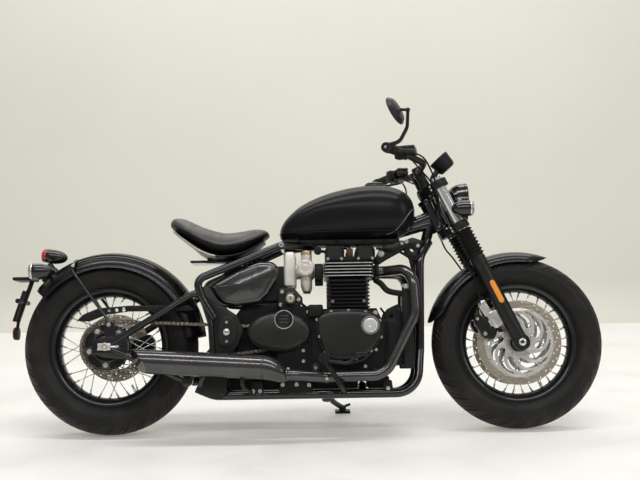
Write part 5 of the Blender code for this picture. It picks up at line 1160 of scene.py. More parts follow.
def side_stand():
    pivot = Vector((0.800, 0.158, 0.138))
    inverse = BIKE.inverted()
    foot = inverse @ Vector(((0.862 + MIDDLE.x), 0.313 + MIDDLE.y, 0.0))
    up = inverse.to_3x3() @ Vector((0, 0, 1))
    ankle = foot + up * 0.020
    axis = inverse.to_3x3() @ Vector(JOINTS["stand_fold"]["axis"])
    middle = pivot.lerp(ankle, 0.5) + Vector((-0.006, 0, -0.003))
    leg = flowing([pivot, middle, ankle], 10)
    radii = [0.0125 - 0.003 * i / (len(leg) - 1) for i in range(len(leg))]
    pad = box((-0.030, -0.022, 0), (0.030, 0.022, 0.0095), 0.003, 3)
    pad.transform(Matrix.Translation(foot) @ Matrix.Rotation(LEAN, 4, "X"))
    head = ring(0.0075, 0.018, -0.012, 0.012, 0.001, 32, aimed(axis, pivot))
    tang = bar([ankle + up * 0.004 + Vector((0.004, 0.004, 0)), ankle + Vector((0.030, 0.016, 0.012))],
        0.005)
    parts = [(sweep(leg, radii, 20), "satin_black"), (pad, "satin_black"), (head, "satin_black"),
        (sweep([foot + up * 0.006, ankle + up * 0.008], 0.014, 20), "satin_black"), (tang, "satin_black")]
    show("side_stand_leg", parts, "stand", ["side_stand"])


def swingarm():
    parts = []
    for side in (-1, 1):
        shift = Vector((0, side * ARM_Y, 0))
        axle = REAR_AXLE + shift
        cage = [axle, ARM_TOP + shift, PIVOT + shift, Vector((0.295, 0, 0.196)) + shift, axle]
        parts.append((bar(cage, 0.0130, 0.035, 20), "gloss_black"))
        z = REAR_AXLE.z
        outline = xz([(-0.050, z - 0.024), (-0.050, z + 0.022), (-0.010, z + 0.037), (0.062, z + 0.052),
            (0.082, z + 0.02), (0.082, z - 0.02), (0.062, z - 0.046), (-0.010, z - 0.037)], 0.010)
        slot = xz([(-0.034, z - 0.0125), (-0.034, z + 0.0125), (0.034, z + 0.0125), (0.034, z - 0.0125)],
            0.010)
        faces = sorted((side * (ARM_Y - 0.009), side * (ARM_Y + 0.0115)))
        parts.append((plate([outline, slot], *faces, 0.002), "gloss_black"))
        face = side * (ARM_Y + 0.0120)
        block = box((-0.027, *sorted((face - side * 0.004, face + side * 0.011))[:1], z - 0.0125),
            (0.020, sorted((face - side * 0.004, face + side * 0.011))[1], z + 0.0125), 0.002)
        parts.append((block, "alloy_turned"))
        parts.append((lathe([(0, 0), (0.0035, 0), (0.0035, 0.040), (0, 0.040)], 12,
            aimed((1, 0, 0), (0.018, face + side * 0.004, z))), "steel_bright"))
        parts.append((hex_bolt(0.0052, 0.006, aimed((1, 0, 0), (0.040, face + side * 0.004, z))),
            "steel_bright"))
        parts.append((box((0.050, min(face - side * 0.004, face + side * 0.011), z - 0.010),
            (0.060, max(face - side * 0.004, face + side * 0.011), z + 0.010), 0.002), "gloss_black"))
        parts.append((screw(0.0075, 0.006, aimed((0, side, 0),
            (0.012, side * (ARM_Y + 0.0115), z + 0.080))), "steel_bright"))
        lug = xz([(-0.004, z + 0.03), (0.000, z + 0.094), (0.026, z + 0.094), (0.040, z + 0.04)], 0.010)
        parts.append((plate([lug], *faces, 0.002), "gloss_black"))
        rim_of_arm = Vector((0.295, side * ARM_Y, 0.196))
        parts.append((drum(0.020, -0.014, 0.014, 0.002, 28, at(*rim_of_arm) @ ALONG_Y), "gloss_black"))
    parts.append((bar([PIVOT - Vector((0, ARM_Y + 0.012, 0)), PIVOT + Vector((0, ARM_Y + 0.012, 0))],
        0.017), "gloss_black"))
    parts.append((bar([ARM_TOP - Vector((0, ARM_Y, 0)), ARM_TOP + Vector((0, ARM_Y, 0))], 0.012),
        "gloss_black"))
    bolt = [(0, -0.156), (0.0125, -0.156), (0.0125, 0.156), (0, 0.156)]
    parts.append((lathe(soft(bolt, 0.002), 32, at(*PIVOT) @ ALONG_Y), "steel_bright"))
    body = []
    for degrees, radius in ((-15, 0.088), (-16, 0.138), (-5, 0.149), (11, 0.149), (22, 0.138), (21, 0.088)):
        a = math.radians(degrees)
        body.append((radius * math.cos(a), REAR_AXLE.z + radius * math.sin(a)))
    body = xz(body, 0.010)
    parts.append((cover(body, 0.0945, 0.121, 0.006, 0.001), "satin_black"))
    parts.append((cover(body, 0.0825, 0.0705, 0.004), "satin_black"))
    bridge = [(0.1335, 0.284), (0.1385, 0.284), (0.148, 0.318), (0.1385, 0.362), (0.1315, 0.362),
        (0.1345, 0.318)]
    parts.append((plate([xz(bridge, 0.003)], 0.071, 0.120, 0.001), "satin_black"))
    show("swingarm_cage", parts, "chassis", ["swingarm"])
    half = ARM_Y + 0.0133
    axle = soft([(0.0055, -half - 0.0155), (0.013, -half - 0.0155), (0.0145, -half - 0.014),
        (0.0145, -half + 0.002), (0.010, -half + 0.003), (0.010, half - 0.003), (0.0145, half - 0.002),
        (0.0145, half + 0.014), (0.013, half + 0.0155), (0.0055, half + 0.0155)], 0.0006, 2)
    place = at(*REAR_AXLE) @ ALONG_Y
    parts = [(lathe([(0, -half - 0.008), *axle, (0, half + 0.008)], 40, place), "alloy_turned")]
    for side in (-1, 1):
        ends = sorted((side * (half + 0.0150), side * (half + 0.0162)))
        parts.append((ring(0.0060, 0.0100, *ends, 0.0004, 32, place), "brass"))
        parts.append((drum(0.0054, *sorted((side * (half + 0.007), side * (half + 0.0095))), 0.0004, 24,
            place), "rubber_black"))
    show("rear_axle_bolt", parts, "chassis", ["rear_axle"])
    top = Vector((0.640, 0, 0.688))
    way = (top - ARM_TOP).normalized()
    length = (top - ARM_TOP).length
    place = aimed(way, ARM_TOP)
    coil = []
    for step in range(14 * 7 + 1):
        a = 2 * math.pi * step / 14
        coil.append(place @ Vector((0.0215 * math.cos(a), 0.0215 * math.sin(a),
            0.108 + 0.142 * step / (14 * 7))))
    body = soft([(0, 0.014), (0.012, 0.014), (0.012, 0.100), (0.025, 0.101), (0.025, 0.106), (0.012, 0.108),
        (0.012, 0.249), (0.025, 0.250), (0.025, 0.255), (0.013, 0.258), (0.013, length - 0.014),
        (0, length - 0.014)], 0.0015, 2)
    parts = [(lathe(body, 32, place), "satin_black"), (sweep(coil, 0.0045, 12), "dark_steel")]
    show("rear_shock_unit", parts, "chassis", ["rear_shock"])


# Mudguards and tail
def mudguard(outer, half_width, depth, thickness, arc, centre, tips, steps, ridge, sharp=(0.35, 0.35)):
    """A curved guard over a wheel with a raised centre and rolled lips."""
    section = []
    for step in range(25):
        a = math.radians(-90 + 180 * step / 24)
        lift = ridge * max(0.0, math.cos(a * 2.2)) if abs(a) < 0.7 else 0.0
        section.append((outer - depth + (depth - ridge) * math.cos(a) + lift,
            half_width * math.sin(a) * (1 if abs(a) < 1.5 else 1.004)))
    inside = [(r - thickness if abs(y) < half_width * 0.97 else r + 0.0006,
        y * (1 - thickness / half_width)) for r, y in section]
    profile = section + inside[::-1]
    start, end = math.radians(arc[0]), math.radians(arc[1])
    rings = []
    for step in range(steps + 1):
        a = start + (end - start) * step / steps
        share = 1.0
        for tip, least, gone in zip(tips, sharp, (math.degrees(a - start), math.degrees(end - a))):
            if tip:
                share = min(share, least + (1 - least) * math.sin(min(1.0, gone / tip) * math.pi / 2))
        row = []
        for radius, y in profile:
            r = outer - (outer - radius) * share
            row.append(Vector((r * math.sin(a), y * (0.25 + 0.75 * share), r * math.cos(a))) + centre)
        rings.append(row)
    return loft(rings)


def mudguards():
    guard = mudguard(0.340, 0.0735, 0.042, 0.0024, (-76, 21), FRONT_AXLE, (12, 15), 80, 0.0, (0.30, 0.10))
    parts = [(guard, "fender_black")]
    foot = on_fork(0.003, 0, 0.3147)
    for side in (-1, 1):
        ends = sorted((side * 0.060, side * 0.0752))
        parts.append((drum(0.0125, *ends, 0.001, 28, at(*foot) @ ALONG_Y), "fender_black"))
        parts.append((screw(0.006, 0.004, aimed((0, -side, 0), foot + Vector((0, side * 0.060, 0)))),
            "steel_bright"))
    show("front_mudguard", parts, "steering", ["front_fender"])
    guard = mudguard(0.354, 0.092, 0.062, 0.0024, (-52, 84), REAR_AXLE, (0, 0), 80, 0.0035)
    parts = [(guard, "fender_black")]
    for side in (-1, 1):
        beads = []
        for step in range(61):
            a = math.radians(-50 + 132 * step / 60)
            beads.append(Vector((0.3405 * math.sin(a), side * 0.0640, 0.3405 * math.cos(a))) + REAR_AXLE)
        parts.append((sweep(beads, 0.0028, 10), "fender_black"))
    loop = []
    for step in range(25):
        a = math.radians(-90 + 7.5 * step)
        loop.append(Vector((-0.128, 0.102 * math.sin(a), 0.604 + 0.048 * math.cos(a))))
    feet = [Vector((0.014, side * ARM_Y, 0.412)) for side in (-1, 1)]
    parts.append((sweep([feet[0], *loop, feet[1]], 0.0060, 16), "gloss_black"))
    for side, foot in zip((-1, 1), feet):
        parts.append((drum(0.009, -0.006, 0.006, 0.001, 20, at(*foot) @ ALONG_Y), "gloss_black"))
        top = loop[3] if side < 0 else loop[-4]
        parts.append((screw(0.0055, 0.004, aimed((0, side, 0.4), top + Vector((0, side * 0.005, 0.002)))),
            "steel_bright"))
    show("rear_mudguard", parts, "chassis", ["rear_fender"])


def over_rear(degrees, radius, y=0.0):
    a = math.radians(degrees)
    return REAR_AXLE + Vector((radius * math.sin(a), y, radius * math.cos(a)))


def bullet(radius, length, nose, place, shell, glass, bright=True):
    """A bullet lamp: pointed nose, drum, bezel and a domed lens."""
    start = length * nose
    profile = [(0, 0)]
    for step in range(1, 11):
        a = step / 10 * math.pi / 2
        profile.append((radius * math.sin(a) ** 0.9, start * (1 - math.cos(a))))
    body = profile + soft([(radius, length * 0.60), (radius, length * 0.80), (radius * 0.90, length * 0.80),
        (0, length * 0.78)], 0.001, 2)
    dome = [(0, length * 0.79), (radius * 0.96, length * 0.79),
        (radius * 0.97, length * (0.845 if bright else 0.90))]
    for step in range(8):
        a = math.radians(12 + 78 * step / 7)
        dome.append((radius * 0.95 * math.cos(a), length * (0.90 + 0.10 * math.sin(a))))
    dome[-1] = (0, length)
    parts = [(lathe(body, 48, place), shell), (lathe(dome, 48, place), glass)]
    if bright:
        parts.append((ring(radius * 0.93, radius, length * 0.80, length * 0.855, 0.0006, 48, place),
            "steel_bright"))
    return parts


def tail():
    back = Matrix.Rotation(math.radians(-90), 4, "Y")
    rise = Matrix.Rotation(math.radians(8), 4, "Y")
    parts = bullet(0.027, 0.098, 0.55, at(-0.170, 0, 0.662) @ rise @ back, "gloss_black", "lens_red", False)
    parts.append((bar([over_rear(-36.9, 0.3545), over_rear(-36.9, 0.398)], 0.010), "gloss_black"))
    parts.append((bar([over_rear(-35, 0.364), over_rear(-46, 0.364)], 0.0072), "satin_black"))
    parts.append((bar([(-0.2385, -0.115, 0.6010), (-0.2385, 0.115, 0.6010)], 0.008), "satin_black"))
    for side in (-1, 1):
        parts += bullet(0.029, 0.088, 0.6, at(-0.198, side * 0.120, 0.604) @ back, "gloss_black",
            "lens_clear")
        parts.append((screw(0.005, 0.004, aimed((0, 0, 1), (-0.2385, side * 0.06, 0.6085))),
            "steel_bright"))
    stem = [(-0.2385, 0, 0.600), (-0.300, 0, 0.585), (-0.310, 0, 0.555), (-0.352, 0, 0.440)]
    parts.append((bar(stem, 0.0085, 0.02, 16), "satin_black"))
    parts.append((box((-0.362, -0.055, 0.578), (-0.290, 0.055, 0.590), 0.003, 3), "plastic_black"))
    parts.append((bar([(-0.336, -0.075, 0.500), (-0.336, 0.075, 0.500)], 0.009, 0.01, 14), "plastic_black"))
    drop = box((-0.006, -0.040, -0.120), (0.004, 0.040, 0), 0.003, 3)
    parts.append((moved(drop, at(-0.322, 0, 0.540) @ Matrix.Rotation(math.radians(18), 4, "Y")),
        "plastic_black"))
    parts.append((drum(0.024, -0.009, 0.006, 0.001, 40, at(-0.358, 0, 0.382) @ back), "plastic_black"))
    parts.append((lathe([(0, 0.006), (0.0215, 0.006), (0.0215, 0.0095), (0.019, 0.010), (0, 0.010)], 40,
        at(-0.358, 0, 0.382) @ back), "lens_red"))
    parts.append((bar([(-0.350, 0, 0.440), (-0.356, 0, 0.395)], 0.006), "plastic_black"))
    parts.append((bar([over_rear(-44.4, 0.3545), over_rear(-44.4, 0.368)], 0.012), "satin_black"))
    for y in (-0.05, 0.05):
        parts.append((screw(0.005, 0.004, aimed((-1, 0, -0.1), (-0.345, y, 0.500))), "steel_bright"))
    show("tail_lamp_set", parts, "chassis", ["tail_lamps"])


# Seat
SEAT_STATIONS = (
    # x, top, bottom, half width
    (0.226, 0.792, 0.764, 0.060), (0.240, 0.803, 0.751, 0.098), (0.262, 0.802, 0.734, 0.122),
    (0.300, 0.787, 0.708, 0.140), (0.350, 0.764, 0.676, 0.150), (0.400, 0.749, 0.656, 0.150),
    (0.440, 0.743, 0.653, 0.143), (0.490, 0.748, 0.664, 0.122), (0.540, 0.756, 0.690, 0.095),
    (0.575, 0.757, 0.716, 0.072), (0.592, 0.748, 0.730, 0.045),
)
TANK_STATIONS = (
    (0.634, 0.752, 0.722, 0.030), (0.642, 0.772, 0.714, 0.058), (0.662, 0.800, 0.710, 0.082),
    (0.705, 0.838, 0.708, 0.104), (0.760, 0.868, 0.708, 0.118), (0.830, 0.893, 0.708, 0.128),
    (0.900, 0.909, 0.708, 0.135), (0.970, 0.917, 0.708, 0.138), (1.030, 0.915, 0.710, 0.136),
    (1.075, 0.904, 0.716, 0.128), (1.108, 0.886, 0.732, 0.112), (1.128, 0.862, 0.756, 0.088),
    (1.138, 0.836, 0.786, 0.052),
)


def stations(table, steps):
    """The table's rows, with smooth rows between them."""
    rows = [Vector(row) for row in table]
    padded = [rows[0] * 2 - rows[1], *rows, rows[-1] * 2 - rows[-2]]
    found = []
    for a, b, c, d in zip(padded, padded[1:], padded[2:], padded[3:]):
        for step in range(steps):
            t = step / steps
            found.append(
                0.5 * (2 * b + (c - a) * t + (2 * a - 5 * b + 4 * c - d) * t**2 + (3 * b - a - 3 * c + d) * t**3)
            )
    return [*found, rows[-1]]


def oval(row, power, count=64, shape_z=None):
    x, top, bottom, half = row
    middle, reach = (top + bottom) / 2, (top - bottom) / 2
    points = []
    for i in range(count):
        a = 2 * math.pi * i / count
        c, s = math.cos(a), math.sin(a)
        y = half * math.copysign(abs(c) ** (2 / power), c)
        z = middle + reach * math.copysign(abs(s) ** (2 / power), s)
        if shape_z:
            y, z = shape_z(x, y, z, s)
        points.append(Vector((x, y, z)))
    return points


SEAT_ROUND = 2.7  # how square the seat's sections are, where 2 is an ellipse
SEAM_SHARE = -0.30  # how far the seam lies below the middle, as a share of half the seat's height
PIPING = 0.0022


def seat_level(x, share):
    """The height at x from the seat's bottom, at a share of -1, to its top, at 1."""
    for before, after in zip(SEAT_STATIONS, SEAT_STATIONS[1:]):
        if x <= after[0] or after is SEAT_STATIONS[-1]:
            along = min(1.0, max(0.0, (x - before[0]) / (after[0] - before[0])))
            top, bottom = (a + (b - a) * along for a, b in zip(before[1:3], after[1:3]))
            return (top + bottom) / 2 + (top - bottom) / 2 * share


def stuffed(shape, held, reach, grain):
    """The closed shape filled like a pad: its remeshed skin swells as cloth under pressure.

    held says where the skin is sewn or rests on something, and reach is how far a point may move.
    """
    mesh = bpy.data.meshes.new("stuffed")
    shape.to_mesh(mesh)
    made = bpy.data.objects.new("stuffed", mesh)
    bpy.context.collection.objects.link(made)
    remesh = made.modifiers.new("remesh", "REMESH")
    remesh.mode = "VOXEL"
    remesh.voxel_size = grain
    made.data = bpy.data.meshes.new_from_object(made.evaluated_get(bpy.context.evaluated_depsgraph_get()))
    made.modifiers.clear()
    sewn = made.vertex_groups.new(name="sewn")
    sewn.add([point.index for point in made.data.vertices if held(point.co)], 1.0, "REPLACE")
    cloth = made.modifiers.new("cloth", "CLOTH").settings
    cloth.vertex_group_mass = "sewn"
    cloth.use_pressure = True
    cloth.uniform_pressure_force = 4
    cloth.effector_weights.gravity = 0
    for number in range(1, 21):
        bpy.context.scene.frame_set(number)
    swollen = made.evaluated_get(bpy.context.evaluated_depsgraph_get()).data
    puffed = bmesh.new()
    puffed.from_mesh(made.data)
    for point, there in zip(puffed.verts, swollen.vertices):
        way = there.co - point.co
        point.co += way * min(1.0, reach / max(way.length, 1e-6))
    bpy.context.scene.frame_set(1)
    bpy.data.objects.remove(made)
    bmesh.ops.smooth_vert(puffed, verts=puffed.verts, factor=0.5, use_axis_x=True, use_axis_y=True,
        use_axis_z=True)
    return puffed


def seat():
    def sag(x, y, z, s):
        if s > 0:
            z -= 0.004 * math.exp(-(((x - 0.43) / 0.08) ** 2)) * math.cos(min(1.0,
                abs(y) / 0.13) * math.pi / 2)
        return y, z

    def held(place):
        sewn = abs(place.z - seat_level(place.x, SEAM_SHARE)) < 0.004
        return sewn or place.z < seat_level(place.x, -0.85)

    swell = 0.0045
    rows = [
        oval((x, top - swell, bottom + swell / 2, half - swell), SEAT_ROUND, 64, sag)
        for x, top, bottom, half in stations(SEAT_STATIONS, 5)
    ]
    cushion = loft(rows)
    cushion = stuffed(cushion, held, 0.006, 0.0045)
    skin = BVHTree.FromBMesh(cushion)
    parts = []
    for side in (-1, 1):
        reach = side * (1 - abs(SEAM_SHARE) ** SEAT_ROUND) ** (1 / SEAT_ROUND)
        rows = [(x, half * reach, seat_level(x, SEAM_SHARE)) for x, _, _,
            half in stations(SEAT_STATIONS[1:], 4)]
        line = [skin.find_nearest(point)[0] for point in rows]
        parts.append((sweep(line, PIPING, 8), "seat_skirt"))
        for before, after in zip(line, line[1:]):
            way = (after - before).normalized() * PIPING
            for share in (0.15, 0.65):
                spot, out, _, _ = skin.find_nearest(before.lerp(after, share) + Vector((0, 0, 0.006)))
                parts.append((sweep([spot - way, spot + way], 0.0006, 6), "rubber_black"))
    # Faces above the seam take the lighter top leather, which is painted sheen; faces below it take the black
    # skirt leather.
    pad = show("seat_cushion", [(cushion, "seat_leather")], "chassis", ["seat_pad"], smooth=60, subdivide=1)
    pad.data.materials.append(Look.all["seat_skirt"].material)
    upright = BIKE.inverted()
    for face in pad.data.polygons:
        place = upright @ face.center
        face.material_index = int(place.z < seat_level(place.x, SEAM_SHARE))
    show("seat_piping", parts, "chassis")
    pan = []
    for x, _, bottom, half in stations(SEAT_STATIONS[1:-1], 4):
        hang = 0.012 * math.exp(-(((x - 0.345) / 0.055) ** 2))
        pan.append(oval((x, bottom - 0.0006, bottom - 0.0085 - hang, half * 0.93), 3.4, 40))
    parts = [(loft(pan[:17]), "seat_alloy"), (loft(pan[16:]), "satin_black")]
    for y in (-0.05, 0.05):
        parts.append((bar([(0.372, y, 0.642), (0.372, y, 0.662)], 0.010), "satin_black"))
    show("seat_pan_alloy", parts, "chassis", ["seat_pan"])
    tongue = box((0.300, -0.052, 0.6315), (0.455, 0.052, 0.6415), 0.003, 3)
    parts = [(tongue, "gloss_black"), (box((0.296, -0.048, 0.6365), (0.340, 0.048, 0.6395), 0.001),
        "gloss_black")]
    for side in (-1, 1):
        arm = [(0.430, side * 0.043, 0.634), (0.560, side * 0.058, 0.655), (0.624, side * 0.052, 0.680)]
        parts.append((bar(arm, 0.008, 0.04, 14), "gloss_black"))
        parts.append((screw(0.006, 0.005, aimed((0, side, 0), (0.560, side * 0.065, 0.656))),
            "steel_bright"))
        parts.append((screw(0.007, 0.005, aimed((0, side, 0), (0.605, side * 0.060, 0.674))),
            "steel_bright"))
    show("seat_carrier", parts, "chassis", ["seat_bracket"])


# Tank
def tank():
    def tuck(x, y, z, s):
        low = max(0.0, min(1.0, (0.742 - z) / 0.030))
        knee = math.exp(-(((x - 0.79) / 0.10) ** 2)) * math.exp(-(((z - 0.775) / 0.045) ** 2))
        return y * (1 - 0.10 * low - 0.075 * knee), z

    rows = [oval(row, 2.4, 72, tuck) for row in stations(TANK_STATIONS, 5)]
    shell = loft(rows)
    parts = [(shell, "tank_black")]
    flange = []
    for side in (-1, 1):
        line = []
        for x, top, bottom, half in stations(TANK_STATIONS, 4):
            z = max(bottom + 0.004, 0.7365)
            middle, reach = (top + bottom) / 2, (top - bottom) / 2
            share = min(0.999, abs(z - middle) / reach)
            y = half * (1 - share**2.4) ** (1 / 2.4)
            line.append(Vector((x, side * y * 0.985, z)))
        flange.append(line)
    parts.append((sweep(flange[0] + flange[1][::-1], 0.0026, 10, closed=True), "tank_black"))
    for side in (-1, 1):
        line = []
        for x, top, bottom, half in stations(TANK_STATIONS[8:], 4):
            rise = min(1.0, max(0.0, (x - 1.030) / 0.108))
            share = abs(2 * (0.07 + 0.60 * rise**2) - 1)
            y = half * (1 - share**2.4) ** (1 / 2.4)
            line.append(Vector((x + 0.0004, side * y, bottom + (0.07 + 0.60 * rise**2) * (top - bottom))))
        parts.append((sweep(line, 0.0017, 8), "edge_grey"))
    cap = soft(
        [(0, 0.9300), (0.030, 0.9300), (0.034, 0.9270), (0.0345, 0.9215), (0.040, 0.9205), (0.0405, 0.9130),
            (0, 0.9130)], 0.0015, 3
    )
    parts.append((lathe(cap, 64, at(0.992, 0, 0)), "gloss_black"))
    parts.append((ring(0.0345, 0.0385, 0.9200, 0.9220, 0.0005, 64, at(0.992, 0, 0)), "dark_steel"))
    for number in range(6):
        a = math.radians(60 * number + 30)
        parts.append((screw(0.0028, 0.0016, at(0.992 + 0.0255 * math.cos(a), 0.0255 * math.sin(a), 0.9300)),
            "steel_bright"))
    parts.append((box((0.984, -0.0045, 0.9298), (1.000, 0.0045, 0.9318), 0.0008), "steel_bright"))
    show("tank_shell", parts, "chassis", ["fuel_tank"], smooth=50)


# Engine
BARREL_X = (0.804, 0.962)
BARREL_HALF = 0.132
CASE_TOP, BARREL_TOP, HEAD_TOP = 0.450, 0.565, 0.618
CLUTCH_OUTLINE = (
    (0.766, 0.411), (0.805, 0.438), (0.886, 0.443), (0.957, 0.434), (0.999, 0.401),
    (1.001, 0.345), (0.942, 0.275), (0.882, 0.261), (0.808, 0.271), (0.774, 0.348),
)


def fin_outline(x0, x1, half, radius=0.022, notch=0.0):
    """A fin's (x, y) outline, with rounded corners and a dip between the two cylinders."""
    corners = [
        (x0, -half), (x1, -half), (x1, -0.018 - notch), (x1 - notch, -0.012), (x1 - notch, 0.012), (x1,
            0.018 + notch),
        (x1, half), (x0, half), (x0, 0.018 + notch), (x0 + notch, 0.012), (x0 + notch, -0.012), (x0,
            -0.018 - notch),
    ]
    points = [Vector((x, y, 0)) for x, y in corners]
    middle = (points[-1] + points[0]) / 2
    path = rounded([middle, *points, middle], radius, 5)[:-1]
    return [(p.x, p.y) for p in path]


def fin(x0, x1, half, z, thickness, look, rim_look=None):
    outline = fin_outline(x0, x1, half, notch=0.007)
    parts = [(raised([(x, y, z) for x, y in outline], (0, 0, thickness)), look)]
    if rim_look:
        inner = inset(outline, 0.0014)
        outer = inset(outline, -0.0002)
        low, high = z - 0.0001, z + thickness + 0.0001
        levels = (inner, low), (outer, low), (outer, high), (inner, high)
        parts.append((loft([[(x, y, level) for x, y in line] for line, level in levels], loop=True),
            rim_look))
    return parts


def cylinders():
    parts = [(box((BARREL_X[0] + 0.014, -BARREL_HALF + 0.016, CASE_TOP + 0.0005),
        (BARREL_X[1] - 0.014, BARREL_HALF - 0.016, BARREL_TOP - 0.0005), 0.008, 3), "cast_black")]
    for number in range(8):
        z = CASE_TOP + 0.006 + 0.0133 * number
        parts += fin(*BARREL_X, BARREL_HALF, z, 0.0026, "case_black")
    for side in (-1, 1):
        for x in (0.826, 0.940):
            parts.append((screw(0.0062, 0.005, aimed((0, side, 0),
                (x, side * (BARREL_HALF - 0.016), 0.478))), "steel_bright"))
    show("cylinder_fins", parts, "chassis", ["barrels"])
    x0, x1 = BARREL_X[0] - 0.010, BARREL_X[1] + 0.014
    half = BARREL_HALF + 0.004
    parts = [(box((x0 + 0.012, -half + 0.013, BARREL_TOP + 0.0005),
        (x1 - 0.012, half - 0.013, HEAD_TOP - 0.0005), 0.006, 3), "cast_black")]
    for number in range(5):
        z = BARREL_TOP + 0.0035 + 0.0115 * number
        parts += fin(x0, x1, half, z, 0.0030, "case_black", "fin_bright")
    for y in (-0.060, 0.060):
        port = soft([(0.0195, -0.012), (0.024, -0.012), (0.024, 0.012), (0.029, 0.013), (0.029, 0.0165),
            (0.0195, 0.0165)], 0.001, 2)
        parts.append((lathe(port, 32, at(x1 - 0.001, y, 0.589) @ ALONG_X, closed=True), "cast_black"))
        for turn in (60, 240):
            a = math.radians(turn)
            spot = (x1 + 0.0155, y + 0.026 * math.cos(a), 0.589 + 0.026 * math.sin(a))
            parts.append((hex_bolt(0.0045, 0.004, aimed((1, 0, 0), spot) @ at(0, 0, -0.004)),
                "steel_bright"))
    show("head_fins", parts, "chassis", ["cylinder_head"])
    parts = [(box((0.802, -0.094, HEAD_TOP + 0.0005), (0.983, 0.094, HEAD_TOP + 0.026), 0.006, 3),
        "cast_black")]
    for x0, x1 in ((0.800, 0.872), (0.912, 0.985)):
        rows = []
        for y in (-0.110, -0.106, -0.098, 0.098, 0.106, 0.110):
            drop = max(0.0, (abs(y) - 0.098)) * 0.9
            line = [(x0 + drop, HEAD_TOP + 0.005 + drop), (x0 + drop, 0.668 - drop),
                (x0 + 0.012, 0.6825 - drop), (x1 - 0.012, 0.6825 - drop), (x1 - drop, 0.668 - drop),
                (x1 - drop, HEAD_TOP + 0.005 + drop)]
            outline = xz(line, 0.009, 4)
            rows.append([Vector((px, y, pz)) for px, pz in outline])
        parts.append((loft(rows), "case_black"))
        for side in (-1, 1):
            for x in (x0 + 0.011, x1 - 0.011):
                parts.append((screw(0.0056, 0.006,
                    aimed((0, side, 0), (x, side * 0.108, HEAD_TOP + 0.016))), "steel_bright"))
    for side in (-1, 1):
        parts.append((box((0.880, min(side * 0.050, side * 0.088), HEAD_TOP + 0.024),
            (0.904, max(side * 0.050, side * 0.088), 0.674), 0.004, 3), "red_brown"))
        parts.append((hose([(0.892, side * 0.062, 0.672), (0.890, side * 0.060, 0.684),
            (0.872, side * 0.045, 0.690)], 0.004), "rubber_black"))
    show("cam_cover", parts, "chassis", ["rocker_cover"])


def flange_bolts(outline, count, y, radius=0.0058, out=0.0, skip=()):
    total = [(Vector(outline[(i + 1) % len(outline)]) - Vector(outline[i])).length for i in range(len(outline))]
    parts, step, run, target = [], sum(total) / count, 0.0, 0.0
    way = 1 if y > 0 else -1
    for i, length in enumerate(total):
        while target < run + length - 1e-9:
            share = (target - run) / length
            x, z = Vector(outline[i]).lerp(Vector(outline[(i + 1) % len(outline)]), share)
            parts.append((screw(radius, 0.006, aimed((0, way, 0), (x, y, z))), "steel_bright"))
            target += step
        run += length
    return parts


def engine_covers():
    outline = smooth_outline(CLUTCH_OUTLINE, 6)
    for side, name, node in ((-1, "clutch_side_cover", "clutch_cover"),
        (1, "alternator_side_cover", "alternator_cover")):
        base = side * 0.1205
        parts = [(cover(inset(outline, -0.0040), base, side * 0.137, 0.003), "case_black")]
        parts.append((cover(inset(outline, 0.004), side * 0.135, side * 0.1665, 0.011, 0.0012),
            "engine_satin"))
        parts += flange_bolts(inset(outline, 0.0015), 11, side * 0.1365)
        if side < 0:
            place = at(0.959, 0, 0.386) @ Matrix.Rotation(math.radians(90), 4, "X")
            bezel = soft([(0.026, 0.160), (0.034, 0.160), (0.034, 0.171), (0.031, 0.1745),
                (0.0265, 0.1735)], 0.001, 2)
            parts.append((lathe(bezel, 64, place, closed=True), "edge_grey"))
            parts.append((lathe(soft([(0, 0.160), (0.0262, 0.160), (0.0262, 0.1725), (0.0225, 0.1745),
                (0.006, 0.1752), (0.004, 0.1738), (0, 0.1738)], 0.0008, 2), 64, place), "alloy_turned"))
            parts.append((bar([(0.812, -0.150, 0.262), (0.882, -0.152, 0.250), (0.930, -0.150, 0.262),
                (0.958, -0.146, 0.286)], 0.006, 0.03, 14), "case_black"))
        else:
            place = at(0.886, 0, 0.352) @ ALONG_Y
            disc = soft([(0, 0.160), (0.056, 0.160), (0.056, 0.1675), (0.050, 0.1685), (0, 0.1685)], 0.002,
                3)
            parts.append((lathe(disc, 72, place), "case_black"))
            for number in range(3):
                a = math.radians(90 + 120 * number)
                spot = (0.886 + 0.050 * math.cos(a), 0.1675, 0.352 + 0.050 * math.sin(a))
                parts.append((screw(0.005, 0.002, aimed((0, 1, 0), spot)), "steel_bright"))
        show(name, parts, "chassis", [node])
    outline = [(0.629 + 0.116 * math.cos(math.pi * n / 32),
        0.368 + 0.070 * math.sin(math.pi * n / 32)) for n in range(64)]
    parts = [(cover(outline, -0.1215, -0.1500, 0.020, 0.0035, 8, 6), "engine_satin")]
    place = at(0.648, 0, 0.412) @ Matrix.Rotation(math.radians(90), 4, "X")
    cap = soft([(0, 0.138), (0.0345, 0.138), (0.0345, 0.152), (0.031, 0.1545), (0.0295, 0.1525),
        (0.010, 0.1525), (0, 0.1525)], 0.001, 2)
    parts.append((lathe(cap, 64, place), "gloss_black"))
    parts.append((ring(0.0315, 0.0345, 0.1530, 0.1552, 0.0006, 64, place), "steel_bright"))
    for z in (0.400, 0.412, 0.424):
        parts.append((box((0.632, -0.1575, z - 0.0035), (0.664, -0.150, z + 0.0035), 0.0015),
            "gloss_black"))
    lip = inset(outline, -0.0012)
    parts.append((cover(lip, -0.1215, -0.1290, 0.002), "case_black"))
    for degrees in (-150, -120, -95, -60, 95, 150):
        a = math.radians(degrees)
        spot = (0.629 + 0.106 * math.cos(a), -0.1310, 0.368 + 0.060 * math.sin(a))
        parts.append((screw(0.0048, 0.004, aimed((0, -1, 0), spot)), "steel_bright"))
    show("drive_side_cover", parts, "chassis", ["sprocket_cover"])


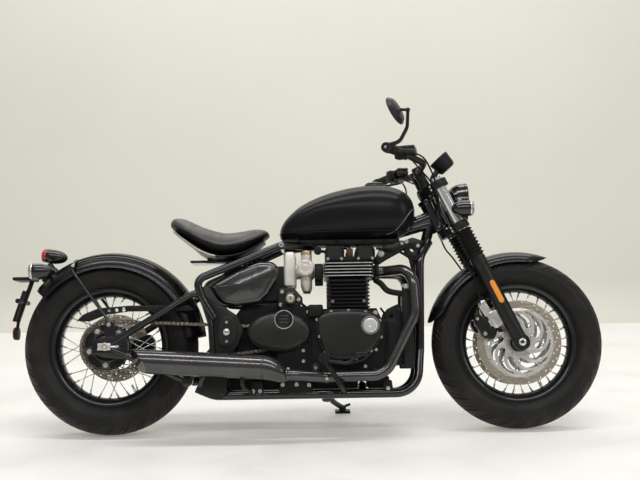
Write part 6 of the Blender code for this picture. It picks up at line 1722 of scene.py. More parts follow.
def crankcase():
    frame["nodes"]["crankcase"].data.materials.clear()
    frame["nodes"]["crankcase"].data.materials.append(Look.all["cast_black"].material)
    parts = []
    for side in (-1, 1):
        face = side * 0.1203
        for x, z, r in ((0.716, 0.300, 0.006), (0.716, 0.262, 0.006), (0.660, 0.235, 0.006),
            (0.700, 0.222, 0.006), (0.760, 0.222, 0.006), (0.940, 0.240, 0.006), (0.980, 0.300, 0.006),
            (1.000, 0.432, 0.0075), (0.756, 0.450, 0.006), (0.735, 0.440, 0.006)):
            if x > 0.990:
                parts.append((hex_bolt(r, 0.007, aimed((0, side, 0), (x - 0.020, face, z))),
                    "steel_bright"))
            else:
                parts.append((hex_bolt(r * 0.85, 0.005, aimed((0, side, 0), (x, face, z))), "steel_bright"))
        ridge = xz([(0.630, 0.214), (0.650, 0.196), (0.950, 0.196), (0.985, 0.228), (0.975, 0.236),
            (0.945, 0.206), (0.655, 0.206), (0.640, 0.222)], 0.004)
        parts.append((plate([ridge], *sorted((face, face + side * 0.006)), 0.001), "case_black"))
    parts.append((box((0.735, -0.150, 0.420), (0.790, -0.095, 0.465), 0.008, 3), "cast_black"))
    parts.append((lathe(soft([(0, 0), (0.017, 0), (0.017, 0.024), (0, 0.024)], 0.003), 32,
        aimed((0, -1, 0), (0.760, -0.1205, 0.237))), "case_black"))
    parts.append((screw(0.006, 0.005, aimed((0, -1, 0), (0.760, -0.1445, 0.237))), "steel_bright"))
    oil = drum(0.037, -0.004, 0.055, 0.004, 40, aimed((1, 0, -0.15), (1.014, 0, 0.290)))
    parts.append((oil, "satin_black"))
    parts.append((drum(0.0145, 0.060, 0.084, 0.002, 28,
        at(0.774, 0, 0.668) @ Matrix.Rotation(math.radians(90), 4, "X")), "rubber_black"))
    parts.append((hose([(0.774, -0.070, 0.668), (0.800, -0.066, 0.664), (0.822, -0.060, 0.648)], 0.0055),
        "rubber_black"))
    parts.append((hose([(0.774, -0.066, 0.668), (0.752, -0.060, 0.690), (0.705, -0.046, 0.700)], 0.0050),
        "rubber_black"))
    for low, high in ((0.446, 0.674), (0.706, 0.914), (0.948, 1.028)):
        parts.append((box((low, -0.086, 0.160), (high, 0.086, 0.204), 0.008, 3), "cast_black"))
        for rib in range(int((high - low) / 0.022)):
            x = low + 0.012 + 0.022 * rib
            parts.append((box((x, -0.089, 0.164), (x + 0.004, 0.089, 0.200), 0.001), "cast_black"))
    for side in (-1, 1):
        inner = xz([(0.462, 0.290), (0.462, 0.425), (0.496, 0.470), (0.640, 0.474), (0.640, 0.280),
            (0.500, 0.250)], 0.014)
        parts.append((plate([inner], *sorted((side * 0.070, side * 0.082)), 0.0015), "cast_black"))
        brow = xz([(0.984, 0.634), (1.000, 0.668), (1.090, 0.704), (1.104, 0.680), (1.036, 0.644),
            (0.998, 0.620)], 0.008)
        parts.append((plate([brow], *sorted((side * 0.070, side * 0.077)), 0.001), "satin_black"))
        parts.append((hex_bolt(0.0100, 0.008, aimed((0, side, 0), (1.008, side * 0.077, 0.653))),
            "steel_bright"))
        parts.append((screw(0.0066, 0.006, aimed((0, side, 0), (1.086, side * 0.077, 0.690))),
            "steel_bright"))
        shroud = xz([(1.004, 0.244), (1.002, 0.400), (1.022, 0.446), (1.074, 0.470), (1.082, 0.380),
            (1.082, 0.240)], 0.012)
        parts.append((plate([shroud, circle(1.040, 0.420, 0.007)], *sorted((side * 0.094, side * 0.100)),
            0.001), "plastic_black"))
        for x, z in ((1.022, 0.405), (1.066, 0.446), (1.024, 0.270), (1.064, 0.262)):
            parts.append((screw(0.0050, 0.004, aimed((0, side, 0), (x, side * 0.100, z))), "dark_steel"))
    parts.append((box((0.700, -0.052, 0.690), (1.080, 0.052, 0.714), 0.005, 3), "plastic_black"))
    for x in (0.760, 0.840, 0.945, 1.020):
        parts.append((box((x, -0.056, 0.688), (x + 0.014, 0.056, 0.712), 0.003), "rubber_black"))
    show("case_fittings", parts, "chassis")


def intake():
    parts = []
    back = 0.6602
    front = BARREL_X[0] - 0.0103
    for side in (-1, 1):
        y = side * 0.070
        rubber_end = soft([(0, 0.0), (0.0295, 0.0), (0.0295, 0.030), (0.0225, 0.033), (0.0225, 0.050),
            (0.026, 0.056), (0.026, 0.092), (0.0185, 0.097), (0.0185, front - back), (0, front - back)],
            0.0015, 2)
        parts.append((lathe(rubber_end, 40, at(back, y, 0.596) @ ALONG_X), "carb_alloy"))
        boot = soft([(0.0150, 0.101), (0.0360, 0.101), (0.0360, 0.132), (0.0150, 0.132)], 0.003, 2)
        parts.append((lathe(boot, 40, at(back, y, 0.584) @ ALONG_X, closed=True), "rubber_black"))
        for s, r in ((0.004, 0.0302), (0.024, 0.0302)):
            parts.append((ring(r - 0.003, r, s, s + 0.005, 0.0006, 40, at(back, y, 0.596) @ ALONG_X),
                "steel_bright"))
        parts.append((lathe(soft([(0, 0.555), (0.0190, 0.555), (0.0190, 0.660), (0.0150, 0.668),
            (0, 0.668)], 0.002), 32, at(0.731, y, 0)), "carb_alloy"))
        parts.append((lathe(soft([(0.0150, 0.654), (0.0205, 0.654), (0.0205, 0.666), (0.0150, 0.666)],
            0.001), 32, at(0.731, y, 0), closed=True), "brass"))
        face = at(0.728, 0, 0.602) @ Matrix.Rotation(math.radians(-90 * side), 4, "X")
        disc = soft([(0, 0.078), (0.0315, 0.078), (0.0315, 0.120), (0.029, 0.1265), (0.022, 0.1275),
            (0.012, 0.1265), (0.010, 0.1278), (0, 0.1278)], 0.0012, 2)
        parts.append((lathe(disc, 48, face), "carb_alloy"))
        for number in range(6):
            a = math.radians(60 * number)
            spot = face @ Vector((0.0248 * math.cos(a), 0.0248 * math.sin(a), 0.1268))
            parts.append((screw(0.0026, 0.0016, aimed((0, side, 0), spot), 12), "steel_bright"))
        bowl = soft([(0, 0.5182), (0.0145, 0.5190), (0.0208, 0.538), (0.0208, 0.575), (0, 0.575)], 0.004, 4)
        parts.append((lathe(bowl, 36, at(0.730, y, 0)), "carb_alloy"))
        parts.append((box((0.6480, y - 0.035, 0.5335), (0.691, y + 0.035, 0.664), 0.013, 5), "clamp_alloy"))
    parts.append((bar([(0.733, -0.07, 0.612), (0.733, 0.07, 0.612)], 0.008), "steel_bright"))
    show("throttle_body_pair", parts, "chassis", ["throttle_bodies"])


PANEL_OUTLINE = (
    (0.374, 0.546), (0.480, 0.602), (0.556, 0.628), (0.606, 0.628), (0.635, 0.602),
    (0.625, 0.562), (0.592, 0.506), (0.560, 0.474), (0.470, 0.464), (0.424, 0.468), (0.390, 0.505),
)


def side_panels():
    outline = xz(PANEL_OUTLINE, 0.045, 8)
    for side, name in ((-1, "right"), (1, "left")):
        parts = [(cover(outline, side * 0.0885, side * 0.1290, 0.020, 0.013, 10, 12), "cover_black")]
        show(f"side_cover_{name}", parts, "chassis", [f"side_panel_{name}"], smooth=60)
    parts = [(box((0.425, -0.0875, 0.480), (0.6595, 0.0875, 0.612), 0.010, 3), "plastic_black")]
    lock_plate = xz([(0.628, 0.530), (0.684, 0.530), (0.716, 0.493), (0.716, 0.470), (0.686, 0.452),
        (0.626, 0.456)], 0.012)
    parts.append((plate([lock_plate], -0.114, -0.104, 0.0015), "satin_black"))
    lock = at(0.672, 0, 0.490) @ Matrix.Rotation(math.radians(90), 4, "X")
    barrel = soft([(0, 0.080), (0.0235, 0.080), (0.0235, 0.1365), (0.020, 0.1395), (0.014, 0.1385),
        (0, 0.1385)], 0.0012, 2)
    parts.append((lathe(barrel, 48, lock), "gloss_black"))
    parts.append((ring(0.0125, 0.0165, 0.1386, 0.1397, 0.0004, 40, lock), "brass"))
    parts.append((lathe(soft([(0, 0.137), (0.0125, 0.137), (0.0125, 0.1398), (0.010, 0.1400), (0, 0.1400)],
        0.0006, 2), 40, lock), "steel_bright"))
    parts.append((box((0.6705, -0.1402, 0.483), (0.6735, -0.1392, 0.497), 0.0004), "rubber_black"))
    parts.append((box((0.645, -0.112, 0.4706), (0.700, -0.082, 0.500), 0.004), "cast_black"))
    for x, z in ((0.641, 0.515), (0.701, 0.486), (0.636, 0.468), (0.690, 0.464)):
        parts.append((screw(0.0072, 0.006, aimed((0, -1, 0), (x, -0.112, z))), "steel_bright"))
    show("airbox_and_lock", parts, "chassis", ["airbox"])


def exhaust():
    port = BARREL_X[1] + 0.014 + 0.0163
    for side, name in ((-1, "right"), (1, "left")):
        y = side * 0.200
        path = rounded(
            [(port, side * 0.060, 0.589), (1.022, side * 0.060, 0.589), (1.116, side * 0.150, 0.591),
             (1.124, side * 0.163, 0.430), (1.010, side * 0.169, 0.207), (0.790, side * 0.172, 0.204),
             (0.690, y, 0.2125), (0.630, y, 0.2125)], 0.080, 14
        )
        parts = [(sweep(path, 0.0189, 32), "exhaust_black")]
        front, back = Vector((0.577, y, 0.2415)), Vector((0.128, y, 0.2700))
        turn = aimed(back - front, front)
        length = (back - front).length
        r = 0.0433
        slant = math.tan(math.radians(28))
        turns = [2 * math.pi * i / 64 for i in range(64)]

        def can_ring(radius, s, cut=False):
            points = [turn @ Vector((radius * math.cos(a), radius * math.sin(a), s)) for a in turns]
            if cut:
                for point in points:
                    point.x = 0.1285 - (point.z - 0.270) * slant + side * (point.y - y) * 0.5
            return points

        can = [can_ring(r - 0.0012, 0.0), can_ring(r, 0.002), can_ring(r, 0.22), can_ring(r, 0.40)]
        can += [can_ring(r, length, True), can_ring(r - 0.0030, length, True), can_ring(r - 0.0032, 0.36)]
        parts.append((loft(can), "exhaust_black"))
        baffle = lathe([(0.012, 0.352), (0.0395, 0.352), (0.0395, 0.362), (0.016, 0.362), (0.016, 0.385),
            (0.012, 0.385)], 40, turn, closed=True)
        parts.append((baffle, "dark_steel"))
        rings = []
        for step in range(15):
            share = step / 14
            radius = r - (r - 0.0208) * (1 - math.sqrt(1 - share**2))
            centre = Vector((0.5755 + 0.0800 * share, y, 0.2415 + (0.2125 - 0.2415) * share**1.6))
            rings.append([centre + Vector((0, radius * math.cos(2 * math.pi * n / 64),
                radius * math.sin(2 * math.pi * n / 64))) for n in range(64)])
        parts.append((loft(rings), "exhaust_black"))
        parts.append((ring(r - 0.001, r + 0.0002, 0.0, 0.0035, 0.0003, 64, turn @ at(0, 0, 0.004)),
            "dark_steel"))
        parts.append((ring(0.018, 0.0208, 0, 0.010, 0.001, 48, aimed((1, 0, 0), (0.652, y, 0.2125))),
            "exhaust_black"))
        parts.append((ring(0.018, 0.0245, 0, 0.006, 0.001, 40,
            aimed((1, 0, 0), (port + 0.001, side * 0.060, 0.589))), "case_black"))
        parts.append((ring(0.0188, 0.0206, -0.008, 0.008, 0.001, 40,
            aimed((1, 0, 0), (0.800, side * 0.1718, 0.2042))), "exhaust_black"))
        parts.append((hex_bolt(0.0045, 0.005, aimed((0, side, -0.3), (0.800, side * 0.1915, 0.198))),
            "steel_bright"))
        show(f"exhaust_pipe_{name}", parts, "chassis", [f"exhaust_{name}"], smooth=45)


def radiator():
    face = 1.142 - 0.016 - 0.008
    parts = [(box((face - 0.031, -0.104, 0.238), (face - 0.001, 0.104, 0.518), 0.001, 1), "radiator_core")]
    for row in range(34):
        z = 0.242 + 0.0082 * row
        parts.append((box((face - 0.0015, -0.100, z), (face + 0.0005, 0.100, z + 0.0022), 0.0004, 1),
            "satin_black"))
    for y in (-0.110, 0.110):
        parts.append((box((face - 0.039, y - 0.0115, 0.229), (face + 0.0015, y + 0.0115, 0.527), 0.006, 3),
            "plastic_black"))
    for side in (-1, 1):
        parts.append((box((face - 0.004, side * 0.070 - 0.010, 0.440), (1.128, side * 0.070 + 0.010, 0.470),
            0.003), "satin_black"))
    parts.append((lathe(soft([(0, 0), (0.017, 0), (0.017, 0.014), (0.014, 0.017), (0, 0.017)], 0.001), 32,
        at(face - 0.020, -0.110, 0.520)), "alloy_turned"))
    parts.append((hose([(face - 0.030, -0.112, 0.500), (1.030, -0.112, 0.512), (1.005, -0.090, 0.540),
        (0.985, -0.070, 0.556)], 0.011, 16), "rubber_black"))
    parts.append((hose([(face - 0.036, 0.110, 0.260), (1.045, 0.112, 0.252), (1.012, 0.100, 0.270),
        (0.995, 0.080, 0.290)], 0.012, 16), "rubber_black"))
    show("radiator_unit", parts, "chassis", ["radiator"])


def footrests():
    for side, name, node in ((-1, "right_footrest_and_pedal", "brake_pedal"),
        (1, "left_footrest_and_pedal", "gear_pedal")):
        inner = 0.2148
        peg = [(0, inner), (0.0105, inner), (0.012, inner + 0.010)]
        for rib in range(9):
            s = inner + 0.014 + rib * 0.0088
            peg += [(0.0175, s), (0.0175, s + 0.0052), (0.0160, s + 0.0062), (0.0160, s + 0.0078)]
        peg += [(0.0195, inner + 0.096), (0.0195, inner + 0.1035), (0.017, inner + 0.104),
            (0, inner + 0.104)]
        place = at(0.790, 0, 0.270) @ ALONG_Y
        parts = [(lathe(peg, 32, place), "rubber_black")]
        arm = rounded([(0.795, 0.222, 0.262), (0.875, 0.222, 0.250), (0.913, 0.222, 0.284)], 0.03, 8)
        parts.append((sweep(arm, 0.0062, 16), "satin_black"))
        if side < 0:
            parts.append((box((0.899, 0.214, 0.276), (0.947, 0.262, 0.2895), 0.004, 3), "satin_black"))
            for n in range(4):
                parts.append((box((0.904 + n * 0.0105, 0.218, 0.289), (0.909 + n * 0.0105, 0.258, 0.2898),
                    0.0003), "rubber_black"))
        else:
            parts.append((lathe(soft([(0, 0), (0.0085, 0), (0.0085, 0.040), (0, 0.040)], 0.002), 24,
                at(0.922, 0.2185, 0.284) @ ALONG_Y), "rubber_black"))
            parts.append((box((0.905, 0.214, 0.278), (0.940, 0.222, 0.2895), 0.003), "satin_black"))
        parts.append((drum(0.012, 0.214, 0.2295, 0.001, 28, at(0.797, 0, 0.262) @ ALONG_Y), "satin_black"))
        if side < 0:
            parts = [(mirrored(shape), look) for shape, look in parts]
        show(name, parts, "chassis", [node])


def chain_guard():
    low = -ARM_Y + 0.0133
    rim_line = [(-0.112, 0.420), (-0.085, 0.445), (-0.031, 0.466), (0.080, 0.474), (0.300, 0.472),
        (0.322, 0.455), (0.300, 0.4520), (0.080, 0.4520), (0.000, 0.4420), (-0.062, 0.4180)]
    holes = [circle(x, 0.4585, 0.006, 20) for x in (0.010, 0.036, 0.062)]
    parts = [(plate([xz(rim_line, 0.006), *holes], low, low + 0.0028, 0.0006), "plastic_black")]
    top = [(-0.110, 0.421), (-0.085, 0.4445), (-0.031, 0.4655), (0.080, 0.4735), (0.300, 0.4715)]
    rows = []
    for x, z in top:
        rows.append([Vector((x, y, z + dz)) for y,
            dz in ((low + 0.001, 0), (low + 0.0138, 0), (low + 0.0138, -0.0024), (low + 0.001, -0.0024))])
    parts.append((loft(rows), "plastic_black"))
    for x in (0.062, 0.240):
        parts.append((screw(0.0055, 0.003, aimed((0, -1, 0), (x, low + 0.0003, 0.4625))), "steel_bright"))
    show("chain_guard_cover", parts, "chassis", ["chain_guard"])


# Steering
GRIP_END, GRIP_START = Vector((1.022, 0.376, 0.992)), Vector((1.078, 0.262, 0.997))
BAR_CLAMP = on_fork(-0.040, 0, UPPER_YOKE + 0.078)
LEG_OUTLINE = (
    (0.0, -0.0295), (0.016, -0.0295), (0.0225, -0.026), (0.0272, -0.016), (0.0272, 0.300), (0.0278, 0.310),
    (0.0296, 0.318), (0.0296, 0.346), (0.0270, 0.350), (0.0270, 0.352),
)


def fork_legs():
    for side, name in ((-1, "right"), (1, "left")):
        place = aimed(STEER_AXIS, on_fork(0, side * FORK_Y, 0))
        profile = list(LEG_OUTLINE) + [(0.0, 0.352)]
        parts = [(lathe(soft(profile, 0.002), 48, place), "satin_black")]
        gaiter = [(0, 0.350), (0.0265, 0.350)]
        folds = 8
        for fold in range(folds):
            s = 0.352 + fold * 0.110 / folds
            pitch = 0.110 / folds
            gaiter += [(0.0268, s + pitch * 0.08), (0.0318, s + pitch * 0.34), (0.0342, s + pitch * 0.5),
                (0.0318, s + pitch * 0.66), (0.0268, s + pitch * 0.92)]
        gaiter += [(0.0255, 0.4625), (0.0210, 0.463), (0, 0.463)]
        parts.append((lathe(gaiter, 48, place), "rubber_black"))
        parts.append((lathe([(0, 0.455), (0.0203, 0.455), (0.0203, 0.640), (0.0203, 0.678), (0.018, 0.6788),
            (0, 0.6788)], 48, place), "fork_chrome"))
        parts.append((lathe(soft([(0, 0.6785), (0.0150, 0.6785), (0.0150, 0.679), (0, 0.679)], 0.0002), 32,
            place), "dark_steel"))
        eye = at(*FRONT_AXLE) @ ALONG_Y
        lug = soft([(0.0103, side * FORK_Y - 0.0243), (0.0295, side * FORK_Y - 0.0243),
            (0.0295, side * FORK_Y + 0.0243), (0.0103, side * FORK_Y + 0.0243)], 0.003, 4)
        parts.append((lathe(lug, 48, eye, closed=True), "satin_black"))
        slot = FORK_FRAME @ at(0.003, side * (FORK_Y + 0.0262), 0.204)
        amber = [(0.0095 * math.cos(a),
            0.036 + 0.0095 * math.sin(a)) for a in (math.pi * n / 10 for n in range(11))]
        amber += [(0.0095 * math.cos(a),
            -0.036 + 0.0095 * math.sin(a)) for a in (math.pi + math.pi * n / 10 for n in range(11))]
        reach = 0.0012
        parts.append((moved(plate([inset(amber, -0.0014)], *sorted((-side * 0.003, side * reach)), 0.0003),
            slot), "satin_black"))
        parts.append((moved(plate([amber], *sorted((0.0, side * 0.0028)), 0.0005), slot), "lens_amber"))
        parts += caliper(side)
        show(f"fork_leg_{name}_full", parts, "steering", [f"fork_leg_{name}"])


CALIPER_OUTLINE = ((-0.075, 0.051), (-0.094, 0.010), (-0.128, 0.014), (-0.160, 0.060), (-0.166, 0.106),
    (-0.131, 0.131), (-0.095, 0.110))


def caliper(side):
    """A floating caliper on its bright carrier, with pistons and bolts."""
    y = side * 0.0615
    outline = [(FRONT_AXLE.x + x, FRONT_AXLE.z + z) for x, z in CALIPER_OUTLINE]
    body = xz(outline, 0.014, 4)
    parts = [
        (cover(inset(body, 0.002), y + side * 0.0075, y + side * 0.0285, 0.007, 0.001), "satin_black"),
        (cover(inset(body, 0.002), y - side * 0.0075, y - side * 0.0175, 0.004), "satin_black"),
    ]
    rim_side = xz([(FRONT_AXLE.x + x, FRONT_AXLE.z + z) for x,
        z in ((-0.134, 0.094), (-0.150, 0.060), (-0.160, 0.062), (-0.166, 0.104), (-0.133, 0.129),
        (-0.112, 0.120))], 0.006)
    parts.append((plate([rim_side], *sorted((y - side * 0.017, y + side * 0.026)), 0.001), "satin_black"))
    for x, z in ((-0.104, 0.048), (-0.126, 0.084)):
        spot = (FRONT_AXLE.x + x, y + side * 0.027, FRONT_AXLE.z + z)
        parts.append((lathe(soft([(0, 0), (0.014, 0), (0.014, 0.0055), (0.011, 0.0070), (0, 0.0070)],
            0.001), 32, aimed((0, side, 0), spot)), "satin_black"))
    for x, z, r in ((-0.134, 0.140, 0.0085), (-0.094, 0.067, 0.0085), (-0.128, 0.033, 0.007),
        (-0.155, 0.088, 0.006)):
        spot = (FRONT_AXLE.x + x, y + side * (0.0335 if r > 0.008 else 0.0285), FRONT_AXLE.z + z)
        parts.append((screw(r, 0.006, aimed((0, side, 0), spot)), "steel_bright"))
    carrier = xz([(FRONT_AXLE.x + x, FRONT_AXLE.z + z) for x,
        z in ((-0.146, 0.150), (-0.128, 0.158), (-0.108, 0.124), (-0.076, 0.076), (-0.078, 0.054),
        (-0.102, 0.052), (-0.120, 0.086), (-0.150, 0.134))], 0.006)
    parts.append((plate([carrier], *sorted((y + side * 0.0270, y + side * 0.0335)), 0.001), "steel_bright"))
    lug = box((-0.058, 0.0815, 0.087), (-0.014, 0.104, 0.148), 0.004, 3)
    lug.transform(FORK_FRAME)
    if side < 0:
        lug = mirrored(lug)
    parts.append((lug, "steel_bright"))
    return parts


def yokes():
    parts = []
    for level in (LOWER_YOKE, UPPER_YOKE):
        for side in (-1, 1):
            clamp = soft([(0.0208, -0.015), (0.033, -0.015), (0.033, 0.015), (0.0208, 0.015)], 0.003, 3)
            parts.append((lathe(clamp, 48, aimed(STEER_AXIS, on_fork(0, side * FORK_Y, level)),
                closed=True), "satin_black"))
            for up in (-0.007, 0.007):
                parts.append((screw(0.0050, 0.005,
                    aimed(-STEER_FORWARD, on_fork(-0.0325, side * (FORK_Y - 0.004), level + up))),
                    "steel_bright"))
        outline = [(0.017, -0.086), (0.017, 0.086), (-0.017, 0.092), (-FORK_OFFSET - 0.017, 0.030),
            (-FORK_OFFSET - 0.017, -0.030), (-0.017, -0.092)]
        points = [Vector((x, y, 0)) for x, y in outline]
        middle = (points[-1] + points[0]) / 2
        path = [(p.x, p.y, level - 0.0135) for p in rounded([middle, *points, middle], 0.012, 5)[:-1]]
        bridge = raised(path, (0, 0, 0.027))
        bmesh.ops.bevel(bridge,
            geom=[e for e in bridge.edges if abs(e.verts[0].co.z - e.verts[1].co.z) < 1e-6], offset=0.002,
            affect="EDGES", segments=2, profile=0.5)
        parts.append((moved(bridge, FORK_FRAME), "satin_black"))
    stem = soft([(0, LOWER_YOKE - 0.010), (0.0188, LOWER_YOKE - 0.010), (0.0188, UPPER_YOKE + 0.0145),
        (0.016, UPPER_YOKE + 0.0215), (0, UPPER_YOKE + 0.0215)], 0.002)
    parts.append((lathe(stem, 40, aimed(STEER_AXIS, on_fork(-FORK_OFFSET, 0, 0))), "satin_black"))
    parts.append((hex_bolt(0.0125, 0.006, aimed(STEER_AXIS, on_fork(-FORK_OFFSET, 0, UPPER_YOKE + 0.0155))),
        "steel_bright"))
    show("fork_clamps", parts, "steering", ["fork_yokes"])


def grip(side):
    """Grip, switches, pump, lever and bar end of one hand, as made for the left side."""
    way = (GRIP_END - GRIP_START).normalized()
    start = GRIP_START + way * 0.008
    turn = aimed(way, start)
    profile = [(0, 0), (0.0172, 0.0005)]
    for rib in range(17):
        s = 0.004 + rib * 0.0061
        profile += [(0.0172, s), (0.0172, s + 0.0036), (0.0162, s + 0.0042), (0.0162, s + 0.0055)]
    profile += [(0.0192, 0.1115), (0.0193, 0.118), (0.0165, 0.1185), (0, 0.1185)]
    parts = [(lathe(profile, 32, turn), "rubber_black")]
    parts.append((moved(box((-0.022, -0.024, -0.036), (0.026, 0.024, -0.0012), 0.008, 4), turn),
        "plastic_black"))
    for x, z, look in ((-0.012, -0.018, "plastic_black"),
        (0.006, -0.012, "lens_red" if side < 0 else "plastic_black")):
        knob = drum(0.0048, 0, 0.0032, 0.0008, 20,
            turn @ at(x, -0.0240, z) @ Matrix.Rotation(math.radians(90), 4, "X"))
        parts.append((knob, look))
    pump_at = GRIP_START + Vector((0.034, -0.034, 0.010))
    tilt = at(*pump_at) @ Matrix.Rotation(math.radians(12), 4, "Z")
    parts.append((box((-0.0215, -0.0335, -0.0135), (0.0215, 0.0335, 0.006), 0.004, 3, tilt), "satin_black"))
    parts.append((box((-0.0215, -0.0335, 0.0065), (0.0215, 0.0335, 0.0175), 0.004, 3, tilt), "gloss_black"))
    for y in (-0.026, 0.026):
        parts.append((screw(0.0028, 0.0014, tilt @ at(0.014, y, 0.0172), 12), "steel_bright"))
    lever = flowing([pump_at + Vector((0.008, 0.010, 0)), start + Vector((0.052, 0.020, -0.004)),
        start + Vector((0.040, 0.070, -0.010)), GRIP_END + Vector((0.038, 0.004, -0.010))], 10)
    radii = [0.0062 - 0.0016 * i / (len(lever) - 1) for i in range(len(lever))]
    parts.append((sweep(lever, radii, 14), "satin_black"))
    parts.append((lathe([(0, -0.006), (0.004, -0.0055), (0.0062, -0.002), (0.0062, 0.002), (0.004, 0.0055),
        (0, 0.006)], 20, at(*lever[-1])), "satin_black"))
    parts.append((bar([pump_at + Vector((-0.01, 0.010, 0)), start + way * 0.016 + Vector((0.018, 0, 0))],
        0.0115), "satin_black"))
    parts.append((ring(0.0125, 0.0185, -0.006, 0.006, 0.001, 32, aimed(way, GRIP_START - way * 0.036)),
        "satin_black"))
    if side < 0:
        parts = [(mirrored(shape), look) for shape, look in parts]
    return parts


def handlebar():
    half = [BAR_CLAMP, BAR_CLAMP + Vector((0, 0.085, 0)), BAR_CLAMP + Vector((0.012, 0.165, 0.016)),
        GRIP_START, GRIP_END]
    path = [Vector((p.x, -p.y, p.z)) for p in half[:0:-1]] + half
    parts = [(bar(path, 0.0124, 0.05, 28), "satin_black")]
    for side in (-1, 1):
        foot = on_fork(-0.040, side * 0.052, UPPER_YOKE + 0.0143)
        top = BAR_CLAMP + Vector((0, side * 0.052, 0)) + STEER_AXIS * 0.0215
        length = (top - foot).length
        riser = soft([(0, 0), (0.0200, 0), (0.0185, 0.012), (0.0172, 0.040), (0.0198, length - 0.040),
            (0.0198, length), (0, length)], 0.003, 4)
        parts.append((lathe(riser, 40, aimed(STEER_AXIS, foot)), "satin_black"))
        for forward in (-0.011, 0.011):
            spot = top + STEER_FORWARD * forward
            parts.append((screw(0.0045, 0.003, aimed(STEER_AXIS, spot - STEER_AXIS * 0.001)),
                "steel_bright"))
        parts += grip(side)
    show("handlebar_set", parts, "steering", ["handlebar"])


def mirrors():
    for side, name in ((-1, "right"), (1, "left")):
        turn = Matrix.Rotation(0.0 if side < 0 else math.radians(72), 4, "Y")
        way = (GRIP_END - GRIP_START).normalized()
        aim = Vector((0, 1, 0)).rotation_difference(way).to_matrix().to_4x4()
        place = Matrix.Translation(GRIP_END) @ aim @ turn
        clamp = soft([(0, 0.0006), (0.0172, 0.0006), (0.0175, 0.016), (0.015, 0.0198), (0.007, 0.0198),
            (0.006, 0.0185), (0, 0.0185)], 0.001, 2)
        parts = [(lathe(clamp, 40, place @ ALONG_Y), "satin_black"),
            (screw(0.0048, 0.0012, place @ at(0, 0.0184, 0) @ ALONG_Y, 24), "steel_bright")]
        arm = rounded([(0.004, 0.011, 0.006), (0.052, 0.013, 0.014), (0.086, 0.024, 0.060),
            (0.092, 0.030, 0.116)], 0.04, 10)
        radii = [0.0075 - 0.0018 * i / (len(arm) - 1) for i in range(len(arm))]
        parts.append((moved(sweep(arm, radii, 18), place), "satin_black"))
        ball = lathe([(0, -0.0085), (0.006, -0.006), (0.0085, 0), (0.006, 0.006), (0, 0.0085)], 24,
            place @ at(0.092, 0.030, 0.118))
        parts.append((ball, "satin_black"))
        parts.append((moved(sweep([(0.092, 0.030, 0.118), (0.066, 0.034, 0.121)], 0.0052, 16), place),
            "satin_black"))
        face = at(0.050, 0.038, 0.119) @ Matrix.Rotation(math.radians(66 if side < 0 else -6), 4, "Y")
        bowl = soft([(0, -0.0035), (0.0495, -0.0035), (0.0500, -0.0058), (0.0525, -0.0058),
            (0.0528, -0.002), (0.042, 0.0088), (0.020, 0.0132), (0, 0.0138)], 0.0012, 3)
        parts.append((lathe(bowl, 64, place @ face), "satin_black"))
        parts.append((lathe([(0, -0.0046), (0.0492, -0.0046), (0.0492, -0.0036), (0, -0.0036)], 64,
            place @ face), "mirror_glass"))
        if side < 0:
            parts = [(mirrored(shape), look) for shape, look in parts]
        show(f"bar_end_mirror_{name}", parts, "steering", [f"mirror_{name}"])


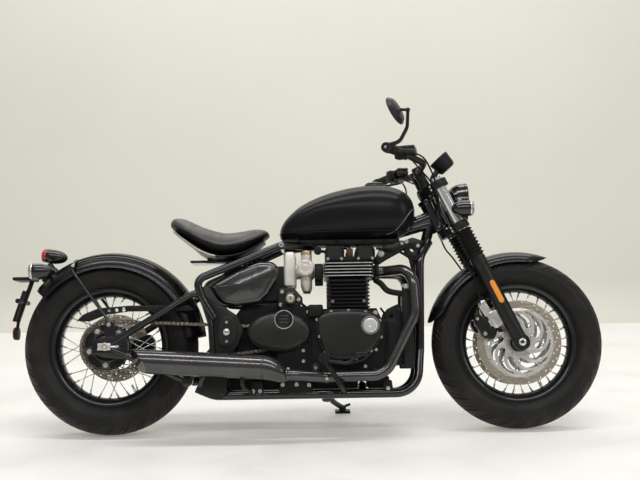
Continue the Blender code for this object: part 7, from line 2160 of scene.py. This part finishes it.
def lamps_and_clock():
    place = at(1.262, 0, 0.850) @ ALONG_X
    shell = [(0, 0), (0.018, 0.0008), (0.034, 0.0035), (0.048, 0.011), (0.059, 0.022), (0.067, 0.036),
        (0.0712, 0.052), (0.0715, 0.066), (0.0735, 0.068), (0.0738, 0.0775), (0.0705, 0.0800),
        (0.0690, 0.0760), (0.0650, 0.072), (0, 0.060)]
    parts = [(lathe(soft(shell, 0.001, 2), 72, place), "gloss_black")]
    glass = [(0, 0.0870)]
    for step in range(1, 10):
        share = step / 9
        glass.append((0.0688 * share, 0.0870 - 0.0100 * share**2))
    glass.append((0, 0.0735))
    parts.append((lathe(glass, 72, place), "lens_clear"))
    parts.append((lathe([(0, 0.062), (0.020, 0.0625), (0.050, 0.068), (0.0660, 0.0755), (0.0660, 0.0735),
        (0.050, 0.066), (0, 0.060)], 56, place), "steel_bright"))
    parts.append((bar([on_fork(-0.003, 0, LOWER_YOKE + 0.0285), on_fork(-0.003, 0, LOWER_YOKE + 0.076)],
        0.0128), "satin_black"))
    for side in (-1, 1):
        parts.append((screw(0.0065, 0.005, aimed((0, side, 0), (1.306, side * 0.0690, 0.850))),
            "steel_bright"))
    show("headlamp", parts, "steering", ["headlight"])
    parts = []
    for side in (-1, 1):
        arm = [on_fork(-0.004, side * 0.010, LOWER_YOKE + 0.0214), (1.306, side * 0.060, 0.777),
            (1.322, side * 0.104, 0.792), (1.305, side * 0.146, 0.806)]
        parts.append((bar(arm, 0.0061, 0.02, 14), "satin_black"))
        parts += bullet(0.029, 0.084, 0.58, at(1.264, side * 0.160, 0.806) @ ALONG_X, "gloss_black",
            "lens_clear")
    foot = box((-0.020, -0.024, LOWER_YOKE + 0.0143), (0.011, 0.024, LOWER_YOKE + 0.028), 0.003)
    parts.append((moved(foot, FORK_FRAME), "satin_black"))
    show("front_signals", parts, "steering", ["front_indicators"])
    tilt = at(1.238, 0, 1.020) @ Matrix.Rotation(math.radians(-42), 4, "Y")
    pod = soft([(0, -0.055), (0.029, -0.0545), (0.0355, -0.046), (0.0400, -0.010), (0.0408, -0.008),
        (0.0410, 0.0), (0.0385, 0.0018), (0.0370, -0.0010), (0, -0.0010)], 0.0012, 3)
    parts = [(lathe(pod, 64, tilt), "plastic_black"),
        (lathe([(0, 0.0006), (0.0366, 0.0006), (0.0366, -0.0008), (0, -0.0008)], 64, tilt), "clock_glass")]
    for number in range(13):
        a = math.radians(210 - 20 * number)
        mark = box((-0.0005, 0.0270, 0.0005), (0.0005, 0.0320, 0.0009), 0.0001, 1)
        mark.transform(tilt @ Matrix.Rotation(a, 4, "Z"))
        parts.append((mark, "steel_bright"))
    needle = box((-0.0006, -0.004, 0.0009), (0.0006, 0.025, 0.0014), 0.0002, 1)
    parts.append((moved(needle, tilt @ Matrix.Rotation(math.radians(140), 4, "Z")), "lens_red"))
    parts.append((lathe(soft([(0, 0.0008), (0.004, 0.0008), (0.004, 0.0017), (0, 0.0017)], 0.0003), 20,
        tilt), "satin_black"))
    stalk = [(1.2500, 0, 0.998), on_fork(0.004, 0, UPPER_YOKE + 0.040),
        on_fork(0.004, 0, UPPER_YOKE + 0.0143)]
    parts.append((bar(stalk, 0.0108, 0.02, 16), "satin_black"))
    show("clock_pod", parts, "steering", ["instrument"])


def front_axle():
    half = FORK_Y + 0.0275
    profile = soft([(0, -half + 0.004), (0.0062, -half + 0.004), (0.0062, -half - 0.0052),
        (0.0095, -half - 0.0058), (0.0138, -half - 0.0040), (0.0138, -half - 0.0006), (0.0099, -half),
        (0.0099, half), (0.0138, half + 0.0006), (0.0138, half + 0.0040), (0.0095, half + 0.0058),
        (0.0062, half + 0.0052), (0.0062, half - 0.004), (0, half - 0.004)], 0.0006, 2)
    show("front_axle_bolt", [(lathe(profile, 40, at(*FRONT_AXLE) @ ALONG_Y), "steel_bright")], "steering",
        ["front_axle"])


def hoses():
    """Brake hose, clutch and throttle cables and wires, each fixed at both ends."""
    steer = []
    union = FRONT_AXLE + Vector((-0.150, -0.090, 0.112))
    steer.append((hose([(1.128, -0.235, 1.000), (1.168, -0.190, 0.985), (1.205, -0.130, 0.930),
        (1.222, -0.100, 0.860), (1.236, -0.090, 0.760), (1.262, -0.088, 0.700), (1.300, -0.092, 0.640),
        (1.348, -0.096, 0.560), tuple(union + Vector((0.006, -0.004, 0.05))), tuple(union)], 0.0032, 10),
        "rubber_black"))
    steer.append((hose([tuple(union + Vector((0.002, 0, 0.032))),
        tuple(union + Vector((0.004, 0.0, 0.004))), tuple(union + Vector((0.014, 0.004, -0.018)))], 0.0036,
        10), "brass"))
    steer.append((hose([(1.120, 0.235, 1.000), (1.165, 0.190, 0.985), (1.200, 0.120, 0.930),
        (1.215, 0.096, 0.860), (1.236, 0.086, 0.770), (1.262, 0.084, 0.690), (1.300, 0.090, 0.640),
        (1.345, 0.092, 0.560), (FRONT_AXLE.x - 0.150, 0.090, FRONT_AXLE.z + 0.110)], 0.0032, 10),
        "rubber_black"))
    for side, out in ((-1, 0.034), (-1, 0.048), (1, 0.034)):
        steer.append((hose([(1.110, side * 0.225, 0.985), (1.165, side * 0.140, 0.945),
            (1.205, side * (0.020 + out), 0.915), (1.222, side * out, 0.865), (1.229, side * out, 0.805)],
            0.0028, 8), "rubber_black"))
    show("control_hoses", steer, "steering")
    parts = []
    for y, drop in ((-0.050, 0.0), (-0.060, 0.010)):
        parts.append((hose([(1.176, y, 0.720 - drop), (1.166, y - 0.012, 0.660),
            (1.130, y - 0.022, 0.640 - drop), (1.060, y - 0.030, 0.664), (0.990, y - 0.030, 0.672)], 0.0042,
            10), "rubber_black"))
    parts.append((hose([(0.700, -0.100, 0.470), (0.716, -0.112, 0.440), (0.730, -0.126, 0.410),
        (0.742, -0.128, 0.340), (0.735, -0.128, 0.270)], 0.0042, 10), "rubber_black"))
    parts.append((hose([(0.690, -0.092, 0.500), (0.722, -0.104, 0.462), (0.752, -0.124, 0.452)], 0.0050,
        10), "rubber_black"))
    parts.append((hose([(1.000, -0.098, 0.452), (1.018, -0.100, 0.420), (1.026, -0.104, 0.350),
        (1.014, -0.116, 0.262)], 0.0040, 10), "rubber_black"))
    show("engine_hoses", parts, "chassis")


finishes()
studio()
camera()
wheels()
chain()
main_frame()
side_stand()
swingarm()
mudguards()
tail()
seat()
tank()
cylinders()
engine_covers()
crankcase()
intake()
side_panels()
exhaust()
radiator()
footrests()
chain_guard()
fork_legs()
yokes()
handlebar()
mirrors()
lamps_and_clock()
front_axle()
hoses()
